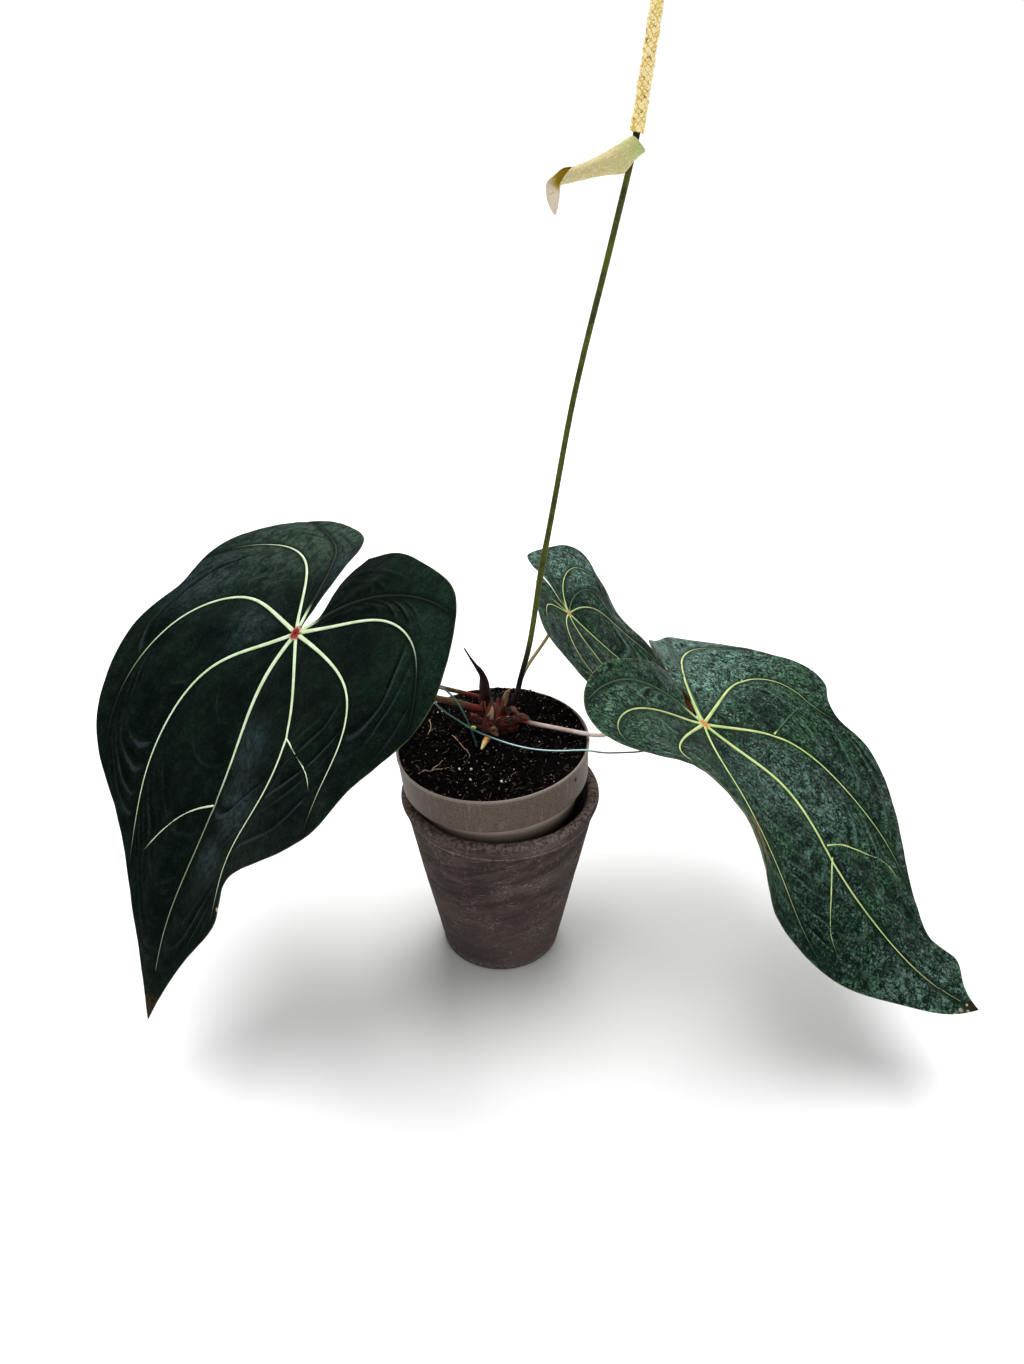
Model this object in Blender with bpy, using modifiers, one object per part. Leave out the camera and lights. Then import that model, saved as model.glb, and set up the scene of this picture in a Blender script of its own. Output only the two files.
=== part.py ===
"""Potted anthurium: three velvet leaves and a flower stalk in a nursery pot, inside a clay cover pot.

Metres, +Z up. The origin is the centre of the clay pot's flat base.
"""
import math
import random

import bmesh
import bpy
import numpy as np
from mathutils import Matrix, Vector

NAME = "potted_anthurium"
CLEARANCE = 0.0003
MERGE = 0.00002

# Clay cover pot
CLAY_RIM_RADIUS = 0.0630
CLAY_BASE_RADIUS = 0.0390
CLAY_HEIGHT = 0.1230
CLAY_WALL = 0.0075
CLAY_FLOOR = 0.0090
CLAY_LIP_HEIGHT = 0.0120
CLAY_LIP_PROUD = 0.0014
CLAY_STEPS = 48

# Nursery pot, in its own frame with the rim's centre at the origin
NURSERY_RIM_RADIUS = 0.0600
NURSERY_COLLAR_HEIGHT = 0.0242
NURSERY_COLLAR_FOOT_RADIUS = 0.0583
NURSERY_BODY_TOP_RADIUS = 0.05465
NURSERY_BOTTOM_RADIUS = 0.0382
NURSERY_HEIGHT = 0.1020
NURSERY_WALL = 0.0012
NURSERY_STEPS = 48
NURSERY_RIM_CENTRE = Vector((-0.0046, 0.0, 0.1570))
NURSERY_TILT_LEFT = math.radians(3.4)
NURSERY_TILT_FRONT = math.radians(2.2)
DRAIN_HOLES = 6
DRAIN_RADIUS = 0.0040
DRAIN_RING_RADIUS = 0.0240
COLLAR_HOLE_ANGLE = math.radians(-33.0)
COLLAR_HOLE_DEPTH = 0.0085
COLLAR_HOLE_SIZE = Vector((0.006, 0.0022, 0.0030))

# Soil, in the nursery pot's frame
SOIL_DROP_FRONT = 0.0022
SOIL_RISE_BACK = 0.0012
SOIL_MOUND = 0.0020
SOIL_MOUND_REACH = 0.0220
SOIL_LUMP = 0.0007
SOIL_STEPS = 36
SOIL_RINGS = 7

# Crown
CROWN_CENTRE = Vector((-0.0045, 0.0170, 0.1575))
CROWN_RADIUS = 0.0082
CROWN_RISE = 0.0175
CROWN_DEPTH = 0.0240
SPIKE_WIDTH = 0.0070
SPIKE_TIP = (-0.0216, 0.0180, 0.2123)

# Dry sheaths round the crown: direction in degrees, rise of the tip, reach and width
SHEATHS = ((196, 0.0055, 0.0155, 0.0070), (214, 0.0010, 0.0180, 0.0075), (233, 0.0045, 0.0145, 0.0065),
           (254, 0.0005, 0.0145, 0.0070), (276, 0.0050, 0.0125, 0.0065), (298, 0.0005, 0.0135, 0.0070),
           (322, 0.0045, 0.0125, 0.0060), (345, 0.0000, 0.0150, 0.0065), (20, 0.0060, 0.0115, 0.0060),
           (58, 0.0040, 0.0110, 0.0060), (95, 0.0090, 0.0095, 0.0055), (128, 0.0050, 0.0115, 0.0060),
           (160, 0.0080, 0.0110, 0.0055))

# Leaf blades
BLADE_THICKNESS = 0.0008
BLADE_BACK = -0.42
VEIN_RELIEF = 0.0006
QUILT_RELIEF = 0.0013
MARGIN_WAVE = 0.0012
MARGIN_WAVES = 9
BLADE_RINGS = 15
BLADE_RINGS_SMALL = 10
BLADE_BETWEEN_VEINS = (0.14, 0.5, 0.86)

# Stalks and wire
PETIOLE_LEFT_RADIUS = 0.0021
PETIOLE_RIGHT_RADIUS = 0.0014
PETIOLE_SMALL_RADIUS = 0.0011
OLD_STALK_RADIUS = 0.0014
PEDUNCLE_RADIUS = 0.0017
SOCKET_DEPTH = 0.0050
WIRE_RADIUS = 0.0006
TUBE_RESOLUTION = 2

# Flower
SPADIX_RADIUS = 0.0034
SPADIX_LENGTH = 0.1180
SPADIX_RINGS = 34
SPADIX_SIDES = 16
SPADIX_RELIEF = 0.00035
STIPE_RADIUS = 0.0016
SPATHE_THICKNESS = 0.0007
SPATHE_COLUMNS = 10
SPATHE_ROWS = 21

# Leaves, drawn flat: the junction with the stalk at (0, 0), the tip on +Y, right and left as
# seen from above with the tip at the bottom of the page
LEAVES = {
    "leaf_left": {
        "junction": (-0.1116, -0.0268, 0.2458),
        "length": 0.2290,
        "pitch": (-27, -45, -57, -47, -56),
        "heading": (217, 214, 224, 244, 257),
        "roll": (18, -1, -2, 12, 7),
        "fold": (-7, -1, 20, -12),
        "curl_right": (-0.30, -0.25, -0.45, -0.40),
        "curl_left": (0.55, 0.30, -0.30, -0.30),
        "midrib": ((-0.002, 0.029), (0.002, 0.080), (0.001, 0.133), (-0.002, 0.177)),
        "right": {
            "sinus": ((0.008, -0.014), (0.004, -0.035)),
            "outline": ((0.007, -0.057), (0.023, -0.067), (0.052, -0.071), (0.084, -0.067),
                        (0.103, -0.050), (0.115, -0.022), (0.113, 0.012), (0.106, 0.046),
                        (0.103, 0.068), (0.091, 0.093), (0.065, 0.122), (0.040, 0.149),
                        (0.038, 0.163), (0.023, 0.186), (0.010, 0.207), (0.0, 0.229)),
            "veins": (((0.009, -0.013), (0.024, -0.033), (0.045, -0.048), (0.070, -0.057),
                       (0.096, -0.060)),
                      ((0.024, -0.017), (0.057, -0.037), (0.086, -0.034), (0.103, -0.017),
                       (0.114, 0.006)),
                      ((0.035, -0.001), (0.064, 0.006), (0.080, 0.026), (0.088, 0.052),
                       (0.097, 0.086)),
                      ((0.021, 0.019), (0.043, 0.047), (0.049, 0.076), (0.043, 0.115),
                       (0.031, 0.176))),
        },
        "left": {
            "sinus": ((-0.001, -0.020), (-0.006, -0.042)),
            "outline": ((-0.009, -0.056), (-0.022, -0.066), (-0.052, -0.071), (-0.088, -0.064),
                        (-0.113, -0.046), (-0.122, -0.023), (-0.116, 0.006), (-0.110, 0.020),
                        (-0.113, 0.036), (-0.106, 0.072), (-0.090, 0.104), (-0.058, 0.136),
                        (-0.030, 0.171), (-0.012, 0.205), (0.0, 0.229)),
            "veins": (((-0.005, -0.015), (-0.018, -0.038), (-0.038, -0.052), (-0.062, -0.057),
                       (-0.095, -0.057)),
                      ((-0.017, -0.016), (-0.046, -0.033), (-0.080, -0.034), (-0.104, -0.020),
                       (-0.115, 0.002)),
                      ((-0.027, 0.0), (-0.062, 0.005), (-0.084, 0.027), (-0.091, 0.058),
                       (-0.078, 0.118)),
                      ((-0.017, 0.016), (-0.042, 0.044), (-0.050, 0.080), (-0.047, 0.125),
                       (-0.036, 0.162))),
        },
    },
    "leaf_right": {
        "junction": (0.1201, -0.0219, 0.1831),
        "length": 0.2140,
        "pitch": (-72, -32, -28, -40, 4),
        "heading": (-60, -33, -46, -47, -35),
        "roll": (-39, -14, -6, 11, 40),
        "fold": (-30, 6, -6, -25),
        "curl_right": (-0.20, 0.40, 0.0, -0.40),
        "curl_left": (-1.30, 0.40, 2.20, 0.20),
        "midrib": ((0.004, 0.027), (0.007, 0.054), (0.002, 0.082), (-0.003, 0.109),
                   (-0.001, 0.150)),
        "right": {
            "sinus": ((0.006, -0.008), (0.014, -0.020), (0.020, -0.032)),
            "outline": ((0.014, -0.045), (0.005, -0.054), (0.018, -0.058), (0.041, -0.057),
                        (0.070, -0.053), (0.101, -0.046), (0.114, -0.026), (0.113, 0.0),
                        (0.115, 0.022), (0.111, 0.033), (0.100, 0.039), (0.092, 0.049),
                        (0.095, 0.064), (0.091, 0.082), (0.076, 0.104), (0.055, 0.130),
                        (0.033, 0.161), (0.024, 0.178), (0.024, 0.190), (0.009, 0.203),
                        (0.0, 0.214)),
            "veins": (((0.010, -0.014), (0.022, -0.032), (0.040, -0.044), (0.060, -0.047),
                       (0.088, -0.048)),
                      ((0.018, -0.019), (0.044, -0.033), (0.070, -0.037), (0.097, -0.031),
                       (0.113, -0.010)),
                      ((0.038, -0.002), (0.067, 0.0), (0.084, 0.013), (0.088, 0.030),
                       (0.094, 0.056)),
                      ((0.025, 0.020), (0.042, 0.040), (0.048, 0.075), (0.048, 0.109),
                       (0.041, 0.151))),
        },
        "left": {
            "sinus": ((0.002, -0.010), (0.009, -0.022), (0.014, -0.034)),
            "outline": ((0.008, -0.044), (-0.011, -0.052), (-0.039, -0.060), (-0.064, -0.057),
                        (-0.088, -0.043), (-0.099, -0.028), (-0.103, -0.005), (-0.100, 0.020),
                        (-0.098, 0.045), (-0.102, 0.068), (-0.094, 0.088), (-0.073, 0.106),
                        (-0.054, 0.131), (-0.037, 0.161), (-0.019, 0.185), (-0.009, 0.203),
                        (0.0, 0.214)),
            "veins": (((-0.004, -0.014), (-0.016, -0.032), (-0.036, -0.046), (-0.060, -0.051),
                       (-0.080, -0.049)),
                      ((-0.011, -0.006), (-0.036, -0.023), (-0.064, -0.035), (-0.086, -0.031),
                       (-0.101, -0.018)),
                      ((-0.020, -0.002), (-0.056, -0.004), (-0.081, 0.003), (-0.090, 0.022),
                       (-0.098, 0.052)),
                      ((-0.015, 0.010), (-0.037, 0.036), (-0.048, 0.068), (-0.048, 0.098),
                       (-0.042, 0.154))),
        },
    },
    "leaf_small": {
        "junction": (0.0447, 0.0720, 0.2085),
        "length": 0.1290,
        "pitch": (-42, -46, -43, -43, -41),
        "heading": (-20, -12, 6, 8, 10),
        "roll": (-22, 4, 16, 26, 34),
        "fold": (10, 12, 6, 3),
        "curl_right": (0.30, -0.40, -0.80, -0.50),
        "curl_left": (0.0, -0.15, -0.15, -0.20),
        "midrib": ((0.001, 0.021), (0.0, 0.060), (0.0, 0.100)),
        "right": {
            "sinus": ((0.005, -0.011), (0.009, -0.025)),
            "outline": ((0.008, -0.038), (0.012, -0.045), (0.021, -0.045), (0.045, -0.038),
                        (0.059, -0.028), (0.062, -0.010), (0.058, 0.009), (0.059, 0.031),
                        (0.050, 0.049), (0.041, 0.064), (0.027, 0.089), (0.012, 0.112),
                        (0.0, 0.129)),
            "veins": (((0.005, -0.010), (0.013, -0.025), (0.025, -0.034), (0.043, -0.036)),
                      ((0.008, -0.009), (0.026, -0.017), (0.042, -0.014), (0.050, -0.002),
                       (0.060, 0.012)),
                      ((0.012, -0.003), (0.031, 0.002), (0.041, 0.016), (0.044, 0.035),
                       (0.048, 0.056)),
                      ((0.009, 0.003), (0.023, 0.015), (0.030, 0.039), (0.027, 0.068),
                       (0.021, 0.099))),
        },
        "left": {
            "sinus": ((0.0, -0.008), (0.003, -0.019)),
            "outline": ((0.0, -0.026), (-0.008, -0.029), (-0.026, -0.029), (-0.051, -0.025),
                        (-0.062, -0.014), (-0.060, 0.004), (-0.059, 0.023), (-0.055, 0.041),
                        (-0.046, 0.062), (-0.031, 0.087), (-0.014, 0.110), (0.0, 0.129)),
            "veins": (((-0.003, -0.009), (-0.010, -0.020), (-0.023, -0.026), (-0.043, -0.028)),
                      ((-0.008, -0.009), (-0.027, -0.018), (-0.044, -0.015), (-0.053, -0.005),
                       (-0.060, 0.008)),
                      ((-0.010, -0.001), (-0.027, 0.003), (-0.043, 0.018), (-0.047, 0.037),
                       (-0.048, 0.058)),
                      ((-0.007, 0.005), (-0.020, 0.024), (-0.031, 0.045), (-0.029, 0.070),
                       (-0.021, 0.101))),
        },
    },
}

# Routes of the stalks and of the wire, from the crown outwards
PETIOLE_LEFT_ROUTE = ((-0.0060, 0.0165, 0.1690), (-0.0115, 0.0140, 0.1712), (-0.0258, 0.0100, 0.1781),
                      (-0.0395, 0.0060, 0.1841), (-0.0700, -0.0060, 0.2010), (-0.0960, -0.0185, 0.2240))
OLD_STALK_ROUTE = ((-0.0055, 0.0200, 0.1725), (-0.0116, 0.0220, 0.1744), (-0.0251, 0.0220, 0.1788),
                   (-0.0378, 0.0220, 0.1824), (-0.0620, 0.0215, 0.1903), (-0.0860, 0.0190, 0.1990))
PETIOLE_RIGHT_ROUTE = ((-0.0010, 0.0115, 0.1672), (0.0062, 0.0100, 0.1671), (0.0193, 0.0060, 0.1660),
                       (0.0315, 0.0030, 0.1650), (0.0436, -0.0010, 0.1647), (0.0539, -0.0040, 0.1643),
                       (0.0644, -0.0040, 0.1640), (0.0720, 0.0010, 0.1660), (0.0830, 0.0150, 0.1710),
                       (0.0960, 0.0290, 0.1780), (0.1060, 0.0325, 0.1840), (0.1115, 0.0240, 0.1865),
                       (0.1140, 0.0100, 0.1855), (0.1157, -0.0060, 0.1820))
PETIOLE_SMALL_ROUTE = ((0.0010, 0.0210, 0.1705), (0.0075, 0.0250, 0.1766), (0.0138, 0.0310, 0.1857),
                       (0.0221, 0.0420, 0.1942), (0.0295, 0.0550, 0.1988), (0.0345, 0.0665, 0.2008))
PEDUNCLE_ROUTE = ((0.0035, 0.0165, 0.1640), (0.0062, 0.0160, 0.1684), (0.0124, 0.0160, 0.1903),
                  (0.0166, 0.0160, 0.2086), (0.0238, 0.0160, 0.2604), (0.0270, 0.0160, 0.2807),
                  (0.0326, 0.0160, 0.3164), (0.0388, 0.0160, 0.3564), (0.0461, 0.0160, 0.3936),
                  (0.0538, 0.0160, 0.4284), (0.0600, 0.0161, 0.4573), (0.0636, 0.0162, 0.4745),
                  (0.0654, 0.0164, 0.4838))
PEDUNCLE_SWELLING_HEIGHT = 0.2690
PEDUNCLE_SWELLING = 0.18
ROOT_TIP_ROUTE = ((-0.0070, 0.0035, 0.1520), (-0.0074, 0.0010, 0.1565), (-0.0080, -0.0030, 0.1598),
                  (-0.0092, -0.0080, 0.1606), (-0.0111, -0.0130, 0.1592))
ROOT_TIP_RADII = (0.0017, 0.0018, 0.0019, 0.0016, 0.0006)
WIRE_ROUTE = ((-0.0120, -0.0080, 0.1400), (-0.0140, -0.0053, 0.1550), (-0.0198, -0.0045, 0.1749),
              (-0.0227, -0.0045, 0.1821), (-0.0261, -0.0045, 0.1888), (-0.0307, -0.0045, 0.1947),
              (-0.0356, -0.0050, 0.1978), (-0.0395, -0.0062, 0.1955), (-0.0390, -0.0075, 0.1906),
              (-0.0355, -0.0085, 0.1860), (-0.0261, -0.0090, 0.1785), (-0.0166, -0.0100, 0.1720),
              (-0.0034, -0.0115, 0.1660), (0.0105, -0.0150, 0.1630), (0.0279, -0.0181, 0.1618),
              (0.0430, -0.0185, 0.1620), (0.0531, -0.0192, 0.1626), (0.0613, -0.0217, 0.1629),
              (0.0731, -0.0231, 0.1638), (0.0824, -0.0243, 0.1652), (0.0895, -0.0236, 0.1662))

# Flower, above the top of the peduncle
SPADIX_FOOT = Vector((0.0655, 0.0165, 0.4842))
SPADIX_DIRECTION = Vector((0.0125, 0.0070, 0.1000))

# Spathe: at each station its upper and lower edge as (x, z), y of both, its bulge, and the arc it
# covers, where 0 is the upper edge, 90 the front, 180 the lower edge and 270 the back
SPATHE_STATIONS = (
    ((0.0699, 0.4813), (0.0700, 0.4801), 0.0147, 0.0006, 10, 170),
    ((0.0672, 0.4843), (0.0677, 0.4786), 0.0144, 0.0022, 5, 175),
    ((0.0642, 0.4867), (0.0642, 0.4753), 0.0143, 0.0036, 0, 175),
    ((0.0609, 0.4854), (0.0606, 0.4713), 0.0143, 0.0045, -5, 180),
    ((0.0557, 0.4822), (0.0557, 0.4707), 0.0155, 0.0048, -35, 215),
    ((0.0498, 0.4789), (0.0496, 0.4699), 0.0160, 0.0044, -55, 240),
    ((0.0438, 0.4763), (0.0434, 0.4688), 0.0160, 0.0038, -45, 260),
    ((0.0377, 0.4743), (0.0369, 0.4673), 0.0160, 0.0034, 5, 318),
    ((0.0320, 0.4732), (0.0317, 0.4663), 0.0160, 0.0034, 100, 350),
    ((0.0282, 0.4705), (0.0306, 0.4659), 0.0158, 0.0028, 150, 360),
    ((0.0247, 0.4676), (0.0304, 0.4646), 0.0155, 0.0020, 175, 362),
    ((0.0238, 0.4647), (0.0303, 0.4621), 0.0152, 0.0015, 180, 360),
    ((0.0243, 0.4605), (0.0299, 0.4590), 0.0148, 0.0012, 180, 360),
    ((0.0259, 0.4562), (0.0294, 0.4557), 0.0144, 0.0008, 180, 360),
    ((0.0279, 0.4531), (0.0286, 0.4531), 0.0140, 0.0003, 180, 360))


def spline(knots, values, at):
    """Reads a natural cubic spline through values at knots; the ends hold past the last knot."""
    knots = np.asarray(knots, float)
    values = np.asarray(values, float)
    count = len(knots)
    step = np.diff(knots)
    system = np.eye(count)
    right = np.zeros_like(values)
    for i in range(1, count - 1):
        system[i, i - 1:i + 2] = step[i - 1], 2 * (step[i - 1] + step[i]), step[i]
        right[i] = 6 * ((values[i + 1] - values[i]) / step[i] - (values[i] - values[i - 1]) / step[i - 1])
    bend = np.linalg.solve(system, right)
    at = np.clip(np.asarray(at, float), knots[0], knots[-1])
    low = np.clip(np.searchsorted(knots, at, side="right") - 1, 0, count - 2)
    h = step[low]
    a = (knots[low + 1] - at) / h
    b = 1 - a
    if values.ndim == 2:
        a, b, h = a[:, None], b[:, None], h[:, None]
    return (a * values[low] + b * values[low + 1]
            + ((a ** 3 - a) * bend[low] + (b ** 3 - b) * bend[low + 1]) * h ** 2 / 6)


def path(points, fractions):
    """Reads a smooth curve through points at fractions of its length."""
    points = np.asarray(points, float)
    chords = np.concatenate([[0], np.cumsum(np.linalg.norm(np.diff(points, axis=0), axis=1))])
    fine = spline(chords, points, np.linspace(0, chords[-1], 400))
    run = np.concatenate([[0], np.cumsum(np.linalg.norm(np.diff(fine, axis=0), axis=1))])
    wanted = np.asarray(fractions, float) * run[-1]
    return np.stack([np.interp(wanted, run, fine[:, axis]) for axis in range(points.shape[1])], axis=-1)


def length_of(points):
    """Gives the length of the smooth curve through points."""
    fine = path(points, np.linspace(0, 1, 200))
    return float(np.linalg.norm(np.diff(fine, axis=0), axis=1).sum())


class Bend:
    """Carries a flat leaf onto its bent place: a turning spine with a folded, curled section."""

    SPINE = (BLADE_BACK, 0.0, 1 / 3, 2 / 3, 1.0)
    SECTION = (BLADE_BACK, 0.0, 0.45, 1.0)
    SOFTNESS = 0.02

    def __init__(self, leaf):
        self.length = leaf["length"]
        self.u = np.linspace(BLADE_BACK - 0.1, 1.1, 241)
        pitch = np.radians(spline(self.SPINE, leaf["pitch"], self.u))
        heading = np.radians(spline(self.SPINE, leaf["heading"], self.u))
        roll = np.radians(spline(self.SPINE, leaf["roll"], self.u))
        forward = np.stack([np.cos(pitch) * np.cos(heading), np.cos(pitch) * np.sin(heading),
                            np.sin(pitch)], axis=-1)
        step = (self.u[1] - self.u[0]) * self.length
        strides = (forward[1:] + forward[:-1]) / 2 * step
        spine = np.concatenate([np.zeros((1, 3)), np.cumsum(strides, axis=0)])
        start = [np.interp(0, self.u, spine[:, axis]) for axis in range(3)]
        self.spine = spine - start + np.asarray(leaf["junction"])
        side = np.cross((0, 0, 1), forward)
        side /= np.linalg.norm(side, axis=1)[:, None]
        up = np.cross(forward, side)
        cos_roll, sin_roll = np.cos(roll)[:, None], np.sin(roll)[:, None]
        self.side = cos_roll * side + sin_roll * up
        self.up = cos_roll * up - sin_roll * side
        self.fold = np.radians(spline(self.SECTION, leaf["fold"], self.u))
        self.curl_right = spline(self.SECTION, leaf["curl_right"], self.u) / self.length
        self.curl_left = spline(self.SECTION, leaf["curl_left"], self.u) / self.length

    def read(self, table, u):
        if table.ndim == 1:
            return np.interp(u, self.u, table)
        return np.stack([np.interp(u, self.u, table[:, axis]) for axis in range(3)], axis=-1)

    def surface(self, flat):
        """Gives the bent points of flat ones."""
        flat = np.asarray(flat, float)
        x = flat[:, 0]
        u = flat[:, 1] / self.length
        fold = self.read(self.fold, u)
        curl = np.where(x >= 0, self.read(self.curl_right, u), self.read(self.curl_left, u))
        curl = np.where(np.abs(curl) < 1e-4, 1e-4, curl)
        out = np.abs(x)
        soft = self.SOFTNESS * self.length
        rounded = np.sqrt(x ** 2 + soft ** 2) - soft
        across = (np.sin(fold + curl * out) - np.sin(fold)) / curl
        rise = (np.cos(fold) - np.cos(fold + curl * rounded)) / curl
        return (self.read(self.spine, u) + (np.sign(x) * across)[:, None] * self.read(self.side, u)
                + rise[:, None] * self.read(self.up, u))

    def normals(self, flat):
        """Gives the upper side's normals at flat points."""
        flat = np.asarray(flat, float)
        reach = 0.0004
        along = self.surface(flat + (0, reach)) - self.surface(flat - (0, reach))
        across = self.surface(flat + (reach, 0)) - self.surface(flat - (reach, 0))
        normal = np.cross(along, across)
        return normal / np.linalg.norm(normal, axis=1)[:, None]


def flat_spokes(leaf, between, rings):
    """Lays curves from the junction to the margin: along each vein, and some between them.

    Gives the spokes' flat points, and for each spoke its place between two veins, 0 to 1.
    """
    sides = []
    for name in ("right", "left"):
        side = leaf[name]
        rim = path(side["outline"], np.linspace(0, 1, 400))
        guides = [path(((0, 0),) + side["sinus"] + side["outline"][:1], rings)]
        places = [0.0]
        for vein in side["veins"]:
            nearest = int(np.argmin(np.linalg.norm(rim - vein[-1], axis=1)))
            guides.append(path(((0, 0),) + vein[:-1] + (tuple(rim[nearest]),), rings))
            places.append(nearest / 399)
        guides.append(path(((0, 0),) + leaf["midrib"] + side["outline"][-1:], rings))
        places.append(1.0)
        spokes, blends = [], []
        for i in range(len(guides) - 1):
            for blend in (0.0,) + between:
                place = places[i] + (places[i + 1] - places[i]) * blend
                spoke = guides[i] * (1 - blend) + guides[i + 1] * blend
                end = rim[int(round(place * 399))]
                spokes.append(spoke + (rings ** 2)[:, None] * (end - spoke[-1]))
                blends.append(blend)
        if name == "right":
            spokes.append(guides[-1])
            blends.append(0.0)
            sides = [spokes, blends]
        else:
            sides[0] += spokes[::-1]
            sides[1] += blends[::-1]
    return np.array(sides[0]), np.array(sides[1])


def new_collection(name):
    collection = bpy.data.collections.new(name)
    bpy.context.scene.collection.children.link(collection)
    return collection


def clear_scene():
    for item in list(bpy.data.objects):
        bpy.data.objects.remove(item, do_unlink=True)


def make_material(name, color, roughness):
    material = bpy.data.materials.new(name)
    material.use_nodes = True
    shader = material.node_tree.nodes["Principled BSDF"]
    shader.inputs["Base Color"].default_value = (*color, 1.0)
    shader.inputs["Roughness"].default_value = roughness
    shader.inputs["Metallic"].default_value = 0.0
    material.diffuse_color = (*color, 1.0)
    return material


def add_object(name, data, collection, material=None):
    item = bpy.data.objects.new(name, data)
    collection.objects.link(item)
    if material:
        data.materials.append(material)
    return item


def mesh_from(name, vertices, faces):
    mesh = bpy.data.meshes.new(name)
    mesh.from_pydata([tuple(v) for v in vertices], [], faces)
    mesh.update()
    return mesh


def add_modifier(item, name, kind, **settings):
    modifier = item.modifiers.new(name, kind)
    for key, value in settings.items():
        setattr(modifier, key, value)
    return modifier


def apply_modifiers(item):
    """Replaces an object's mesh by its evaluated one, with doubles merged."""
    bpy.context.view_layer.update()
    evaluated = item.evaluated_get(bpy.context.evaluated_depsgraph_get())
    mesh = bpy.data.meshes.new_from_object(evaluated)
    item.modifiers.clear()
    old = item.data
    item.data = mesh
    bpy.data.meshes.remove(old)
    merge_doubles(mesh)


def merge_doubles(mesh):
    work = bmesh.new()
    work.from_mesh(mesh)
    bmesh.ops.remove_doubles(work, verts=work.verts, dist=MERGE)
    bmesh.ops.recalc_face_normals(work, faces=work.faces)
    work.to_mesh(mesh)
    work.free()


def turned(name, profile, steps, collection, material):
    """Turns a profile of (radius, height) points round Z; it runs down the outer side."""
    mesh = mesh_from(name, [(radius, 0, height) for radius, height in profile], [])
    mesh.edges.add(len(profile) - 1)
    for i, edge in enumerate(mesh.edges):
        edge.vertices = (i, i + 1)
    item = add_object(name, mesh, collection, material)
    add_modifier(item, "Turn", "SCREW", axis="Z", steps=steps, render_steps=steps,
                 use_merge_vertices=True, merge_threshold=MERGE, use_smooth_shade=True)
    return item


def tube(name, points, radii, collection, material=None):
    """A round tube of the given radii on a smooth route, as a curve with filled caps."""
    curve = bpy.data.curves.new(name, "CURVE")
    curve.dimensions = "3D"
    curve.bevel_depth = 1.0
    curve.bevel_resolution = TUBE_RESOLUTION
    curve.use_fill_caps = True
    route = curve.splines.new("POLY")
    route.points.add(len(points) - 1)
    for point, place, radius in zip(route.points, points, radii):
        point.co = (*place, 1.0)
        point.radius = radius
    return add_object(name, curve, collection, material)


def tube_along(name, route, radius, spacing, collection, material=None, taper=None):
    """A tube on the smooth curve through a route, with taper as a function of the place on it."""
    count = max(6, int(length_of(route) / spacing))
    fractions = np.linspace(0, 1, count)
    points = path(route, fractions)
    radii = [radius * (taper(f) if taper else 1.0) for f in fractions]
    return tube(name, points, radii, collection, material)


def tube_to_mesh(item, collection):
    """Makes a closed mesh object of a tube, and removes the tube."""
    bpy.context.view_layer.update()
    evaluated = item.evaluated_get(bpy.context.evaluated_depsgraph_get())
    mesh = bpy.data.meshes.new_from_object(evaluated)
    merge_doubles(mesh)
    name = item.name
    place = item.matrix_world.copy()
    bpy.data.objects.remove(item, do_unlink=True)
    solid = add_object(name, mesh, collection)
    solid.matrix_world = place
    return solid


def loft(rings):
    """Vertices and faces of a closed body through rings of equal counts, with both ends capped."""
    sides = len(rings[0])
    vertices = [Vector(point) for ring in rings for point in ring]
    faces = []
    for i in range(len(rings) - 1):
        for j in range(sides):
            k = (j + 1) % sides
            faces.append((i * sides + j, i * sides + k, (i + 1) * sides + k, (i + 1) * sides + j))
    for start, flip in ((0, True), ((len(rings) - 1) * sides, False)):
        ring = [start + j for j in range(sides)]
        faces.append(tuple(reversed(ring)) if flip else tuple(ring))
    return vertices, faces


def make_clay_pot(collection):
    taper = (CLAY_RIM_RADIUS - CLAY_BASE_RADIUS) / CLAY_HEIGHT
    lean = math.sqrt(1 + taper ** 2)

    def outer(height):
        return CLAY_BASE_RADIUS + (taper - CLAY_LIP_PROUD / CLAY_HEIGHT) * height

    def inner(height):
        return CLAY_BASE_RADIUS + taper * height - CLAY_WALL * lean

    crest = CLAY_HEIGHT
    rim_mid = (CLAY_RIM_RADIUS + inner(crest)) / 2
    rim_half = (CLAY_RIM_RADIUS - inner(crest)) / 2
    profile = [(0.0, CLAY_FLOOR), (inner(CLAY_FLOOR) - 0.003, CLAY_FLOOR),
               (inner(CLAY_FLOOR) + 0.0004, CLAY_FLOOR + 0.003), (inner(crest * 0.5), crest * 0.5)]
    for degrees in (180, 135, 90, 45, 0):
        angle = math.radians(degrees)
        profile.append((rim_mid + rim_half * math.cos(angle), crest - rim_half * (1 - math.sin(angle))))
    lip_foot = crest - CLAY_LIP_HEIGHT
    profile += [(outer(lip_foot) + CLAY_LIP_PROUD, lip_foot + 0.0018),
                (outer(lip_foot) + CLAY_LIP_PROUD * 0.4, lip_foot),
                (outer(lip_foot), lip_foot - 0.0008), (outer(crest * 0.45), crest * 0.45),
                (outer(0.0016), 0.0016), (outer(0) - 0.0012, 0.0), (0.0, 0.0)]
    material = make_material("fired_clay", (0.095, 0.078, 0.070), 0.9)
    return turned("outer_pot", profile, CLAY_STEPS, collection, material)


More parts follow.
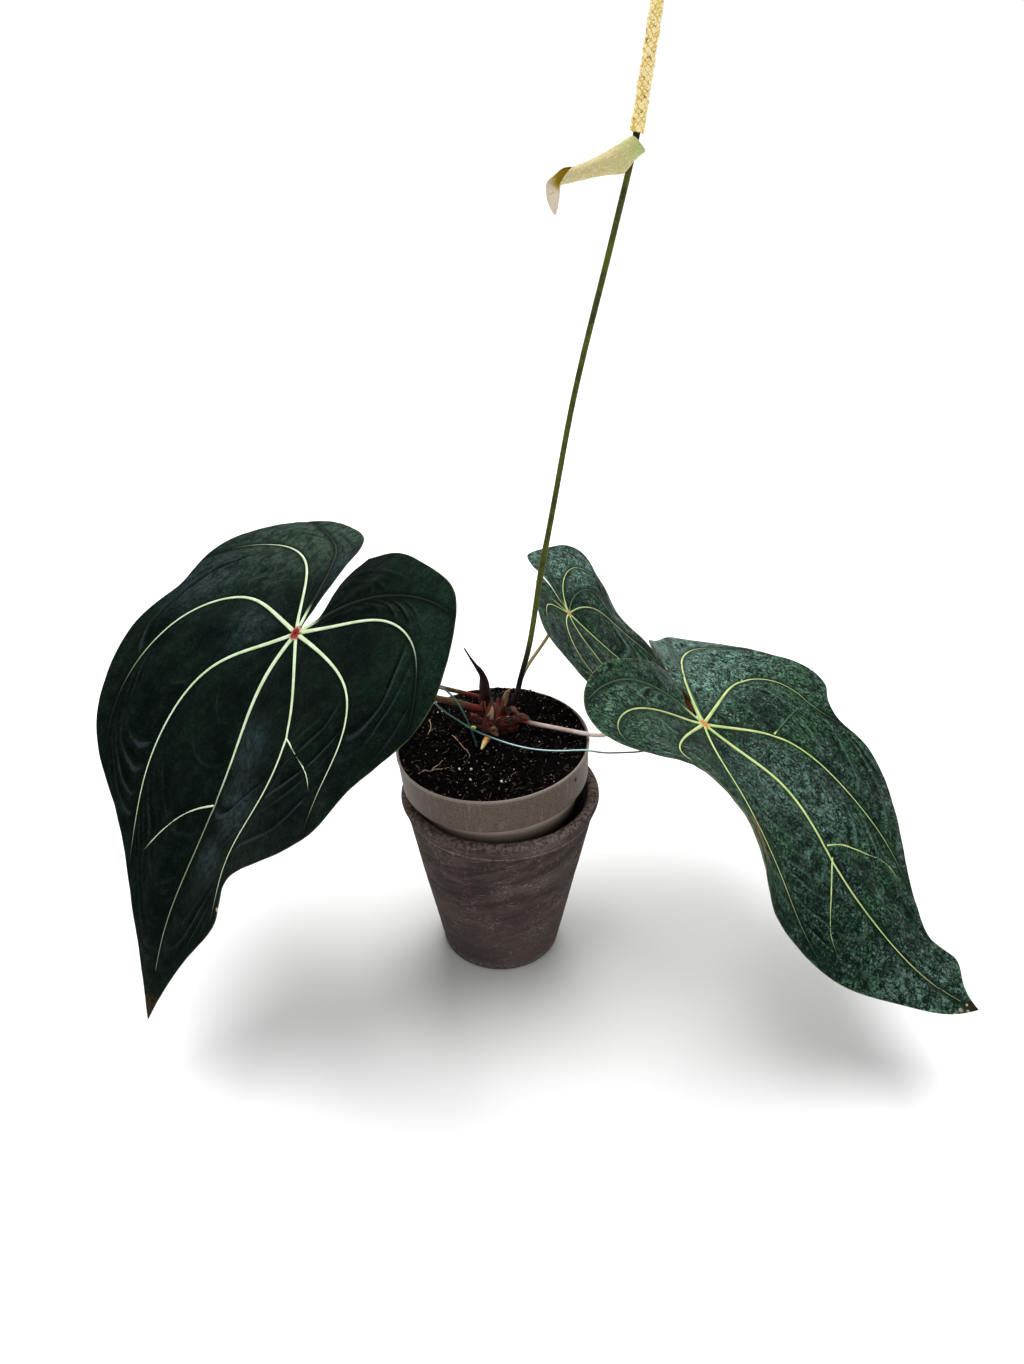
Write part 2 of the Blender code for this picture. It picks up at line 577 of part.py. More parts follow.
def nursery_frame():
    """The nursery pot's tilted frame: its left side and its front stand a little lower."""
    axis = Vector((-math.sin(NURSERY_TILT_LEFT), -math.sin(NURSERY_TILT_FRONT), 1.0)).normalized()
    right = Vector((0, 1, 0)).cross(axis).normalized()
    back = axis.cross(right)
    turn = Matrix((right, back, axis)).transposed().to_4x4()
    return Matrix.Translation(NURSERY_RIM_CENTRE) @ turn


def body_radius(depth):
    """Outer radius of the nursery pot's body at a depth below its rim."""
    share = (depth - NURSERY_COLLAR_HEIGHT) / (NURSERY_HEIGHT - NURSERY_COLLAR_HEIGHT)
    return NURSERY_BODY_TOP_RADIUS + (NURSERY_BOTTOM_RADIUS - NURSERY_BODY_TOP_RADIUS) * share


def make_nursery_pot(collection, cutters):
    wall = NURSERY_WALL
    collar = NURSERY_COLLAR_HEIGHT
    foot = NURSERY_COLLAR_FOOT_RADIUS
    bottom = NURSERY_HEIGHT
    profile = [(0.0, -bottom + wall), (body_radius(bottom) - wall - 0.002, -bottom + wall),
               (body_radius(bottom - 0.004) - wall, -bottom + wall + 0.003),
               (body_radius(collar + wall) - wall, -collar - wall), (foot - wall, -collar + wall),
               (NURSERY_RIM_RADIUS - wall - 0.0006, -0.0015), (NURSERY_RIM_RADIUS - wall, 0.0),
               (NURSERY_RIM_RADIUS, 0.0), (NURSERY_RIM_RADIUS, -0.0014),
               (NURSERY_RIM_RADIUS - 0.0005, -0.0018), (foot, -collar),
               (body_radius(collar), -collar - 0.0002), (body_radius(bottom - 0.003), -bottom + 0.003),
               (body_radius(bottom) - 0.0015, -bottom), (0.0, -bottom)]
    material = make_material("nursery_plastic", (0.155, 0.130, 0.108), 0.55)
    pot = turned("nursery_pot", profile, NURSERY_STEPS, collection, material)
    frame = nursery_frame()
    pot.matrix_world = frame
    for i in range(DRAIN_HOLES):
        angle = 2 * math.pi * (i + 0.41) / DRAIN_HOLES
        across, back = DRAIN_RING_RADIUS * math.cos(angle), DRAIN_RING_RADIUS * math.sin(angle)
        place = Vector((across, back, -bottom))
        cut_with_cylinder(pot, f"drain_{i}", frame @ Matrix.Translation(place), cutters)
    out = Matrix.Rotation(COLLAR_HOLE_ANGLE, 4, "Z")
    place = Vector((NURSERY_RIM_RADIUS - wall / 2, 0, -COLLAR_HOLE_DEPTH))
    bpy.ops.mesh.primitive_cube_add(size=1.0)
    slot = bpy.context.active_object
    slot.name = "collar_hole"
    size = Matrix.Diagonal((*COLLAR_HOLE_SIZE, 1.0))
    slot.matrix_world = frame @ out @ Matrix.Translation(place) @ size
    use_as_cutter(slot, cutters)
    add_modifier(pot, "Collar hole", "BOOLEAN", operation="DIFFERENCE", solver="EXACT", object=slot)
    return pot


def use_as_cutter(item, cutters):
    for collection in list(item.users_collection):
        collection.objects.unlink(item)
    cutters.objects.link(item)
    item.hide_render = True
    item.display_type = "WIRE"


def cut_with_cylinder(pot, name, place, cutters):
    bpy.ops.mesh.primitive_cylinder_add(vertices=10, radius=DRAIN_RADIUS, depth=6 * NURSERY_WALL)
    cutter = bpy.context.active_object
    cutter.name = name
    cutter.matrix_world = place
    use_as_cutter(cutter, cutters)
    add_modifier(pot, name, "BOOLEAN", operation="DIFFERENCE", solver="EXACT", object=cutter)


def soil_height(x, y, lumps):
    """Height of the soil over the rim's plane at a place in the nursery pot's frame."""
    across = y / NURSERY_RIM_RADIUS
    slope = -SOIL_DROP_FRONT + (SOIL_RISE_BACK + SOIL_DROP_FRONT) * (across + 1) / 2
    to_crown = math.hypot(x - CROWN_CENTRE.x + NURSERY_RIM_CENTRE.x, y - CROWN_CENTRE.y)
    mound = SOIL_MOUND * math.exp(-(to_crown / SOIL_MOUND_REACH) ** 2)
    return slope + mound + lumps.uniform(-SOIL_LUMP, SOIL_LUMP)


def make_soil(collection):
    """Fills the nursery pot: a lumpy top, a side that follows the pot's wall, a flat bottom."""
    lumps = random.Random(7)
    gap = NURSERY_WALL + CLEARANCE * 1.6
    rim = NURSERY_RIM_RADIUS - 0.0006 - gap
    rings = []
    for i in range(1, SOIL_RINGS + 1):
        radius = rim * (i / SOIL_RINGS) ** 0.8
        ring = []
        for j in range(SOIL_STEPS):
            angle = 2 * math.pi * (j + 0.5 * (i % 2)) / SOIL_STEPS
            x, y = radius * math.cos(angle), radius * math.sin(angle)
            ring.append((x, y, soil_height(x, y, lumps)))
        rings.append(ring)
    side = ((NURSERY_COLLAR_FOOT_RADIUS - gap, NURSERY_COLLAR_HEIGHT - 0.0036),
            (body_radius(NURSERY_COLLAR_HEIGHT) - gap - 0.0004, NURSERY_COLLAR_HEIGHT - 0.0032),
            (body_radius(NURSERY_HEIGHT - 0.006) - gap, NURSERY_HEIGHT - 0.006),
            (body_radius(NURSERY_HEIGHT) - gap - 0.004, NURSERY_HEIGHT - NURSERY_WALL - CLEARANCE))
    for radius, depth in side:
        shift = 0.5 * (SOIL_RINGS % 2)
        rings.append([(radius * math.cos(2 * math.pi * (j + shift) / SOIL_STEPS),
                       radius * math.sin(2 * math.pi * (j + shift) / SOIL_STEPS), -depth)
                      for j in range(SOIL_STEPS)])
    vertices, faces = loft(rings)
    del faces[-2]
    vertices.append(Vector((0, 0, soil_height(0, 0, lumps))))
    centre = len(vertices) - 1
    faces += [(centre, j, (j + 1) % SOIL_STEPS) for j in range(SOIL_STEPS)]
    mesh = mesh_from("soil", vertices, faces)
    merge_doubles(mesh)
    material = make_material("potting_soil", (0.012, 0.009, 0.008), 0.95)
    soil = add_object("soil", mesh, collection, material)
    soil.matrix_world = nursery_frame()
    return soil


def make_bract(name, base, tip, bow, width, facing, collection, material):
    """A dry pointed sheath: a lens-shaped blade from its base to its tip, its outer side facing one way."""
    base, tip, bow = Vector(base), Vector(tip), Vector(bow)
    middle = (base + tip) / 2 + bow
    centre_line = path((tuple(base), tuple(middle), tuple(tip)), np.linspace(0, 1, 7))
    rings = []
    for i, centre in enumerate(centre_line):
        share = i / 6
        along = Vector(centre_line[min(i + 1, 6)] - centre_line[max(i - 1, 0)]).normalized()
        side = along.cross(facing).normalized()
        face = side.cross(along)
        half = width / 2 * (1 - share ** 1.6) + 0.0004
        thick = 0.0010 * (1 - 0.5 * share)
        cup = half * 0.35
        ring = []
        for place, height in ((-1, -cup), (-0.5, thick), (0, thick + cup * 0.6), (0.5, thick),
                              (1, -cup), (0.5, -thick), (0, -thick + cup * 0.6), (-0.5, -thick)):
            ring.append(Vector(centre) + side * place * half + face * height)
        rings.append(ring)
    vertices, faces = loft(rings)
    mesh = mesh_from(name, vertices, faces)
    merge_doubles(mesh)
    return add_object(name, mesh, collection, material)


def make_crown(collection):
    """The short stem with the dry sheaths that grow from it, as one body."""
    material = make_material("dry_sheath", (0.095, 0.028, 0.018), 0.8)
    profile = [(0.0, CROWN_RISE), (CROWN_RADIUS * 0.45, CROWN_RISE - 0.0008),
               (CROWN_RADIUS * 0.80, CROWN_RISE - 0.0040), (CROWN_RADIUS, CROWN_RISE - 0.0090),
               (CROWN_RADIUS, 0.0030), (CROWN_RADIUS * 0.85, 0.0), (CROWN_RADIUS * 0.75, -CROWN_DEPTH),
               (0.0, -CROWN_DEPTH)]
    crown = turned("crown", profile, 20, collection, material)
    crown.location = CROWN_CENTRE
    apply_modifiers(crown)
    extras = new_collection("crown_sheaths")
    c = CROWN_CENTRE
    top = c.z + CROWN_RISE
    make_bract("spike", (c.x - 0.0030, c.y, top - 0.0120), SPIKE_TIP, (0.0038, 0, -0.0005), SPIKE_WIDTH,
               Vector((0, -1, 0)), extras, material)
    for i, (degrees, rise, reach, width) in enumerate(SHEATHS):
        angle = math.radians(degrees)
        out = Vector((math.cos(angle), math.sin(angle), 0))
        base = c + out * CROWN_RADIUS * 0.55 + Vector((0, 0, 0.0040))
        tip = c + out * (reach + 0.0015) + Vector((0, 0, rise + 0.0045))
        make_bract(f"sheath_{i}", base, tip, out * 0.0016, width, out, extras, material)
    add_modifier(crown, "Grow", "BOOLEAN", operation="UNION", solver="EXACT", operand_type="COLLECTION",
                 collection=extras)
    apply_modifiers(crown)
    for item in list(extras.objects):
        bpy.data.objects.remove(item, do_unlink=True)
    bpy.data.collections.remove(extras)
    return crown


def cut_socket(body, name, route, radius, reach, cutters):
    """Cuts a plain hole round the first stretch of a route, with the usual clearance."""
    whole = length_of(route)
    points = path(route, np.linspace(0, min(1.0, reach / whole), 8))
    start = points[0] - (points[1] - points[0]) / np.linalg.norm(points[1] - points[0]) * CLEARANCE * 1.5
    points = np.vstack([start, points])
    cutter = tube(name, points, [radius + CLEARANCE * 1.3] * len(points), cutters)
    cutter = tube_to_mesh(cutter, cutters)
    use_as_cutter(cutter, cutters)
    add_modifier(body, name, "BOOLEAN", operation="DIFFERENCE", solver="EXACT", object=cutter)


def make_leaf(name, collection, material):
    """A bent blade of even thickness, raised along its veins and quilted between them."""
    leaf = LEAVES[name]
    bend = Bend(leaf)
    small = leaf["length"] < 0.18
    count = BLADE_RINGS_SMALL if small else BLADE_RINGS
    rings = np.linspace(0, 1, count) ** 1.15
    spokes, blends = flat_spokes(leaf, BLADE_BETWEEN_VEINS, rings)
    scale = leaf["length"] / LEAVES["leaf_left"]["length"]
    quilt = QUILT_RELIEF * scale * np.sin(np.pi * blends)[:, None] * np.sin(np.pi * rings) ** 0.7
    ridge = VEIN_RELIEF * (blends == 0)[:, None] * (np.sin(np.pi * rings) ** 0.5)
    ridge[0] = ridge[-1] = 0
    around = np.linspace(0, 2 * math.pi * MARGIN_WAVES, len(spokes))[:, None]
    wave = MARGIN_WAVE * scale * np.sin(around) * rings ** 4
    lift = (quilt + ridge + wave)[:, 1:].reshape(-1)
    flat = spokes[:, 1:].reshape(-1, 2)
    flat = np.vstack([flat, [(0, 0)]])
    lift = np.append(lift, 0.0)
    middle = bend.surface(flat) + bend.normals(flat) * lift[:, None]
    half = bend.normals(flat) * BLADE_THICKNESS / 2
    per = count - 1
    total = len(flat)
    hub = total - 1
    top = []
    for i in range(len(spokes) - 1):
        a, b = i * per, (i + 1) * per
        top.append((hub, a, b))
        for j in range(per - 1):
            if (i % 4) < 2:
                top += [(a + j, a + j + 1, b + j + 1), (a + j, b + j + 1, b + j)]
            else:
                top += [(a + j, a + j + 1, b + j), (a + j + 1, b + j + 1, b + j)]
    last = (len(spokes) - 1) * per
    border = ([hub] + list(range(0, per)) + [i * per + per - 1 for i in range(1, len(spokes) - 1)]
              + [last + j for j in range(per - 1, -1, -1)])
    faces = list(top) + [tuple(total + k for k in reversed(face)) for face in top]
    for a, b in zip(border, border[1:] + border[:1]):
        faces.append((b, a, total + a))
        faces.append((b, total + a, total + b))
    mesh = mesh_from(name, np.vstack([middle + half, middle - half]), faces)
    work = bmesh.new()
    work.from_mesh(mesh)
    bmesh.ops.recalc_face_normals(work, faces=work.faces)
    work.to_mesh(mesh)
    work.free()
    mesh.shade_smooth()
    return add_object(name, mesh, collection, material)


def route_to_junction(route, leaf_name, radius):
    """Ends a stalk's route just under its leaf's junction, square to the blade."""
    bend = Bend(LEAVES[leaf_name])
    under = bend.surface([(0, 0)])[0]
    normal = bend.normals([(0, 0)])[0]
    drop = BLADE_THICKNESS / 2 + CLEARANCE + radius * 0.35
    return route + (tuple(under - normal * (drop + 0.006)), tuple(under - normal * drop))


def sheet_body(grid, thickness):
    """Vertices and faces of a closed sheet of even thickness round a grid of mid-surface points."""
    rows, columns = grid.shape[:2]
    normal = np.cross(np.gradient(grid, axis=0), np.gradient(grid, axis=1))
    normal /= np.linalg.norm(normal, axis=2)[:, :, None]
    half = normal * thickness / 2
    vertices = np.vstack([(grid + half).reshape(-1, 3), (grid - half).reshape(-1, 3)])
    total = rows * columns
    top = []
    for i in range(rows - 1):
        for j in range(columns - 1):
            a, b, c, d = (i * columns + j, i * columns + j + 1, (i + 1) * columns + j + 1,
                          (i + 1) * columns + j)
            top += [(a, b, c), (a, c, d)]
    border = ([j for j in range(columns - 1)] + [i * columns + columns - 1 for i in range(rows - 1)]
              + [(rows - 1) * columns + j for j in range(columns - 1, 0, -1)]
              + [i * columns for i in range(rows - 1, 0, -1)])
    faces = list(top) + [tuple(total + k for k in reversed(face)) for face in top]
    for a, b in zip(border, border[1:] + border[:1]):
        faces += [(b, a, total + a), (b, total + a, total + b)]
    return vertices, faces


def make_spathe(collection):
    """The flower's bract: it clasps the front of the stalk's top and rolls up, with its tip bent down."""
    own = np.linspace(0, 1, len(SPATHE_STATIONS))
    table = np.array([(*upper, *lower, *rest) for upper, lower, *rest in SPATHE_STATIONS])
    grid = []
    for upper_x, upper_z, lower_x, lower_z, y, bulge, start, end in spline(own, table,
                                                                          np.linspace(0, 1, SPATHE_ROWS)):
        centre = np.array(((upper_x + lower_x) / 2, y, (upper_z + lower_z) / 2))
        reach = np.array(((upper_x - lower_x) / 2, 0, (upper_z - lower_z) / 2))
        angles = np.radians(np.linspace(start, end, SPATHE_COLUMNS))[:, None]
        grid.append(centre + reach * np.cos(angles) + np.array((0, -bulge, 0)) * np.sin(angles))
    vertices, faces = sheet_body(np.array(grid), SPATHE_THICKNESS)
    mesh = mesh_from("spathe", vertices, faces)
    merge_doubles(mesh)
    mesh.shade_smooth()
    return add_object("spathe", mesh, collection, make_material("spathe", (0.45, 0.46, 0.27), 0.5))


def make_spadix(collection):
    """The flower spike: a short narrow foot and a long body covered with small raised florets."""
    axis = SPADIX_DIRECTION.normalized()
    side = axis.cross(Vector((0, 1, 0))).normalized()
    back = side.cross(axis)
    foot = 0.0044
    shape = [(0.0, STIPE_RADIUS), (foot - 0.0004, STIPE_RADIUS), (foot, SPADIX_RADIUS * 0.80)]
    for i in range(1, SPADIX_RINGS + 1):
        share = i / SPADIX_RINGS
        shape.append((foot + SPADIX_LENGTH * share, SPADIX_RADIUS * (1 - 0.38 * share ** 1.3)))
    shape += [(foot + SPADIX_LENGTH + 0.0016, SPADIX_RADIUS * 0.40)]
    rings = []
    for i, (height, radius) in enumerate(shape):
        ring = []
        for j in range(SPADIX_SIDES):
            floret = 3 <= i < len(shape) - 1 and (i + j) % 2 == 0
            reach = radius + (SPADIX_RELIEF if floret else 0.0)
            angle = 2 * math.pi * j / SPADIX_SIDES
            outwards = side * math.cos(angle) + back * math.sin(angle)
            ring.append(SPADIX_FOOT + axis * height + outwards * reach)
        rings.append(ring)
    vertices, faces = loft(rings)
    mesh = mesh_from("spadix", vertices, faces)
    merge_doubles(mesh)
    return add_object("spadix", mesh, collection, make_material("spadix", (0.62, 0.42, 0.12), 0.6))


def peduncle_taper(route):
    """Radius factor along the flower stalk: a soft taper with one swollen place low on it."""
    whole = length_of(route)

    def factor(share):
        height = path(route, [share])[0][2]
        swelling = PEDUNCLE_SWELLING * math.exp(-((height - PEDUNCLE_SWELLING_HEIGHT) / 0.010) ** 2)
        return 1.0 - 0.10 * share * whole / 0.32 + swelling

    return factor


def base_flare(share):
    """Radius factor of a leaf stalk: thicker where it leaves the crown and at its leaf."""
    return 1.0 + 0.35 * math.exp(-(share / 0.06) ** 2) + 0.25 * math.exp(-((1 - share) / 0.05) ** 2)


def build():
    clear_scene()
    collection = new_collection(NAME)
    cutters = new_collection("cutters")
    make_clay_pot(collection)
    make_nursery_pot(collection, cutters)
    soil = make_soil(collection)
    crown = make_crown(collection)

    stalk_green = make_material("flower_stalk", (0.055, 0.050, 0.018), 0.5)
    petiole_brown = make_material("petiole", (0.20, 0.12, 0.075), 0.55)
    blade_dark = make_material("blade_dark", (0.012, 0.028, 0.018), 0.6)
    blade_green = make_material("blade_green", (0.020, 0.060, 0.030), 0.5)
    for name in LEAVES:
        make_leaf(name, collection, blade_dark if name == "leaf_left" else blade_green)

    petioles = (("petiole_left", PETIOLE_LEFT_ROUTE, "leaf_left", PETIOLE_LEFT_RADIUS),
                ("petiole_right", PETIOLE_RIGHT_ROUTE, "leaf_right", PETIOLE_RIGHT_RADIUS),
                ("petiole_small", PETIOLE_SMALL_ROUTE, "leaf_small", PETIOLE_SMALL_RADIUS))
    for name, route, leaf_name, radius in petioles:
        whole = route_to_junction(route, leaf_name, radius)
        tube_along(name, whole, radius, radius * 3.2, collection, petiole_brown, base_flare)
        cut_socket(crown, f"{name}_socket", whole, radius * 1.35, 0.012, cutters)
    tube_along("old_stalk", OLD_STALK_ROUTE, OLD_STALK_RADIUS, 0.005, collection, petiole_brown)
    cut_socket(crown, "old_stalk_socket", OLD_STALK_ROUTE, OLD_STALK_RADIUS, 0.014, cutters)
    tube_along("peduncle", PEDUNCLE_ROUTE, PEDUNCLE_RADIUS, 0.009, collection, stalk_green,
               peduncle_taper(PEDUNCLE_ROUTE))
    cut_socket(crown, "peduncle_socket", PEDUNCLE_ROUTE, PEDUNCLE_RADIUS * 1.12, 0.022, cutters)

    root_points = path(ROOT_TIP_ROUTE, np.linspace(0, 1, 9))
    root_radii = spline(np.linspace(0, 1, len(ROOT_TIP_RADII)), ROOT_TIP_RADII, np.linspace(0, 1, 9))
    root_material = make_material("root_tip", (0.62, 0.40, 0.12), 0.6)
    tube("root_tip", root_points, root_radii, collection, root_material)
    cut_socket(soil, "root_hole", ROOT_TIP_ROUTE, ROOT_TIP_RADII[2], 0.010, cutters)

    tube_along("support_wire", WIRE_ROUTE, WIRE_RADIUS, 0.0045, collection,
               make_material("green_wire", (0.010, 0.050, 0.030), 0.35))
    cut_socket(soil, "wire_hole", WIRE_ROUTE, WIRE_RADIUS, 0.024, cutters)
    cut_crown_hole(soil, cutters)
    make_spathe(collection)
    make_spadix(collection)


def cut_crown_hole(soil, cutters):
    """The plain hole in the soil that the crown stands in."""
    above = CROWN_RISE + 0.0025
    below = CROWN_DEPTH + CLEARANCE * 2
    bpy.ops.mesh.primitive_cylinder_add(vertices=24, radius=CROWN_RADIUS * 1.06, depth=above + below)
    cutter = bpy.context.active_object
    cutter.name = "crown_hole"
    cutter.location = CROWN_CENTRE + Vector((0, 0, (above - below) / 2))
    use_as_cutter(cutter, cutters)
    add_modifier(soil, "Crown hole", "BOOLEAN", operation="DIFFERENCE", solver="EXACT", object=cutter)


build()
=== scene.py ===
"""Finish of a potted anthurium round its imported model: pots, soil, crown, leaves, stalks and flower."""
import math
import random

import bmesh
import bpy
import numpy as np
from mathutils import Matrix, Vector, noise
from mathutils.kdtree import KDTree


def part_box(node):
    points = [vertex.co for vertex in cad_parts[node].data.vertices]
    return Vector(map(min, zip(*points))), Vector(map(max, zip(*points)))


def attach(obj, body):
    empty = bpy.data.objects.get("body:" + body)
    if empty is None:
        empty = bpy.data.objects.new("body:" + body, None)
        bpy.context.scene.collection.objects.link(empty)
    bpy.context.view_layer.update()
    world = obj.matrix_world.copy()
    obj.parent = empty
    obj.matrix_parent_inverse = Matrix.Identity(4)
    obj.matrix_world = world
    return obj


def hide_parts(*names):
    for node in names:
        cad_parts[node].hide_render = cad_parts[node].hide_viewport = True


bl_info = {
    "name": "Potted anthurium",
    "version": (1, 0, 0),
    "blender": (4, 5, 0),
    "location": "3D View > Sidebar > Anthurium",
    "description": "Finishes a velvet-leaved anthurium in its pots round the packed model",
    "category": "Object",
}

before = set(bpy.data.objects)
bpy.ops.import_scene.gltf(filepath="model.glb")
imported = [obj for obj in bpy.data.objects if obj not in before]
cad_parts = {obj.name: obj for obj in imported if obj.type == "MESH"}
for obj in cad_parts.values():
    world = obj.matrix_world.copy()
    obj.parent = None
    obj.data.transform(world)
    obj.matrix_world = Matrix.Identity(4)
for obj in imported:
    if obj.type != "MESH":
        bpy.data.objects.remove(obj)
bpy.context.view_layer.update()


def metres(sizes):
    """Turns millimetres into metres, in nested tuples too."""
    return tuple(map(metres, sizes)) if isinstance(sizes, tuple) else sizes / 1000


# Clay cover pot
CLAY_RIM_RADIUS = 0.063
CLAY_BASE_RADIUS = 0.039
CLAY_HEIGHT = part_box("outer_pot")[1].z
CLAY_WALL = 0.0075
CLAY_FLOOR = 0.009
CLAY_LIP_HEIGHT = 0.012
CLAY_LIP_PROUD = 0.0014
CLAY_MARKS = 0.00012
CLAY_WAVES = 0.0002
CLAY_POCKS = 0.0003
CLAY_STEPS = 200

# Nursery pot, in its own frame with the rim's centre at the origin
NURSERY_RIM_RADIUS = 0.06
NURSERY_COLLAR_HEIGHT = 0.0242
NURSERY_COLLAR_FOOT_RADIUS = 0.0583
NURSERY_BODY_TOP_RADIUS = 0.05465
NURSERY_BOTTOM_RADIUS = 0.0382
NURSERY_HEIGHT = 0.102
NURSERY_WALL = 0.0012
NURSERY_RIM_CENTRE = Vector((-0.0046, 0.0, 0.157))
NURSERY_TILT_LEFT = math.radians(3.4)
NURSERY_TILT_FRONT = math.radians(2.2)
DRAIN_HOLES = 6
DRAIN_RADIUS = 0.004
DRAIN_RING_RADIUS = 0.024
COLLAR_HOLE_ANGLE = math.radians(-33.0)
COLLAR_HOLE_DEPTH = 0.0085
COLLAR_HOLE_SIZE = (0.006, 0.0022, 0.003)
NURSERY_STEPS = 160
NURSERY_NICKS = 0.00012
NURSERY_WARP = 0.00012

# Soil, in the nursery pot's frame
SOIL_DROP_FRONT = 0.0022
SOIL_RISE_BACK = 0.0012
SOIL_MOUND = 0.002
SOIL_MOUND_REACH = 0.022
SOIL_GAP = 0.0004
SOIL_STEPS = 240
SOIL_RINGS = 74
SOIL_DISC_STEPS = 72
SOIL_DISC_RINGS = 24
SOIL_DISC_INSET = 0.0026

# Crown
CROWN_CENTRE = Vector((-0.0045, 0.017, 0.1575))
CROWN_RADIUS = 0.0082
CROWN_RISE = 0.0175
CROWN_DEPTH = 0.024

# Dry sheaths round the crown: direction in degrees, then rise of the tip, reach and width in millimetres
SHEATHS = ((196, 5.5, 15.5, 7), (214, 1, 18, 7.5), (233, 4.5, 14.5, 6.5), (254, 0.5, 14.5, 7),
           (276, 5, 12.5, 6.5), (298, 0.5, 13.5, 7), (322, 4.5, 12.5, 6), (345, 0, 15, 6.5),
           (20, 6, 11.5, 6), (58, 4, 11, 6), (95, 9, 9.5, 5.5), (128, 5, 11.5, 6), (160, 8, 11, 5.5))

# The sheaths that show most: route and widths along it in millimetres, the way that the outer side
# faces, cupping and paleness. The first is the tall pointed one
HERO_SHEATHS = (
    (((-7.8, 16.8, 164), (-9.3, 16.6, 179), (-9.8, 17, 189.5), (-11.1, 17.2, 194.5), (-14, 17.5, 199.2),
     (-21.6, 18, 212.3)), (7.6, 7.4, 6.8, 5.2, 3.4, 1.8, 0.7, 0.3), (0.15, -1, 0.1), 0.55, -0.7),
    (((-6.6, 17.2, 164), (-8, 17.2, 180), (-8.6, 18, 189)), (6, 5.8, 4, 0.4), (0.5, -1, 0.1), 0.5, 0.1),
    (((-2, 13, 164), (2.2, 12.5, 170), (7, 11.7, 172.2), (11.8, 10.3, 170)), (7, 9.2, 8, 4, 0.6),
     (0, -0.55, 0.85), 0.55, 0.0),
    (((-4, 6.8, 160), (0.8, 4.2, 165), (6, 4.4, 167.8), (11.8, 6.4, 167.8)), (6.4, 9.8, 9.6, 5.6, 1),
     (0.1, -0.9, 0.45), 0.75, 0.0),
    (((2.8, 14.2, 164), (5.8, 13.8, 171.5), (9.2, 13.8, 179), (12.2, 14.2, 188)),
     (6.2, 6, 5.2, 4, 2.2, 0.4), (0.1, -1, 0.1), 0.9, -1.0),
    (((9.5, 9.2, 166.8), (13.5, 7.8, 167.6), (17.5, 6.6, 166.8), (20.5, 5.8, 165.8)),
     (3.6, 4, 3.2, 1.6, 0.3), (0.1, -0.8, 0.6), 0.9, 0.1),
    (((2, 7, 158), (4.5, 5, 160.5), (8.5, 5.2, 162.5), (12, 6.2, 164)), (5, 6, 4.5, 0.4),
     (0.3, -0.9, 0.3), 0.6, 0.05),
    (((5.5, 14, 170), (8.2, 12.2, 173.6), (10, 10.5, 172.2), (12.5, 9.5, 169.8)), (3.4, 3.4, 2.4, 0.4),
     (0.3, -0.5, 0.85), 0.9, 0.45),
    (((10.5, 10, 169), (13.5, 9, 170), (16.5, 8, 169), (19.2, 7.2, 166.8)), (3, 3.2, 2.6, 0.6),
     (0, -0.4, 0.9), 0.9, 0.35),
    (((0, 6, 161), (-7, 3.2, 166.2), (-13.1, 5, 169.2), (-18.7, 8, 172.8)), (5, 6.2, 5.6, 3, 0.3),
     (-0.2, -0.85, 0.5), 0.5, 0.15),
    (((0, 4, 160), (-7, 1, 164), (-13, 1.5, 166), (-17.6, 3, 167.2)), (4.4, 5, 3.6, 1.8, 0.3),
     (0, -0.9, 0.45), 0.6, 0.2),
    (((-9, 12, 162), (-10.6, 11.8, 171), (-10.4, 16, 176.5), (-10, 19.5, 178)), (4.4, 4.4, 3, 0.4),
     (-0.4, -0.9, 0.2), 0.6, 0.1),
    (((-6.2, 7.8, 162), (-6.6, 8, 170), (-5.6, 13.5, 174.5), (-5, 18.5, 176.8)), (5.2, 5, 3.4, 0.4),
     (-0.1, -0.9, 0.3), 0.6, 0.3),
    (((-2.2, 8.5, 162), (-1.6, 9.2, 171.2), (-1.4, 14.5, 175.2), (-1.2, 18.5, 177.2)), (4.6, 4.4, 3, 0.4),
     (0, -0.9, 0.3), 0.6, 0.25),
    (((1.2, 10.2, 164), (2, 11.2, 172.2), (1.6, 15.5, 175.2), (1.2, 19, 176)), (4, 3.6, 2.2, 0.4),
     (0.2, -0.9, 0.3), 0.6, 0.1),
    (((-6.4, 6.6, 168), (-5.2, 7.6, 172.2), (-4.6, 10.4, 175.6)), (3.6, 3.4, 2, 0.3),
     (-0.1, -0.95, 0.3), 0.3, 0.85),
    (((3.6, 20, 170), (3.6, 21.8, 176), (6.8, 23, 180.6)), (1.6, 3.8, 3, 0.4), (0.1, -0.95, 0.2), 0.4, 1.0),
    (((-1, 2, 160), (-5.2, -0.4, 165.2), (-3.4, -1.2, 167.2), (-2.2, -1.4, 165.2), (-4, -2, 163)),
     (1.8, 1.8, 1.4, 1.2, 0.5), (0, -0.6, 0.8), 0.3, 0.55),
)
BUD_PLACE = Vector((-0.016, 0.0006, 0.1663))

# Stalks and wire
PETIOLE_LEFT_RADIUS = 0.0021
PETIOLE_RIGHT_RADIUS = 0.0014
PETIOLE_SMALL_RADIUS = 0.0011
OLD_STALK_RADIUS = 0.0014
PEDUNCLE_RADIUS = 0.0017
PEDUNCLE_SWELLING_HEIGHT = 0.269
PEDUNCLE_SWELLING = 0.18
WIRE_RADIUS = 0.0006
STALK_SPACING = 0.0011
STALK_SIDES = 20
STALK_GRAIN = 260.0

# Flower
SPADIX_RADIUS = 0.0034
SPADIX_LENGTH = 0.118
SPADIX_TAPER = 0.38
SPADIX_STIPE_LENGTH = 0.0044
STIPE_RADIUS = 0.0016
SPATHE_THICKNESS = 0.0006

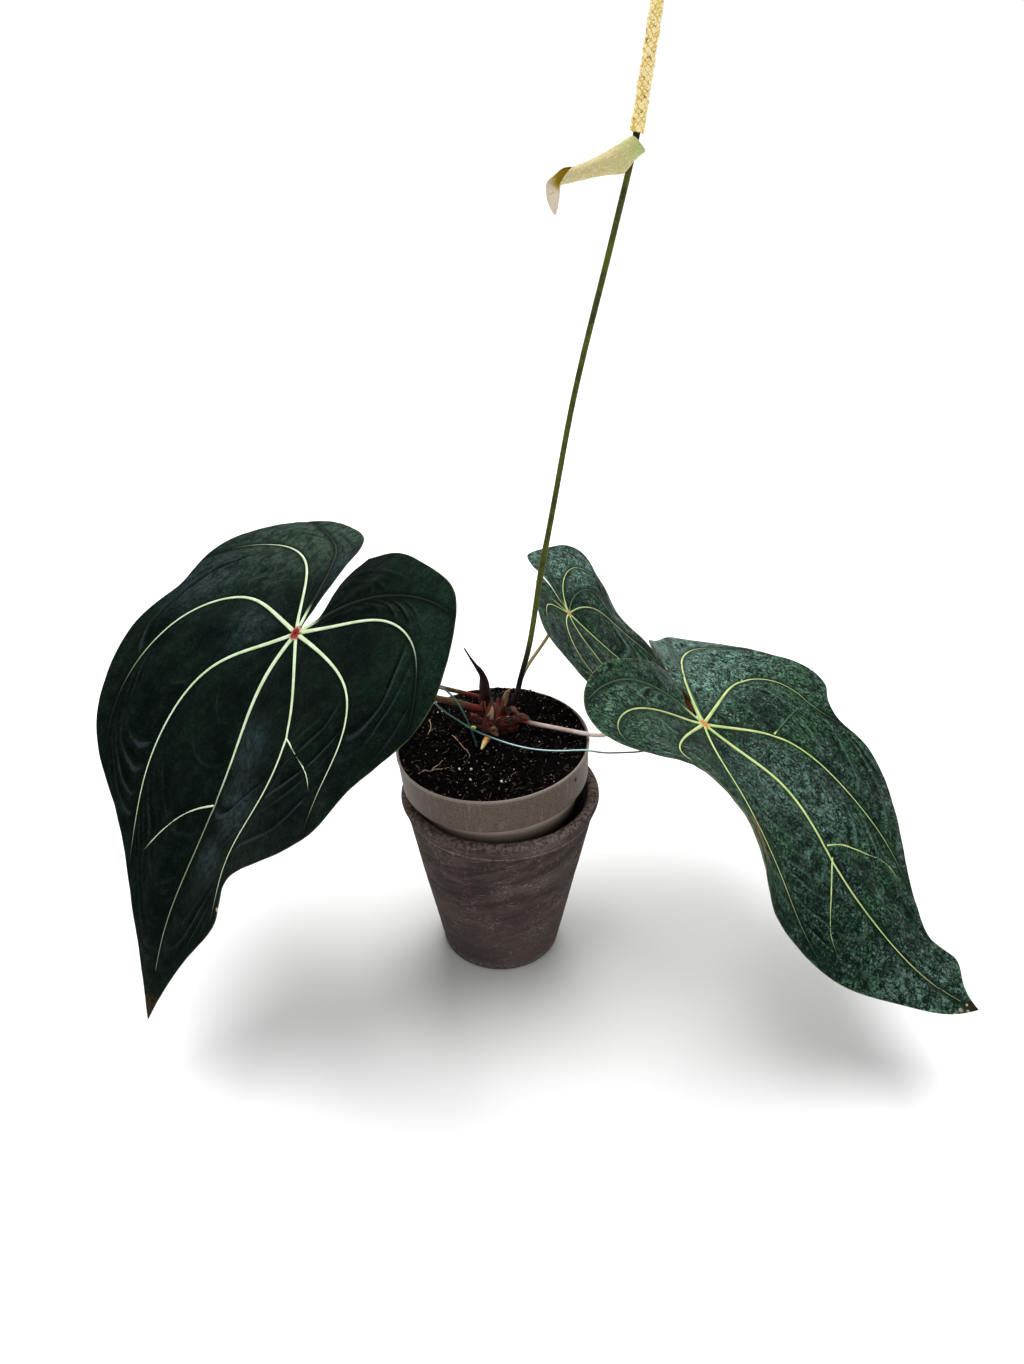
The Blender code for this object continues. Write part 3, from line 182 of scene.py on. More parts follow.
# Blades
BLADE_THICKNESS = 0.0006
BLADE_BACK = -0.42
QUILT_RELIEF = 0.0019
QUILT_REACH = 0.009
NET_DEPTH = 0.0014
NET_WIDTH = 0.0022
NET_SPACING = 0.0125
NET_LEAN = 0.13
FOLD_HEIGHT = 0.0013
MARGIN_WAVE = 0.0012
MARGIN_WAVES = 9
MARGIN_REACH = 0.02
PEBBLE_RELIEF = 0.00016
PEBBLE_SIZE = 0.007
VEIN_CALM = 0.004
SEAM_DEPTH = 0.00045
UV_SPAN = 0.32
UV_START = (0.5, 0.25)

# How finely each blade's mesh is laid: spokes from one main vein to the next, and rings from hub to margin
BLADE_GRIDS = (("leaf_left", 36, 110), ("leaf_right", 36, 110), ("leaf_small", 20, 80))

# The three leaves. In millimetres: the place of the junction with the stalk, the length from there to
# the tip, and the flat drawing as (x, y) from the junction, with +y to the tip and +x to the leaf's right.
# In degrees, from behind the junction to the tip: pitch, heading and roll of the spine, and the fold of
# both halves. The curls are in radians over the leaf's length
LEAVES = {
    "leaf_left": {
        "junction": (-111.6, -26.8, 245.8),
        "length": 229,
        "pitch": (-27, -45, -57, -47, -56),
        "heading": (217, 214, 224, 244, 257),
        "roll": (18, -1, -2, 12, 7),
        "fold": (-7, -1, 20, -12),
        "curl_right": (-0.3, -0.25, -0.45, -0.4),
        "curl_left": (0.55, 0.3, -0.3, -0.3),
        "midrib": ((-2, 29), (2, 80), (1, 133), (-2, 177)),
        "right": {
            "sinus": ((8, -14), (4, -35)),
            "outline": ((7, -57), (23, -67), (52, -71), (84, -67), (103, -50), (115, -22), (113, 12),
                (106, 46), (103, 68), (91, 93), (65, 122), (40, 149), (38, 163), (23, 186), (10, 207),
                (0, 229)),
            "veins": (((9, -13), (24, -33), (45, -48), (70, -57), (96, -60)), ((24, -17), (57, -37),
                (86, -34), (103, -17), (114, 6)), ((35, -1), (64, 6), (80, 26), (88, 52), (97, 86)),
                ((21, 19), (43, 47), (49, 76), (43, 115), (31, 176))),
        },
        "left": {
            "sinus": ((-1, -20), (-6, -42)),
            "outline": ((-9, -56), (-22, -66), (-52, -71), (-88, -64), (-113, -46), (-122, -23),
                (-116, 6), (-110, 20), (-113, 36), (-106, 72), (-90, 104), (-58, 136), (-30, 171),
                (-12, 205), (0, 229)),
            "veins": (((-5, -15), (-18, -38), (-38, -52), (-62, -57), (-95, -57)), ((-17, -16),
                (-46, -33), (-80, -34), (-104, -20), (-115, 2)), ((-27, 0), (-62, 5), (-84, 27),
                (-91, 58), (-78, 118)), ((-17, 16), (-42, 44), (-50, 80), (-47, 125), (-36, 162))),
        },
    },
    "leaf_right": {
        "junction": (120.1, -21.9, 183.1),
        "length": 214,
        "pitch": (-72, -32, -28, -40, 4),
        "heading": (-60, -33, -46, -47, -35),
        "roll": (-39, -14, -6, 11, 40),
        "fold": (-30, 6, -6, -25),
        "curl_right": (-0.2, 0.4, 0.0, -0.4),
        "curl_left": (-1.3, 0.4, 2.2, 0.2),
        "midrib": ((4, 27), (7, 54), (2, 82), (-3, 109), (-1, 150)),
        "right": {
            "sinus": ((10, -9.4), (17.8, -18.1), (25.6, -26.8)),
            "outline": ((22, -37.2), (15, -44.8), (9.2, -50.5), (8.5, -55.5), (19, -58.2), (41, -57.2),
                (70, -53), (101, -46), (114, -26), (113, 0), (115, 22), (111, 33), (100, 39), (92, 49),
                (95, 64), (91, 82), (76, 104), (55, 130), (33, 161), (24, 178), (24, 190), (9, 203),
                (0, 214)),
            "veins": (((10.7, -9.4), (19.2, -17.8), (28.4, -25.8), (40, -34.5), (56, -42), (88, -48)),
                ((18, -19), (44, -33), (70, -37), (97, -31), (113, -10)), ((38, -2), (67, 0), (84, 13),
                (86.5, 26), (85, 38), (94, 56)), ((25, 20), (42, 40), (48, 75), (48, 109), (41, 151))),
        },
        "left": {
            "sinus": ((-1, -12), (6.8, -19.6), (15.6, -27.4)),
            "outline": ((16.8, -35.2), (8.8, -42), (-3.2, -48.2), (-16, -53.5), (-39, -60), (-64, -57),
                (-88, -43), (-99, -28), (-103, -5), (-100, 20), (-98, 45), (-102, 68), (-94, 88),
                (-73, 106), (-54, 131), (-37, 161), (-19, 185), (-9, 203), (0, 214)),
            "veins": (((-4, -14), (-16, -32), (-36, -46), (-60, -51), (-80, -49)), ((-11, -6), (-36, -23),
                (-64, -35), (-86, -31), (-101, -18)), ((-20, -2), (-56, -4), (-81, 3), (-90, 22),
                (-98, 52)), ((-15, 10), (-37, 36), (-48, 68), (-48, 98), (-42, 154))),
        },
    },
    "leaf_small": {
        "junction": (44.7, 72, 208.5),
        "length": 129,
        "pitch": (-42, -46, -43, -43, -41),
        "heading": (-20, -12, 6, 8, 10),
        "roll": (-22, 4, 16, 26, 34),
        "fold": (10, 12, 6, 3),
        "curl_right": (0.3, -0.4, -0.8, -0.5),
        "curl_left": (0.0, -0.15, -0.15, -0.2),
        "midrib": ((1, 21), (0, 60), (0, 100)),
        "right": {
            "sinus": ((3.5, -11), (8, -25)),
            "outline": ((8, -38), (12, -45), (21, -45), (45, -38), (59, -28), (62, -10), (58, 9),
                (59, 31), (50, 49), (41, 64), (27, 89), (12, 112), (0, 129)),
            "veins": (((5, -10), (13, -25), (25, -34), (43, -36)), ((8, -9), (26, -17), (42, -14),
                (50, -2), (60, 12)), ((12, -3), (31, 2), (41, 16), (44, 35), (48, 56)), ((9, 3), (23, 15),
                (30, 39), (27, 68), (21, 99))),
        },
        "left": {
            "sinus": ((2.6, -10), (5.7, -20)),
            "outline": ((7, -29), (-4, -31), (-26, -29), (-51, -25), (-62, -14), (-60, 4), (-59, 23),
                (-55, 41), (-46, 62), (-31, 87), (-14, 110), (0, 129)),
            "veins": (((-3, -9), (-10, -20), (-23, -26), (-43, -28)), ((-8, -9), (-27, -18), (-44, -15),
                (-53, -5), (-60, 8)), ((-10, -1), (-27, 3), (-43, 18), (-47, 37), (-48, 58)), ((-7, 5),
                (-20, 24), (-31, 45), (-29, 70), (-21, 101))),
        },
    },
}
for leaf in LEAVES.values():
    for key in ("junction", "length", "midrib"):
        leaf[key] = metres(leaf[key])
    for key in ("right", "left"):
        leaf[key] = {label: metres(sizes) for label, sizes in leaf[key].items()}

# What shows on each blade, in the flat drawing and in millimetres: the width of its main veins, how far
# each of them stays pale and the veins that branch off between them, with how far they stay pale. The
# midrib has its fade's strength besides. Spots stand by their tone, as (x, y, radius); the wide soft ones
# are painted highlights, painted sheen and painted shade
BLADE_MARKS = {
    "leaf_left": {
        "vein_width": 3.7,
        "midrib": (0.42, 0.7),
        "pale": {
            "right": (0.1, 0.66, 0.88, 1.0),
            "left": (0.1, 0.8, 0.68, 0.92),
        },
        "branches": (
            (((1, 108), (-9, 114), (-22, 128), (-36, 153)), 1.0),
            (((43, 47), (62, 50), (77, 55), (87, 65)), 1.0),
        ),
        "spots": {
            "hub_red": ((0, 0, 5.8),),
            "hub_dark": ((0, 0, 1.8),),
            "dry": ((0, 229, 16),),
            # mist, sheen and faint are painted highlights; shade is painted shade
            "mist": ((-85, -45, 75), (-50, -60, 50)),
            "sheen": ((-98, 10, 35), (-36, 12, 26), (18, 65, 26), (32, 98, 28), (22, 135, 18),
                (-12, -45, 20)),
            "faint": ((62, -56, 55), (96, -30, 50)),
            "shade": ((-18, 145, 60), (-30, 120, 45), (0, 182, 36), (45, -35, 45), (95, 10, 42),
                (-75, 92, 48), (70, 80, 35)),
            "pale_scar": ((38, 159.3, 1.4), (-12, 208, 1.2)),
        },
    },
    "leaf_right": {
        "vein_width": 3.4,
        "midrib": (1.0, 0.5),
        "pale": {
            "right": (0.02, 0.8, 0.85, 0.85),
            "left": (0.12, 0.8, 0.7, 0.8),
        },
        "branches": (
            (((1, 97), (11, 102), (22, 112), (37, 131), (34, 148)), 1.0),
            (((-1, 104), (-16, 119), (-25, 130), (-31, 144), (-29, 154)), 1.0),
            (((40, 32.8), (52, 32.5), (64, 32.2), (85, 32.8)), 0.05),
            (((68.5, 0.1), (78.5, -5.2), (87.5, -10.4)), 0.05),
        ),
        "spots": {
            "hub_tan": ((0, 0, 4.6),),
            "dry": ((0, 214, 9),),
            # shine, glow, gleam and sheen are painted highlights; shade is painted shade
            "shine": ((76, -32, 78), (36, -24, 40)),
            "glow": ((88, 26, 34), (-46, -42, 42), (-75, -30, 40)),
            "gleam": ((12, 45, 34), (16, 78, 34), (-14, 50, 34), (-3, 182, 42)),
            "sheen": ((-26, 30, 34), (50, 70, 30), (-10, 115, 34)),
            "shade": ((70, 90, 34), (54, 18, 28), (-30, 135, 34), (12, 160, 30)),
            "tan": ((-52, 64, 7), (-58, 73, 8), (-62, 82, 7)),
            "pale_scar": ((-4.2, 206, 1.3), (-0.2, 207.8, 0.8), (-3.1, 209.5, 1), (-7.6, 204.2, 0.7),
                (27, 8, 0.9), (36, 12, 0.6)),
        },
    },
    "leaf_small": {
        "vein_width": 1.7,
        "midrib": (1.0, 0.5),
        "pale": {
            "right": (0.1, 0.85, 0.0, 0.8),
            "left": (0.3, 0.6, 0.75, 0.85),
        },
        "branches": (),
        "spots": {
            "hub_tan": ((0, 0, 2.6),),
            # shine and sheen are painted highlights
            "shine": ((26, -30, 34), (45, -10, 26)),
            "sheen": ((-30, 10, 26),),
        },
    },
}
for marks in BLADE_MARKS.values():
    marks["vein_width"] = metres(marks["vein_width"])
    marks["branches"] = [(metres(points), pale) for points, pale in marks["branches"]]
    marks["spots"] = [(metres((x, y)), metres(radius), tone)
                      for tone, places in marks["spots"].items() for x, y, radius in places]

# Tones of the spots, and how much of the wide soft patches shows; the others are small and opaque. The
# wide soft patches are painted light: sheen, mist, faint, gleam, glow and shine are painted highlights and
# painted sheen, and shade is painted shade
SPOT_TONES = {
    "hub_red": (0.26, 0.022, 0.022),
    "hub_dark": (0.06, 0.006, 0.008),
    "hub_tan": (0.5, 0.22, 0.06),
    "dry": (0.03, 0.02, 0.009),
    "tan": (0.2, 0.155, 0.07),
    "pale_scar": (0.52, 0.42, 0.3),
    "sheen": (0.06, 0.092, 0.105),
    "mist": (0.052, 0.09, 0.06),
    "faint": (0.013, 0.032, 0.017),
    "gleam": (0.15, 0.25, 0.205),
    "glow": (0.072, 0.165, 0.085),
    "shine": (0.23, 0.42, 0.335),
    "shade": (0.0012, 0.0034, 0.0026),
}
SPOT_SHARES = {"sheen": 0.42, "mist": 0.8, "faint": 0.8, "gleam": 0.8, "glow": 0.85, "shine": 0.95,
               "shade": 0.85}

# Loose roots and perlite on the soil, as places in the nursery pot's frame; the grains with their size
SURFACE_ROOTS = metres((((-25.1, 6.5), (-21.5, 1), (-17.5, -5.5), (-15.8, -8.5), (-13.5, -15.2)),
    ((-44.2, -28.6), (-40, -26.2), (-34.5, -25.8), (-25.2, -24.3)), ((-36, -25.6), (-32.5, -21.5),
    (-29.8, -17.9)), ((-40.8, 10), (-39.3, 17.4), (-41.1, 24.2))))
PERLITE = metres(((-19.4, -26.7, 1.3), (-12.5, -27.2, 1.2), (-12.8, -35.8, 1.2), (5.8, -40.1, 1.4),
    (1.3, -26.3, 0.6), (13.2, -29.2, 0.6), (18.9, -54.1, 0.9), (-35.8, 32.8, 0.9), (-33, 33.5, 0.8),
    (32, 31, 0.9)))

# Routes of the stalks, the root tip and the wire, from the crown outwards
PETIOLE_LEFT_ROUTE = metres(((-6, 16.5, 169), (-11.5, 14, 171.2), (-25.8, 10, 178.1), (-39.5, 6, 184.1),
    (-70, -6, 201), (-96, -18.5, 224)))
OLD_STALK_ROUTE = metres(((-5.5, 20, 172.5), (-11.6, 22, 174.4), (-25.1, 22, 178.8), (-37.8, 22, 182.4),
    (-62, 21.5, 190.3), (-86, 19, 199)))
PETIOLE_RIGHT_ROUTE = metres(((-1, 11.5, 167.2), (6.2, 10, 167.1), (19.3, 6, 166), (31.5, 3, 165),
    (43.6, -1, 164.7), (53.9, -4, 164.3), (64.4, -4, 164), (72, 1, 166), (83, 15, 171), (96, 29, 179),
    (101.8, 32.5, 186.2), (106, 29.1, 188.9), (109.3, 18.6, 188.5), (112.3, 6.5, 185.9),
    (115.5, -6.1, 184.2)))
PETIOLE_SMALL_ROUTE = metres(((4.8, 21.2, 168.5), (10.4, 25, 176.6), (14.4, 31, 185.7), (22.1, 42, 194.2),
    (29.5, 55, 198.8), (34.5, 66.5, 200.8)))
PEDUNCLE_ROUTE = metres(((3.5, 16.5, 164), (6.2, 16, 168.4), (12.4, 16, 190.3), (16.6, 16, 208.6),
    (23.8, 16, 260.4), (27, 16, 280.7), (32.6, 16, 316.4), (38.8, 16, 356.4), (46.1, 16, 393.6),
    (53.8, 16, 428.4), (60, 16.1, 457.3), (63.6, 16.2, 474.5), (65.4, 16.4, 483.8)))
ROOT_TIP_ROUTE = metres(((-7, 3.5, 152), (-7.4, 1, 156.5), (-8, -3, 159.8), (-9.2, -8, 160.6),
    (-11.1, -13, 159.2)))
ROOT_TIP_RADII = (0.0017, 0.0018, 0.0019, 0.0016, 0.0006)
WIRE_ROUTE = metres(((-12, -8, 140), (-14, -5.3, 155), (-19.8, -4.5, 174.9), (-22.7, -4.5, 182.1),
    (-26.1, -4.5, 188.8), (-30.7, -4.5, 194.7), (-35.6, -5, 197.8), (-39.5, -6.2, 195.5),
    (-39, -7.5, 190.6), (-35.5, -8.5, 186), (-26.1, -9, 178.5), (-16.6, -10, 172), (-3.4, -11.5, 166),
    (10.5, -15, 163), (27.9, -18.1, 161.8), (43, -18.5, 162), (53.1, -19.2, 162.6), (61.3, -21.7, 162.9),
    (73.1, -23.1, 163.8), (82.4, -24.3, 165.2), (89.5, -23.6, 166.2)))

# Stretches of the clay lip that caught crumbs, in degrees, and their area
LIP_STRIPS = ((-72, -8), (-160, -128))
LIP_STRIPS_AREA = 0.00044

# Tones that no setting carries
PEAT_DUST = (0.02, 0.014, 0.01)
NEAR_BLACK = (0.008, 0.006, 0.005)
KNEE_RED = (0.09, 0.022, 0.01)
KNEE_BLACK = (0.01, 0.005, 0.012)

# Stage
CAMERA_PLACE = (0.0075, -0.528, 0.51)
LAMP_AIM = Vector((0, 0, 0.2))

# Flower, above the top of the peduncle
SPADIX_FOOT = Vector((0.0655, 0.0165, 0.4842))
SPADIX_DIRECTION = Vector((0.0125, 0.007, 0.1))

# Spathe: at each station, in millimetres, its upper and lower edge as (x, z), y of both and its bulge,
# then the arc it covers in degrees: 0 is the upper edge, 90 the front, 180 the lower edge, 270 the back
SPATHE_STATIONS = (
    ((69.9, 481.3), (70, 480.1), 14.7, 0.6, 10, 170),
    ((67.2, 484.3), (67.7, 478.6), 14.4, 2.2, 5, 175),
    ((64.2, 486.7), (64.2, 475.3), 14.3, 3.6, 0, 175),
    ((60.9, 485.4), (60.6, 471.3), 14.3, 4.5, -5, 180),
    ((55.7, 482.2), (55.7, 470.7), 15.5, 4.8, -35, 215),
    ((49.8, 478.9), (49.6, 469.9), 16, 4.4, -55, 240),
    ((43.8, 476.3), (43.4, 468.8), 16, 3.8, -45, 260),
    ((37.7, 474.3), (36.9, 467.3), 16, 3.4, 5, 318),
    ((32, 473.2), (31.7, 466.3), 16, 3.4, 100, 350),
    ((28.2, 470.5), (30.6, 465.9), 15.8, 2.8, 150, 360),
    ((24.7, 467.6), (30.4, 464.6), 15.5, 2, 175, 362),
    ((23.8, 464.7), (30.3, 462.1), 15.2, 1.5, 180, 360),
    ((24.3, 460.5), (29.9, 459), 14.8, 1.2, 180, 360),
    ((25.9, 456.2), (29.4, 455.7), 14.4, 0.8, 180, 360),
    ((27.9, 453.1), (28.6, 453.1), 14, 0.3, 180, 360),
)

# Meshes in general
SHARP_ANGLE = math.radians(55)
MERGE_DISTANCE = 0.00001


def spline(knots, values, at):
    """Reads a natural cubic spline through values at knots; the ends hold past the last knot."""
    knots = np.asarray(knots, float)
    values = np.asarray(values, float)
    count = len(knots)
    step = np.diff(knots)
    system = np.eye(count)
    right = np.zeros_like(values)
    for i in range(1, count - 1):
        system[i, i - 1:i + 2] = step[i - 1], 2 * (step[i - 1] + step[i]), step[i]
        right[i] = 6 * ((values[i + 1] - values[i]) / step[i] - (values[i] - values[i - 1]) / step[i - 1])
    bend = np.linalg.solve(system, right)
    at = np.clip(np.asarray(at, float), knots[0], knots[-1])
    low = np.clip(np.searchsorted(knots, at, side="right") - 1, 0, count - 2)
    h = step[low]
    a = (knots[low + 1] - at) / h
    b = 1 - a
    if values.ndim == 2:
        a, b, h = a[:, None], b[:, None], h[:, None]
    return (a * values[low] + b * values[low + 1]
            + ((a ** 3 - a) * bend[low] + (b ** 3 - b) * bend[low + 1]) * h ** 2 / 6)


def path(points, fractions):
    """Reads a smooth curve through points at fractions of its length."""
    points = np.asarray(points, float)
    chords = np.concatenate([[0], np.cumsum(np.linalg.norm(np.diff(points, axis=0), axis=1))])
    fine = spline(chords, points, np.linspace(0, chords[-1], 400))
    run = np.concatenate([[0], np.cumsum(np.linalg.norm(np.diff(fine, axis=0), axis=1))])
    wanted = np.asarray(fractions, float) * run[-1]
    return np.stack([np.interp(wanted, run, fine[:, axis]) for axis in range(points.shape[1])], axis=-1)


def length_of(points):
    """Gives the length of the smooth curve through points."""
    fine = path(points, np.linspace(0, 1, 200))
    return float(np.linalg.norm(np.diff(fine, axis=0), axis=1).sum())


class Bend:
    """Carries a flat leaf onto its bent place: a turning spine with a folded, curled section."""

    SPINE = (BLADE_BACK, 0.0, 1 / 3, 2 / 3, 1.0)
    SECTION = (BLADE_BACK, 0.0, 0.45, 1.0)
    SOFTNESS = 0.02

    def __init__(self, leaf):
        self.length = leaf["length"]
        self.u = np.linspace(BLADE_BACK - 0.1, 1.1, 241)
        pitch = np.radians(spline(self.SPINE, leaf["pitch"], self.u))
        heading = np.radians(spline(self.SPINE, leaf["heading"], self.u))
        roll = np.radians(spline(self.SPINE, leaf["roll"], self.u))
        forward = np.stack([np.cos(pitch) * np.cos(heading), np.cos(pitch) * np.sin(heading),
                            np.sin(pitch)], axis=-1)
        step = (self.u[1] - self.u[0]) * self.length
        spine = np.concatenate([np.zeros((1, 3)), np.cumsum((forward[1:] + forward[:-1]) / 2 * step, axis=0)])
        start = [np.interp(0, self.u, spine[:, axis]) for axis in range(3)]
        self.spine = spine - start + np.asarray(leaf["junction"])
        side = unit(np.cross((0, 0, 1), forward))
        up = np.cross(forward, side)
        cos_roll, sin_roll = np.cos(roll)[:, None], np.sin(roll)[:, None]
        self.side = cos_roll * side + sin_roll * up
        self.up = cos_roll * up - sin_roll * side
        self.fold = np.radians(spline(self.SECTION, leaf["fold"], self.u))
        self.curl_right = spline(self.SECTION, leaf["curl_right"], self.u) / self.length
        self.curl_left = spline(self.SECTION, leaf["curl_left"], self.u) / self.length

    def read(self, table, u):
        """Reads one of the tables along the spine."""
        if table.ndim == 1:
            return np.interp(u, self.u, table)
        return np.stack([np.interp(u, self.u, table[:, axis]) for axis in range(3)], axis=-1)

    def surface(self, flat):
        """Gives the bent points of flat ones."""
        flat = np.asarray(flat, float)
        x = flat[:, 0]
        u = flat[:, 1] / self.length
        fold = self.read(self.fold, u)
        curl = np.where(x >= 0, self.read(self.curl_right, u), self.read(self.curl_left, u))
        curl = np.where(np.abs(curl) < 1e-4, 1e-4, curl)
        out = np.abs(x)
        soft = self.SOFTNESS * self.length
        rounded = np.sqrt(x ** 2 + soft ** 2) - soft
        across = (np.sin(fold + curl * out) - np.sin(fold)) / curl
        rise = (np.cos(fold) - np.cos(fold + curl * rounded)) / curl
        return (self.read(self.spine, u) + (np.sign(x) * across)[:, None] * self.read(self.side, u)
                + rise[:, None] * self.read(self.up, u))

    def normals(self, flat):
        """Gives the upper side's normals at flat points."""
        flat = np.asarray(flat, float)
        reach = 0.0004
        along = self.surface(flat + (0, reach)) - self.surface(flat - (0, reach))
        across = self.surface(flat + (reach, 0)) - self.surface(flat - (reach, 0))
        return unit(np.cross(along, across))


def flat_spokes(leaf, between, rings):
    """Lays curves from the junction to the margin, along each vein and evenly between them.

    Gives the spokes' flat points, from the right side of the sinus round the tip to its left side.
    """
    sides = {}
    for name in ("right", "left"):
        side = leaf[name]
        rim = path(side["outline"], np.linspace(0, 1, 400))
        guides = [path(((0, 0),) + side["sinus"] + side["outline"][:1], rings)]
        places = [0.0]
        for vein in side["veins"]:
            nearest = int(np.argmin(np.linalg.norm(rim - vein[-1], axis=1)))
            guides.append(path(((0, 0),) + vein[:-1] + (tuple(rim[nearest]),), rings))
            places.append(nearest / 399)
        guides.append(path(((0, 0),) + leaf["midrib"] + side["outline"][-1:], rings))
        places.append(1.0)
        spokes = []
        for i in range(len(guides) - 1):
            for blend in np.arange(between) / between:
                place = places[i] + (places[i + 1] - places[i]) * blend
                spoke = guides[i] * (1 - blend) + guides[i + 1] * blend
                end = rim[int(round(place * 399))]
                spokes.append(spoke + (rings ** 2)[:, None] * (end - spoke[-1]))
        sides[name] = spokes
    return np.array(sides["right"] + [guides[-1]] + sides["left"][::-1])


def nearest_to(points, targets):
    """Gives each point's distance to the nearest target and that target's number."""
    tree = KDTree(len(targets))
    for i, target in enumerate(targets):
        tree.insert((*target, 0.0), i)
    tree.balance()
    found = [tree.find((*point, 0.0)) for point in points]
    return np.array([item[2] for item in found]), np.array([item[1] for item in found])


def lumps(points, size, octaves=3, shift=0.0):
    """Smooth random heights, about -1 to 1, with lumps of a given size."""
    return np.array([noise.fractal(Vector(point) / size + Vector((shift, shift, shift)), 0.9, 2.0, octaves,
                                   noise_basis="PERLIN_ORIGINAL") for point in points])


def smooth_step(values, low, high):
    """Rises softly from 0 at low to 1 at high."""
    share = np.clip((np.asarray(values, float) - low) / (high - low), 0.0, 1.0)
    return share * share * (3 - 2 * share)


def unit(vectors):
    """Vectors of length one along the given ones."""
    return vectors / np.maximum(np.linalg.norm(vectors, axis=-1, keepdims=True), 1e-12)


def on_ground(flat):
    """Flat places with a third coordinate of 0."""
    return np.column_stack([flat, np.zeros(len(flat))])


def outward(places):
    """Each place's distance from the Z axis, and its direction away from it."""
    reach = np.hypot(places[:, 0], places[:, 1])
    return reach, places / np.maximum(reach, 1e-6)[:, None] * (1, 1, 0)


def circle(steps):
    """Angles evenly round a circle."""
    return np.arange(steps) * 2 * math.pi / steps


def bell(values, width):
    """1 at 0, falling softly to nearly nothing at twice the width."""
    return np.exp(-(values / width) ** 2)


def mesh_from(name, vertices, faces):
    mesh = bpy.data.meshes.new(name)
    mesh.from_pydata(np.asarray(vertices, float).tolist(), [], faces)
    mesh.update()
    return mesh


def add_object(name, mesh, *materials):
    """Links a mesh object at the origin, with its materials and smooth faces."""
    item = link(name, mesh)
    for material in materials:
        mesh.materials.append(material)
    mesh.shade_smooth()
    mesh.set_sharp_from_angle(angle=SHARP_ANGLE)
    return item


def face_outwards(mesh, merge=0.0):
    """Merges a closed mesh's doubles on request, and turns its faces outwards."""
    work = bmesh.new()
    work.from_mesh(mesh)
    if merge:
        bmesh.ops.remove_doubles(work, verts=work.verts, dist=merge)
    bmesh.ops.recalc_face_normals(work, faces=work.faces)
    work.to_mesh(mesh)
    work.free()


def join_meshes(name, parts):
    """One mesh of several (vertices, faces) bodies."""
    vertices, faces = [], []
    for part_vertices, part_faces in parts:
        start = len(vertices)
        vertices += [tuple(v) for v in part_vertices]
        faces += [tuple(start + k for k in face) for face in part_faces]
    return mesh_from(name, vertices, faces)


def plain_mesh(item):
    """The mesh of an object with its modifiers applied."""
    bpy.context.view_layer.update()
    return bpy.data.meshes.new_from_object(item.evaluated_get(bpy.context.evaluated_depsgraph_get()))


def link(name, data):
    item = bpy.data.objects.new(name, data)
    bpy.context.scene.collection.objects.link(item)
    return item


def store(mesh, name, values):
    attribute = mesh.attributes.new(name, "FLOAT", "POINT")
    attribute.data.foreach_set("value", np.asarray(values, np.float32))


def store_uv(mesh, places):
    """Gives the mesh a UV map from one place for each vertex."""
    layer = mesh.uv_layers.new(name="flat")
    corners = np.empty(len(mesh.loops), np.int32)
    mesh.loops.foreach_get("vertex_index", corners)
    layer.data.foreach_set("uv", np.asarray(places, np.float32)[corners].ravel())


def points_of(mesh):
    """Places of the mesh's vertices."""
    places = np.empty(len(mesh.vertices) * 3, np.float32)
    mesh.vertices.foreach_get("co", places)
    return places.reshape(-1, 3).astype(float)


def set_points(mesh, places):
    mesh.vertices.foreach_set("co", np.asarray(places, np.float32).ravel())
    mesh.update()


def tube_rings(centres, ring_of):
    """Vertices and faces of a closed tube: ring_of(i) gives the points of ring i."""
    rings = [np.asarray(ring_of(i), float) for i in range(len(centres))]
    sides = len(rings[0])
    faces = []
    for i in range(len(rings) - 1):
        for j in range(sides):
            k = (j + 1) % sides
            faces.append((i * sides + j, i * sides + k, (i + 1) * sides + k, (i + 1) * sides + j))
    last = (len(rings) - 1) * sides
    faces.append(tuple(range(sides - 1, -1, -1)))
    faces.append(tuple(range(last, last + sides)))
    return np.vstack(rings), faces


def joined_bodies(name, bodies, *labels):
    """One mesh of (vertices, faces, flat places, values for each label) bodies, facing outwards."""
    mesh = join_meshes(name, [body[:2] for body in bodies])
    store_uv(mesh, np.vstack([body[2] for body in bodies]))
    for column, label in enumerate(labels, 3):
        store(mesh, label, np.concatenate([body[column] for body in bodies]))
    face_outwards(mesh)
    return mesh


def finish_piece(item, slot, *nodes):
    """Fixes a finished piece to the part: it rides on the root body and stands for its nodes."""
    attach(item, "root")
    if nodes:
        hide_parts(*nodes)
    return item


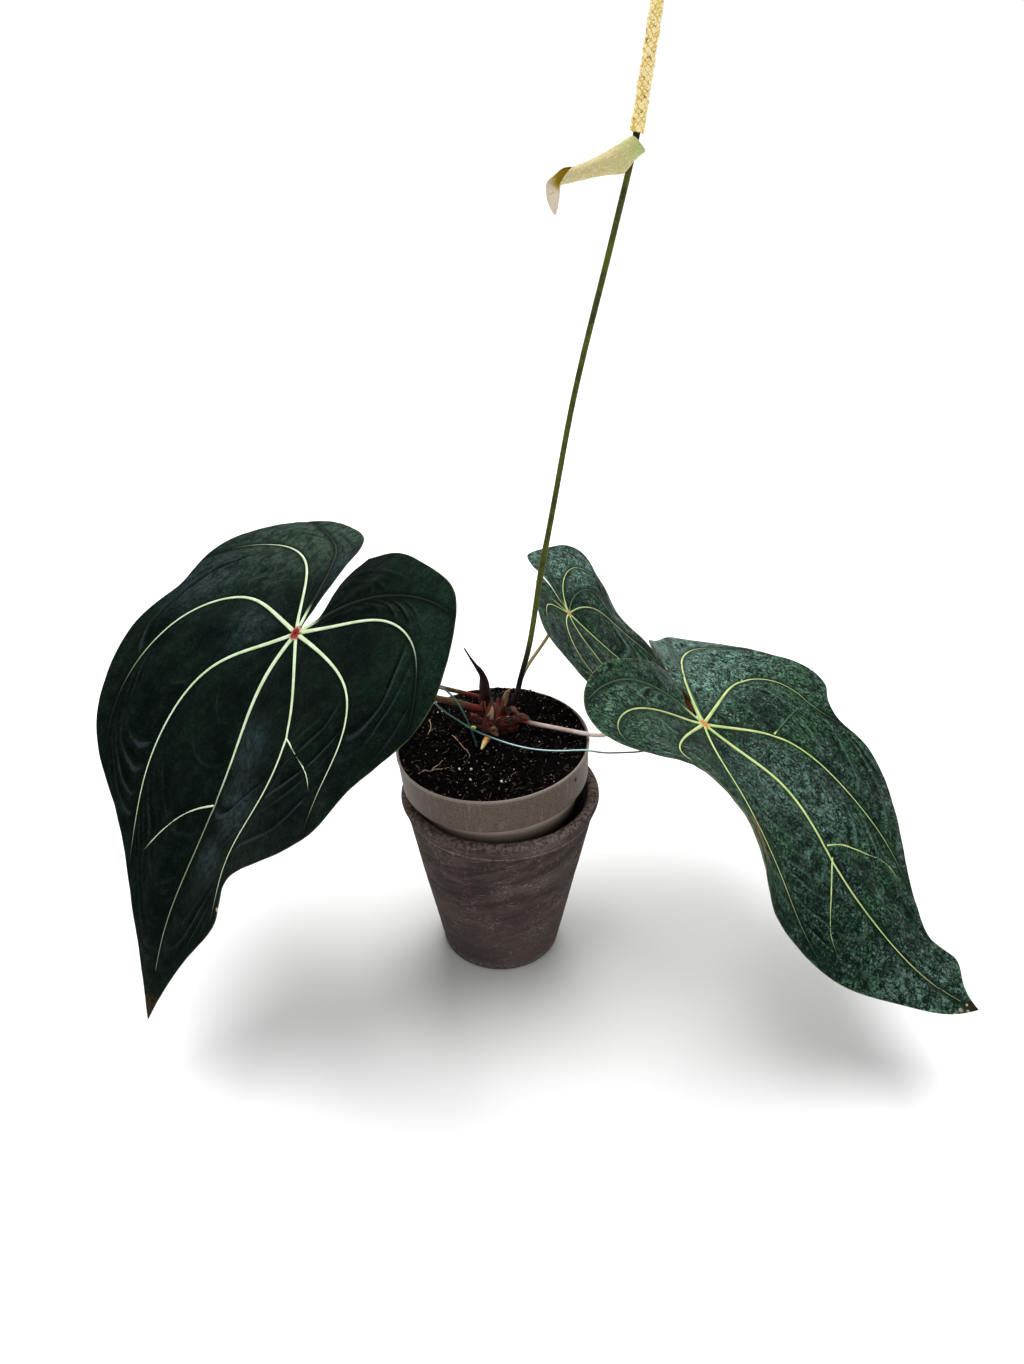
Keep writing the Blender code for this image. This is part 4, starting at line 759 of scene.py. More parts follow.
class Graph:
    """Adds nodes to a shader or geometry tree, and joins them by plain calls."""

    def __init__(self, tree):
        self.tree = tree

    def feed(self, socket, value):
        if isinstance(value, bpy.types.NodeSocket):
            self.tree.links.new(value, socket)
        elif value is not None:
            socket.default_value = value

    def add(self, kind, inputs=None, out=0, **settings):
        node = self.tree.nodes.new(kind)
        for key, value in settings.items():
            setattr(node, key, value)
        for key, value in (inputs or {}).items():
            self.feed(node.inputs[key], value)
        return node.outputs[out]

    def math(self, operation, a, b=None, clamp=False):
        return self.add("ShaderNodeMath", {0: a, 1: b}, operation=operation, use_clamp=clamp)

    def times(self, a, b, clamp=False):
        return self.math("MULTIPLY", a, b, clamp)

    def plus(self, a, b):
        return self.math("ADD", a, b)

    def minus(self, a, b):
        return self.math("SUBTRACT", a, b)

    def most(self, a, b, clamp=False):
        return self.math("MAXIMUM", a, b, clamp)

    def part(self, vector, axis):
        return self.add("ShaderNodeSeparateXYZ", {0: vector}, axis)

    def object_place(self):
        return self.add("ShaderNodeTexCoord", out="Object")

    def flat_place(self):
        return self.add("ShaderNodeUVMap", uv_map="flat")

    def vector(self, operation, a, b=None, out=0):
        return self.add("ShaderNodeVectorMath", {0: a, 1: b}, out, operation=operation)

    def scaled(self, vector, x, y, z):
        return self.vector("MULTIPLY", vector, (x, y, z))

    def noise(self, vector, scale, detail=2.0, roughness=0.5, distortion=0.0, out="Fac"):
        return self.add("ShaderNodeTexNoise", {"Vector": vector, "Scale": scale, "Detail": detail,
                                               "Roughness": roughness, "Distortion": distortion}, out)

    def cells(self, vector, scale, feature="F1"):
        return self.add("ShaderNodeTexVoronoi", {"Vector": vector, "Scale": scale}, "Distance",
                        feature=feature)

    def band(self, value, low, high, to_low=0.0, to_high=1.0):
        """Maps low to high softly onto two other values."""
        return self.add("ShaderNodeMapRange", {0: value, 1: low, 2: high, 3: to_low, 4: to_high},
                        interpolation_type="SMOOTHSTEP")

    def mix(self, share, a, b):
        return self.add("ShaderNodeMix", {0: share, 6: opaque(a), 7: opaque(b)}, 2, data_type="RGBA")

    def over(self, tone, color, value, low, high, most=1.0):
        """Lays a colour over a tone, softly from none where the value is low to its most where high."""
        return self.mix(self.band(value, low, high, 0.0, most), tone, color)

    def attribute(self, name):
        return self.add("ShaderNodeAttribute", out="Fac", attribute_name=name)

    def group(self, name, inputs):
        node = self.tree.nodes.new("ShaderNodeGroup")
        node.node_tree = bpy.data.node_groups[name]
        for key, value in inputs.items():
            self.feed(node.inputs[key], opaque(value))
        return node.outputs


def opaque(color):
    """Adds full opacity to a plain colour; sockets and numbers pass through."""
    if isinstance(color, (int, float, bpy.types.NodeSocket)) or len(color) == 4:
        return color
    return (*color, 1.0)


class Finish(Graph):
    """The graph of a new material, with its Principled shader's plain values set."""

    def __init__(self, name, roughness=0.6, **constants):
        self.material = bpy.data.materials.new(name)
        self.material.use_nodes = True
        super().__init__(self.material.node_tree)
        self.shader = self.tree.nodes["Principled BSDF"]
        self.shader.inputs["Roughness"].default_value = roughness
        for key, value in constants.items():
            self.shader.inputs[key.replace("_", " ")].default_value = opaque(value)

    def done(self, color, height=None, distance=0.0, roughness=None):
        """Feeds the shader its colour, bump and roughness, and gives the material."""
        self.feed(self.shader.inputs["Base Color"], color)
        self.feed(self.shader.inputs["Roughness"], roughness)
        if height is not None:
            bump = self.add("ShaderNodeBump", {"Height": height, "Distance": distance})
            self.feed(self.shader.inputs["Normal"], bump)
        return self.material


def shader_group(name, inputs, outputs, make):
    """Builds a shader node group once: inputs as {label: default}, outputs as {label: socket type}."""
    tree = bpy.data.node_groups.new(name, "ShaderNodeTree")
    for label, default in inputs.items():
        kind = "NodeSocketFloat" if isinstance(default, float) else (
            "NodeSocketColor" if len(default) == 4 else "NodeSocketVector")
        socket = tree.interface.new_socket(label, in_out="INPUT", socket_type=kind)
        socket.default_value = default
    for label, kind in outputs.items():
        tree.interface.new_socket(label, in_out="OUTPUT", socket_type=kind)
    graph = Graph(tree)
    source = tree.nodes.new("NodeGroupInput").outputs
    sink = tree.nodes.new("NodeGroupOutput").inputs
    for label, value in make(graph, source).items():
        graph.feed(sink[label], value)


def geometry_tree(name, inputs, make):
    """Builds a geometry node tree once: inputs as {label: (socket type, default)}."""
    tree = bpy.data.node_groups.new(name, "GeometryNodeTree")
    tree.interface.new_socket("Geometry", in_out="INPUT", socket_type="NodeSocketGeometry")
    tree.interface.new_socket("Geometry", in_out="OUTPUT", socket_type="NodeSocketGeometry")
    for label, (kind, default) in inputs.items():
        socket = tree.interface.new_socket(label, in_out="INPUT", socket_type=kind)
        if default is not None:
            socket.default_value = default
    tree.interface.new_socket("Material", in_out="INPUT", socket_type="NodeSocketMaterial")
    graph = Graph(tree)
    source = tree.nodes.new("NodeGroupInput").outputs
    sink = tree.nodes.new("NodeGroupOutput").inputs
    made = graph.add("GeometryNodeRealizeInstances", {0: make(graph, source)})
    finished = graph.add("GeometryNodeSetMaterial", {"Geometry": made, "Material": source["Material"]})
    graph.feed(sink[0], finished)


def grow(name, tree_name, mesh, material, **values):
    """Runs a geometry tree on a mesh and gives the result as a plain mesh object."""
    tree = bpy.data.node_groups[tree_name]
    holder = link(name + "_holder", mesh)
    modifier = holder.modifiers.new("Grow", "NODES")
    modifier.node_group = tree
    values["Material"] = material
    for socket in tree.interface.items_tree:
        key = socket.name.replace(" ", "_")
        if socket.in_out == "INPUT" and key in values:
            modifier[socket.identifier] = values[key]
    result = plain_mesh(holder)
    bpy.data.objects.remove(holder, do_unlink=True)
    result.name = name
    return link(name, result)


def make_shared_groups():
    """The shader groups that several finishes share."""
    def leaf_skin(graph, source):
        place = source["Vector"]
        shaken = graph.vector("SUBTRACT", graph.noise(place, 45.0, 3.0, out="Color"), (0.5, 0.5, 0.5))
        bent = graph.vector("ADD", place, graph.scaled(shaken, 0.018, 0.018, 0.0))
        patch = graph.band(graph.noise(bent, 30.0, 4.0, 0.66), 0.4, 0.62)
        # The pebble tops and the bright specks take painted sheen. The creases, cracks and dark specks take
        # painted shade, as in the small valleys of the skin.
        pebble = graph.band(graph.cells(bent, source["Pebbles"]), 0.75, 0.1)
        crinkle = graph.noise(graph.scaled(bent, 1.0, 0.62, 1.0), source["Pebbles"], 2.0, 0.55)
        crease = graph.band(graph.math("ABSOLUTE", graph.minus(crinkle, 0.5)), 0.075, 0.015)
        crease = graph.times(crease, graph.band(graph.noise(place, 62.0, 3.0, 0.6), 0.44, 0.58))
        crack = graph.cells(graph.scaled(bent, 1.0, 0.7, 1.0), source["Pebbles"], "DISTANCE_TO_EDGE")
        crack = graph.times(graph.band(crack, 0.13, 0.02), graph.band(
            graph.noise(place, 80.0, 2.0, 0.6), 0.4, 0.56, 0.15, 1.0))
        speck = graph.noise(place, 230.0, 3.0, 0.72)
        crease = graph.most(graph.most(crease, crack), graph.band(speck, 0.49, 0.39, 0.0, 0.95))
        weave = graph.noise(place, 520.0, 3.0, 0.7)
        tone = source["Base"]
        fleck = graph.times(graph.times(pebble, patch), graph.band(weave, 0.38, 0.62, 0.35, 1.0))
        fleck = graph.most(fleck, graph.times(graph.band(speck, 0.53, 0.66), patch))
        tone = graph.mix(graph.times(fleck, source["Mottle"]), tone, source["Bloom"])
        # The net's creases and the blade beside the main veins take painted shade. The raised side of each
        # net crease takes painted sheen.
        net = source["Net"]
        dark = graph.most(graph.times(crease, source["Creases"]), graph.band(net, 0.06, 0.6, 0.0, 0.85))
        dark = graph.most(dark, graph.band(source["Vein distance"], 4.5, 0.8, 0.0, 0.8), clamp=True)
        tone = graph.mix(dark, tone, graph.mix(0.85, source["Deep"], (0.001, 0.003, 0.0018)))
        tone = graph.over(tone, source["Bloom"], net, -0.04, -0.45, 0.5)
        edge = graph.band(source["Margin distance"], 0.75, 0.1)
        tone = graph.mix(graph.times(edge, source["Rim"]), tone, source["Edge"])
        height = graph.minus(graph.times(crinkle, 1.6), graph.times(crease, 0.55))
        height = graph.plus(graph.times(height, source["Creases"]), graph.times(weave, 0.2))
        rough = graph.band(patch, 0.0, 1.0, 0.6, 0.44)
        return {"Color": tone, "Height": height, "Roughness": rough}

    shader_group("Leaf skin", {"Vector": (0.0, 0.0, 0.0), "Vein distance": 5.0, "Margin distance": 5.0,
                               "Net": 0.0, "Pebbles": 120.0, "Rim": 0.8, "Creases": 0.5,
                               "Deep": (0.01, 0.02, 0.015, 1.0), "Base": (0.03, 0.05, 0.03, 1.0),
                               "Bloom": (0.1, 0.15, 0.13, 1.0), "Edge": (0.2, 0.25, 0.1, 1.0), "Mottle": 0.5},
                 {"Color": "NodeSocketColor", "Height": "NodeSocketFloat", "Roughness": "NodeSocketFloat"},
                 leaf_skin)

    def stalk_skin(graph, source):
        place = source["Vector"]
        cloud = graph.band(graph.noise(place, 70.0, 3.0, 0.6), 0.38, 0.64)
        tone = graph.mix(cloud, source["Color"], source["Second"])
        dots = graph.band(graph.cells(place, 900.0), 0.34, 0.14)
        tone = graph.mix(graph.times(dots, source["Specks"]), tone, source["Speck color"])
        height = graph.noise(place, 600.0, 3.0, 0.6)
        return {"Color": tone, "Height": height}

    shader_group("Stalk skin", {"Vector": (0.0, 0.0, 0.0), "Color": (0.2, 0.1, 0.06, 1.0),
                                "Second": (0.1, 0.06, 0.03, 1.0), "Speck color": (0.4, 0.3, 0.2, 1.0),
                                "Specks": 0.4},
                 {"Color": "NodeSocketColor", "Height": "NodeSocketFloat"}, stalk_skin)

    def dust(graph, source):
        place = source["Vector"]
        fine = graph.noise(place, source["Scale"], 5.0, 0.72)
        wide = graph.noise(graph.vector("ADD", place, (0.3, 0.1, 0.7)), graph.times(source["Scale"], 0.14),
                           3.0, 0.6)
        share = graph.times(graph.band(fine, 0.5, 0.72), graph.band(wide, 0.38, 0.66))
        share = graph.times(share, source["Amount"], clamp=True)
        return {"Color": graph.mix(share, source["Color"], source["Dust"]), "Grain": fine}

    shader_group("Dust", {"Vector": (0.0, 0.0, 0.0), "Color": (0.1, 0.1, 0.1, 1.0),
                          "Dust": (0.3, 0.3, 0.3, 1.0), "Scale": 300.0, "Amount": 0.5},
                 {"Color": "NodeSocketColor", "Grain": "NodeSocketFloat"}, dust)


def clay_material(pots):
    """Unglazed dark clay: wiping marks round the pot, pale scuffs, worn lip, small pits."""
    graph = Finish("unglazed_clay", 0.92, Specular_IOR_Level=0.12)
    place = graph.object_place()
    height = graph.part(place, "Z")
    bend = graph.noise(place, 14.0, 2.0, out="Color")
    leaning = graph.add("ShaderNodeVectorRotate", {"Vector": place, "Angle": math.radians(14)},
                        rotation_type="Y_AXIS")
    wiped = graph.vector("ADD", graph.scaled(leaning, 0.4, 0.4, 3.4), graph.scaled(bend, 0.04, 0.04, 0.1))
    streaks = graph.noise(wiped, 40.0, 8.0, 0.76)
    hairs = graph.noise(graph.scaled(leaning, 0.5, 0.5, 9.0), 160.0, 4.0, 0.7)
    broad = graph.noise(graph.scaled(place, 0.6, 0.6, 1.6), 26.0, 3.0, 0.55)
    tone = graph.over(pots.clay_dark, pots.clay_color, streaks, 0.44, 0.57)
    tone = graph.over(tone, pots.clay_scuff, hairs, 0.6, 0.7, 0.45)
    tone = graph.over(tone, NEAR_BLACK, hairs, 0.43, 0.34, 0.85)
    tone = graph.over(tone, pots.clay_pale, broad, 0.46, 0.7, 0.55)
    tone = graph.over(tone, pots.clay_pale, height, 0.085, 0.015, 0.42)
    dusted = graph.group("Dust", {"Vector": place, "Color": tone, "Dust": pots.clay_scuff, "Scale": 520.0,
                                  "Amount": 0.75})
    lip = graph.band(height, CLAY_HEIGHT - 0.004, CLAY_HEIGHT - 0.0004)
    ridge = graph.band(graph.math("ABSOLUTE", graph.minus(height, CLAY_HEIGHT - CLAY_LIP_HEIGHT + 0.0012)),
                       0.0014, 0.0002)
    foot = graph.band(height, 0.01, 0.001)
    worn = graph.times(graph.most(lip, graph.most(ridge, foot)),
                       graph.band(graph.noise(place, 420.0, 4.0, 0.7), 0.4, 0.6), clamp=True)
    tone = graph.mix(graph.times(worn, 0.6), dusted["Color"], pots.clay_scuff)
    pits = graph.band(graph.cells(place, 380.0), 0.2, 0.06)
    some = graph.band(graph.noise(place, 90.0, 2.0), 0.5, 0.62)
    pit = graph.times(pits, some)
    tone = graph.mix(graph.times(pit, 0.7), tone, NEAR_BLACK)
    relief = graph.plus(graph.times(streaks, 0.6), graph.times(dusted["Grain"], 0.6))
    relief = graph.minus(relief, graph.times(pit, 0.8))
    return graph.done(tone, relief, 0.0014)


def nursery_material(pots):
    """Matte taupe plastic: fine speckle, faint rubbed streaks, a painted highlight on the rim edge, painted
    light on the wall under the collar and a dust of peat.
    """
    graph = Finish("taupe_plastic", 0.5, Specular_IOR_Level=0.2)
    place = graph.object_place()
    grain = graph.noise(place, 1100.0, 3.0, 0.75)
    rub = graph.noise(graph.scaled(place, 1.0, 1.0, 0.12), 420.0, 3.0, 0.6)
    tone = graph.over(pots.plastic_dark, pots.plastic_color, grain, 0.42, 0.58)
    tone = graph.over(tone, pots.plastic_rub_and_rim_highlight, rub, 0.55, 0.72, 0.35)
    rim = graph.attribute("rim")
    # Painted highlight along the rim edge
    tone = graph.mix(graph.times(rim, 0.85), tone, pots.plastic_rub_and_rim_highlight)
    # Painted light on the wall under the collar, where the collar's shadow falls
    tone = graph.mix(graph.attribute("wall"), tone, pots.plastic_wall)
    dusted = graph.group("Dust", {"Vector": place, "Color": tone, "Dust": PEAT_DUST, "Scale": 700.0,
                                  "Amount": 0.55})
    return graph.done(dusted["Color"], grain, 0.00012, graph.band(grain, 0.3, 0.7, 0.48, 0.62))


def soil_material(soil, name="peat"):
    """Dark peat with reddish-brown fibre ends and a few dull grains."""
    graph = Finish(name, 0.9, Specular_IOR_Level=0.02)
    place = graph.object_place()
    tone = graph.over(soil.dark, soil.brown, graph.noise(place, 420.0, 5.0, 0.75), 0.48, 0.66)
    strands = graph.band(graph.noise(graph.scaled(place, 1.0, 0.25, 1.0), 900.0, 3.0, 0.6, 1.2), 0.6, 0.72)
    tone = graph.mix(graph.times(strands, 0.35), tone, soil.fibre)
    grit = graph.band(graph.cells(place, 700.0), 0.16, 0.05)
    tone = graph.mix(graph.times(grit, 0.25), tone, soil.grit)
    return graph.done(tone, graph.noise(place, 800.0, 5.0, 0.75), 0.0008)


def plain_bits_material(name, first, second, scale, roughness=0.8):
    """Small bits of two tones in soft patches, such as perlite grains or loose roots."""
    graph = Finish(name, roughness, Specular_IOR_Level=0.05)
    place = graph.object_place()
    cloud = graph.noise(place, scale, 4.0, 0.65)
    return graph.done(graph.over(first, second, cloud, 0.42, 0.64), cloud, 0.0003)


def sheath_material(crown):
    """Dry sheath: red-brown paper with lengthwise fibres, torn pale edges, and near-black patches of painted
    shade for the gaps between the sheaths.
    """
    graph = Finish("dry_sheath", 0.5, Specular_IOR_Level=0.12)
    place = graph.flat_place()
    whole = graph.object_place()
    fibres = graph.noise(graph.scaled(place, 34.0, 2.4, 0.0), 1.0, 4.0, 0.72)
    tone = graph.over(crown.sheath_dark, crown.sheath_red, fibres, 0.46, 0.58)
    # Near-black patches at random: painted shade standing in for the dark gaps between the sheaths
    shade_patch = graph.noise(whole, 160.0, 3.0, 0.6)
    tone = graph.over(tone, (0.004, 0.002, 0.002), shade_patch, 0.44, 0.56, 0.88)
    edge = graph.times(graph.attribute("edge"), graph.band(graph.noise(whole, 500.0, 3.0), 0.54, 0.64))
    threads = graph.band(graph.noise(graph.scaled(place, 60.0, 3.0, 0.0), 1.0, 3.0), 0.6, 0.66)
    share = graph.most(edge, graph.times(threads, 0.65), clamp=True)
    pale = graph.attribute("pale")
    share = graph.most(graph.times(share, 0.7), graph.times(
        graph.band(pale, 0.15, 1.0), graph.band(fibres, 0.36, 0.6, 0.3, 1.0)), clamp=True)
    tone = graph.mix(share, tone, crown.sheath_pale)
    tone = graph.over(tone, (0.006, 0.003, 0.003), pale, -0.2, -1.0, 0.92)
    return graph.done(tone, fibres, 0.0009)


def stalk_material(name, color, second, specks, amount, base=None, roughness=0.5, knee=None):
    """Skin of a stalk, with other tones at its foot, and from its knee to its leaf, on request."""
    graph = Finish(name, roughness, Specular_IOR_Level=0.07)
    skin = graph.group("Stalk skin", {"Vector": graph.object_place(), "Color": color, "Second": second,
                                      "Speck color": specks, "Specks": amount})
    bands = []
    if base:
        foot_tone, reach = base
        bands.append((reach, reach * 0.55, foot_tone))
    if knee:
        knee_tone, start = knee
        bands += [(start, start + 0.06, knee_tone), (start + 0.2, start + 0.27, KNEE_RED),
                  (start + 0.28, start + 0.33, KNEE_BLACK)]
    tone = skin["Color"]
    for low, high, color in bands:
        tone = graph.over(tone, color, graph.attribute("along"), low, high)
    return graph.done(tone, skin["Height"], 0.00025)


def blade_base(graph, place, deep, lit, spots):
    """Cloudy tone of a blade with its wide patches of painted highlight and painted shade, under the fine
    detail.
    """
    cloud = graph.noise(place, 14.0, 4.0, 0.62)
    tone = graph.over(deep, lit, cloud, 0.36, 0.66)
    return add_spots(graph, tone, place, [spot for spot in spots if spot[2] in SPOT_SHARES])


def add_spots(graph, tone, place, spots):
    """Paints the leaf's own small spots, or wide soft patches of painted highlight and painted shade, each
    round a place on the flat drawing.
    """
    shaken = graph.vector("SUBTRACT", graph.noise(place, 150.0, 2.0, out="Color"), (0.5, 0.5, 0.5))
    streak = graph.noise(graph.scaled(place, 1.0, 0.6, 1.0), 60.0, 4.0, 0.66)
    streak = graph.band(streak, 0.38, 0.6, 0.3, 1.0)
    for (x, y), radius, kind in sorted(spots, key=lambda spot: -spot[1]):
        centre = (x / UV_SPAN + UV_START[0], y / UV_SPAN + UV_START[1], 0.0)
        reach = radius / UV_SPAN
        if kind in SPOT_SHARES:
            share = graph.band(graph.vector("DISTANCE", place, centre, out="Value"), reach, 0.1 * reach,
                               0.0, SPOT_SHARES[kind])
            share = graph.times(share, streak)
        else:
            ragged = graph.vector("ADD", place, graph.scaled(shaken, reach, reach, 0.0))
            share = graph.band(graph.vector("DISTANCE", ragged, centre, out="Value"), reach, 0.45 * reach)
        tone = graph.mix(share, tone, SPOT_TONES[kind])
    return tone


def blade_material(name, leaves, dark, spots):
    """Velvet upper side of a blade, with painted sheen, painted highlights and painted shade over its own
    tones.
    """
    graph = Finish(name, 0.55, Specular_IOR_Level=0.03 if dark else 0.1, Specular_Tint=(0.45, 0.8, 0.72))
    place = graph.flat_place()
    deep, lit, painted_sheen = ((leaves.dark_deep, leaves.dark_lit, leaves.dark_bloom) if dark
                        else (leaves.green_deep, leaves.green_lit, leaves.green_bloom))
    skin = graph.group("Leaf skin", {
        "Vector": place, "Vein distance": graph.attribute("vein"),
        "Margin distance": graph.attribute("margin"), "Net": graph.attribute("net"),
        "Pebbles": 80.0 if dark else 105.0, "Creases": 0.55 if dark else 1.0,
        "Mottle": 0.2 if dark else 0.85, "Rim": 0.3 if dark else 0.75, "Edge": leaves.edge,
        "Deep": deep, "Base": blade_base(graph, place, deep, lit, spots), "Bloom": painted_sheen})
    small = [spot for spot in spots if spot[2] not in SPOT_SHARES]
    tone = add_spots(graph, skin["Color"], place, small)
    return graph.done(tone, skin["Height"], 0.0009 if dark else 0.0022, skin["Roughness"])


def underside_material(name, leaves, spots):
    """Matte paler underside of a blade."""
    graph = Finish(name, 0.6, Specular_IOR_Level=0.25)
    place = graph.flat_place()
    deep, lit = leaves.under_deep, leaves.under_lit
    skin = graph.group("Leaf skin", {
        "Vector": place, "Vein distance": 6.0, "Margin distance": graph.attribute("margin"), "Deep": deep,
        "Base": blade_base(graph, place, deep, lit, ()), "Bloom": lit, "Edge": leaves.edge, "Mottle": 0.3})
    return graph.done(add_spots(graph, skin["Color"], place, spots[1:]), skin["Height"], 0.0008)


def vein_material(name, vein_tone, young_tone, far_tone, spots):
    """Main veins: pale where thick, fading into the blade where they thin out."""
    graph = Finish(name, 0.5, Specular_IOR_Level=0.12)
    place = graph.flat_place()
    cloud = graph.noise(place, 40.0, 3.0, 0.6)
    tone = graph.over(vein_tone, young_tone, cloud, 0.35, 0.65)
    tone = graph.mix(graph.attribute("fade"), tone, far_tone)
    return graph.done(add_spots(graph, tone, place, spots), graph.noise(place, 400.0, 2.0), 0.0002)


def spathe_material(flower, inner):
    """Spathe: green by the stalk, turning pink-beige to its tip, with fine lengthwise veins."""
    graph = Finish("spathe_inner" if inner else "spathe_outer", 0.5, Specular_IOR_Level=0.3)
    place = graph.flat_place()
    along = graph.part(place, "X")
    lines = graph.noise(graph.scaled(place, 1.5, 34.0, 0.0), 1.0, 3.0, 0.6)
    cloud = graph.noise(graph.object_place(), 130.0, 3.0, 0.6)
    turned = graph.plus(along, graph.times(graph.minus(cloud, 0.5), 0.3))
    if inner:
        tone = graph.over(flower.spathe_inner, flower.spathe_pink, turned, 0.66, 0.78)
        across = graph.part(place, "Y")
        rim = graph.band(graph.math("ABSOLUTE", graph.minus(across, 0.5)), 0.4, 0.47)
        rim = graph.times(rim, graph.band(along, 0.78, 0.7))
        tone = graph.mix(rim, tone, (0.045, 0.01, 0.005))
    else:
        tone = graph.over(flower.spathe_green, flower.spathe_beige, turned, 0.04, 0.34)
        tone = graph.over(tone, flower.spathe_pink, turned, 0.45, 0.78)
    tone = graph.over(tone, flower.spathe_olive, lines, 0.55, 0.7, 0.28)
    fine = graph.noise(graph.object_place(), 900.0, 3.0, 0.7)
    tone = graph.over(tone, flower.spathe_pink, fine, 0.54, 0.66, 0.12 if inner else 0.55)
    tone = graph.over(tone, flower.spathe_olive, fine, 0.46, 0.34, 0.5)
    return graph.done(tone, lines, 0.0003)


def spadix_material(flower):
    """Spadix: golden florets with pale tops, and orange-brown flecks on its left side."""
    graph = Finish("spadix_florets", 0.6, Specular_IOR_Level=0.3)
    cloud = graph.noise(graph.object_place(), 300.0, 3.0, 0.6)
    tone = graph.over(flower.spadix_gold, flower.spadix_yellow, cloud, 0.36, 0.64)
    fleck = graph.band(graph.noise(graph.object_place(), 520.0, 2.0, 0.6), 0.6, 0.68, 0.0, 0.85)
    sunward = graph.part(graph.add("ShaderNodeNewGeometry", out="Normal"), "X")
    fleck = graph.times(fleck, graph.band(sunward, 0.45, -0.1))
    top = graph.attribute("top")
    tone = graph.mix(graph.times(top, 0.85), tone, flower.spadix_pale)
    tone = graph.mix(fleck, tone, (0.3, 0.115, 0.012))
    return graph.done(tone, cloud, 0.0002)


def wire_material():
    """Glossy green plastic coat, with a painted highlight on its upper side over the soil, painted shade
    towards its left end and painted shade nearly black past its far end.
    """
    graph = Finish("green_wire_coat", 0.24, Specular_IOR_Level=0.6, Coat_Weight=0.8, Coat_Roughness=0.12)
    cloud = graph.noise(graph.object_place(), 220.0, 3.0, 0.6)
    tone = graph.over((0.008, 0.07, 0.06), (0.02, 0.12, 0.11), cloud, 0.35, 0.65)
    # Painted shade towards the left end, a painted highlight on the upper side over the soil, and painted
    # shade nearly black past the far end
    across = graph.part(graph.object_place(), "X")
    tone = graph.over(tone, (0.004, 0.04, 0.028), across, -0.012, -0.03)
    upward = graph.part(graph.add("ShaderNodeNewGeometry", out="Normal"), "Z")
    shine = graph.times(graph.band(across, -0.014, 0.012), graph.band(upward, 0.25, 0.8))
    tone = graph.mix(shine, tone, (0.42, 0.66, 0.68))
    tone = graph.over(tone, (0.003, 0.007, 0.007), across, 0.048, 0.062)
    return graph.done(tone, roughness=graph.band(cloud, 0.3, 0.7, 0.26, 0.42))


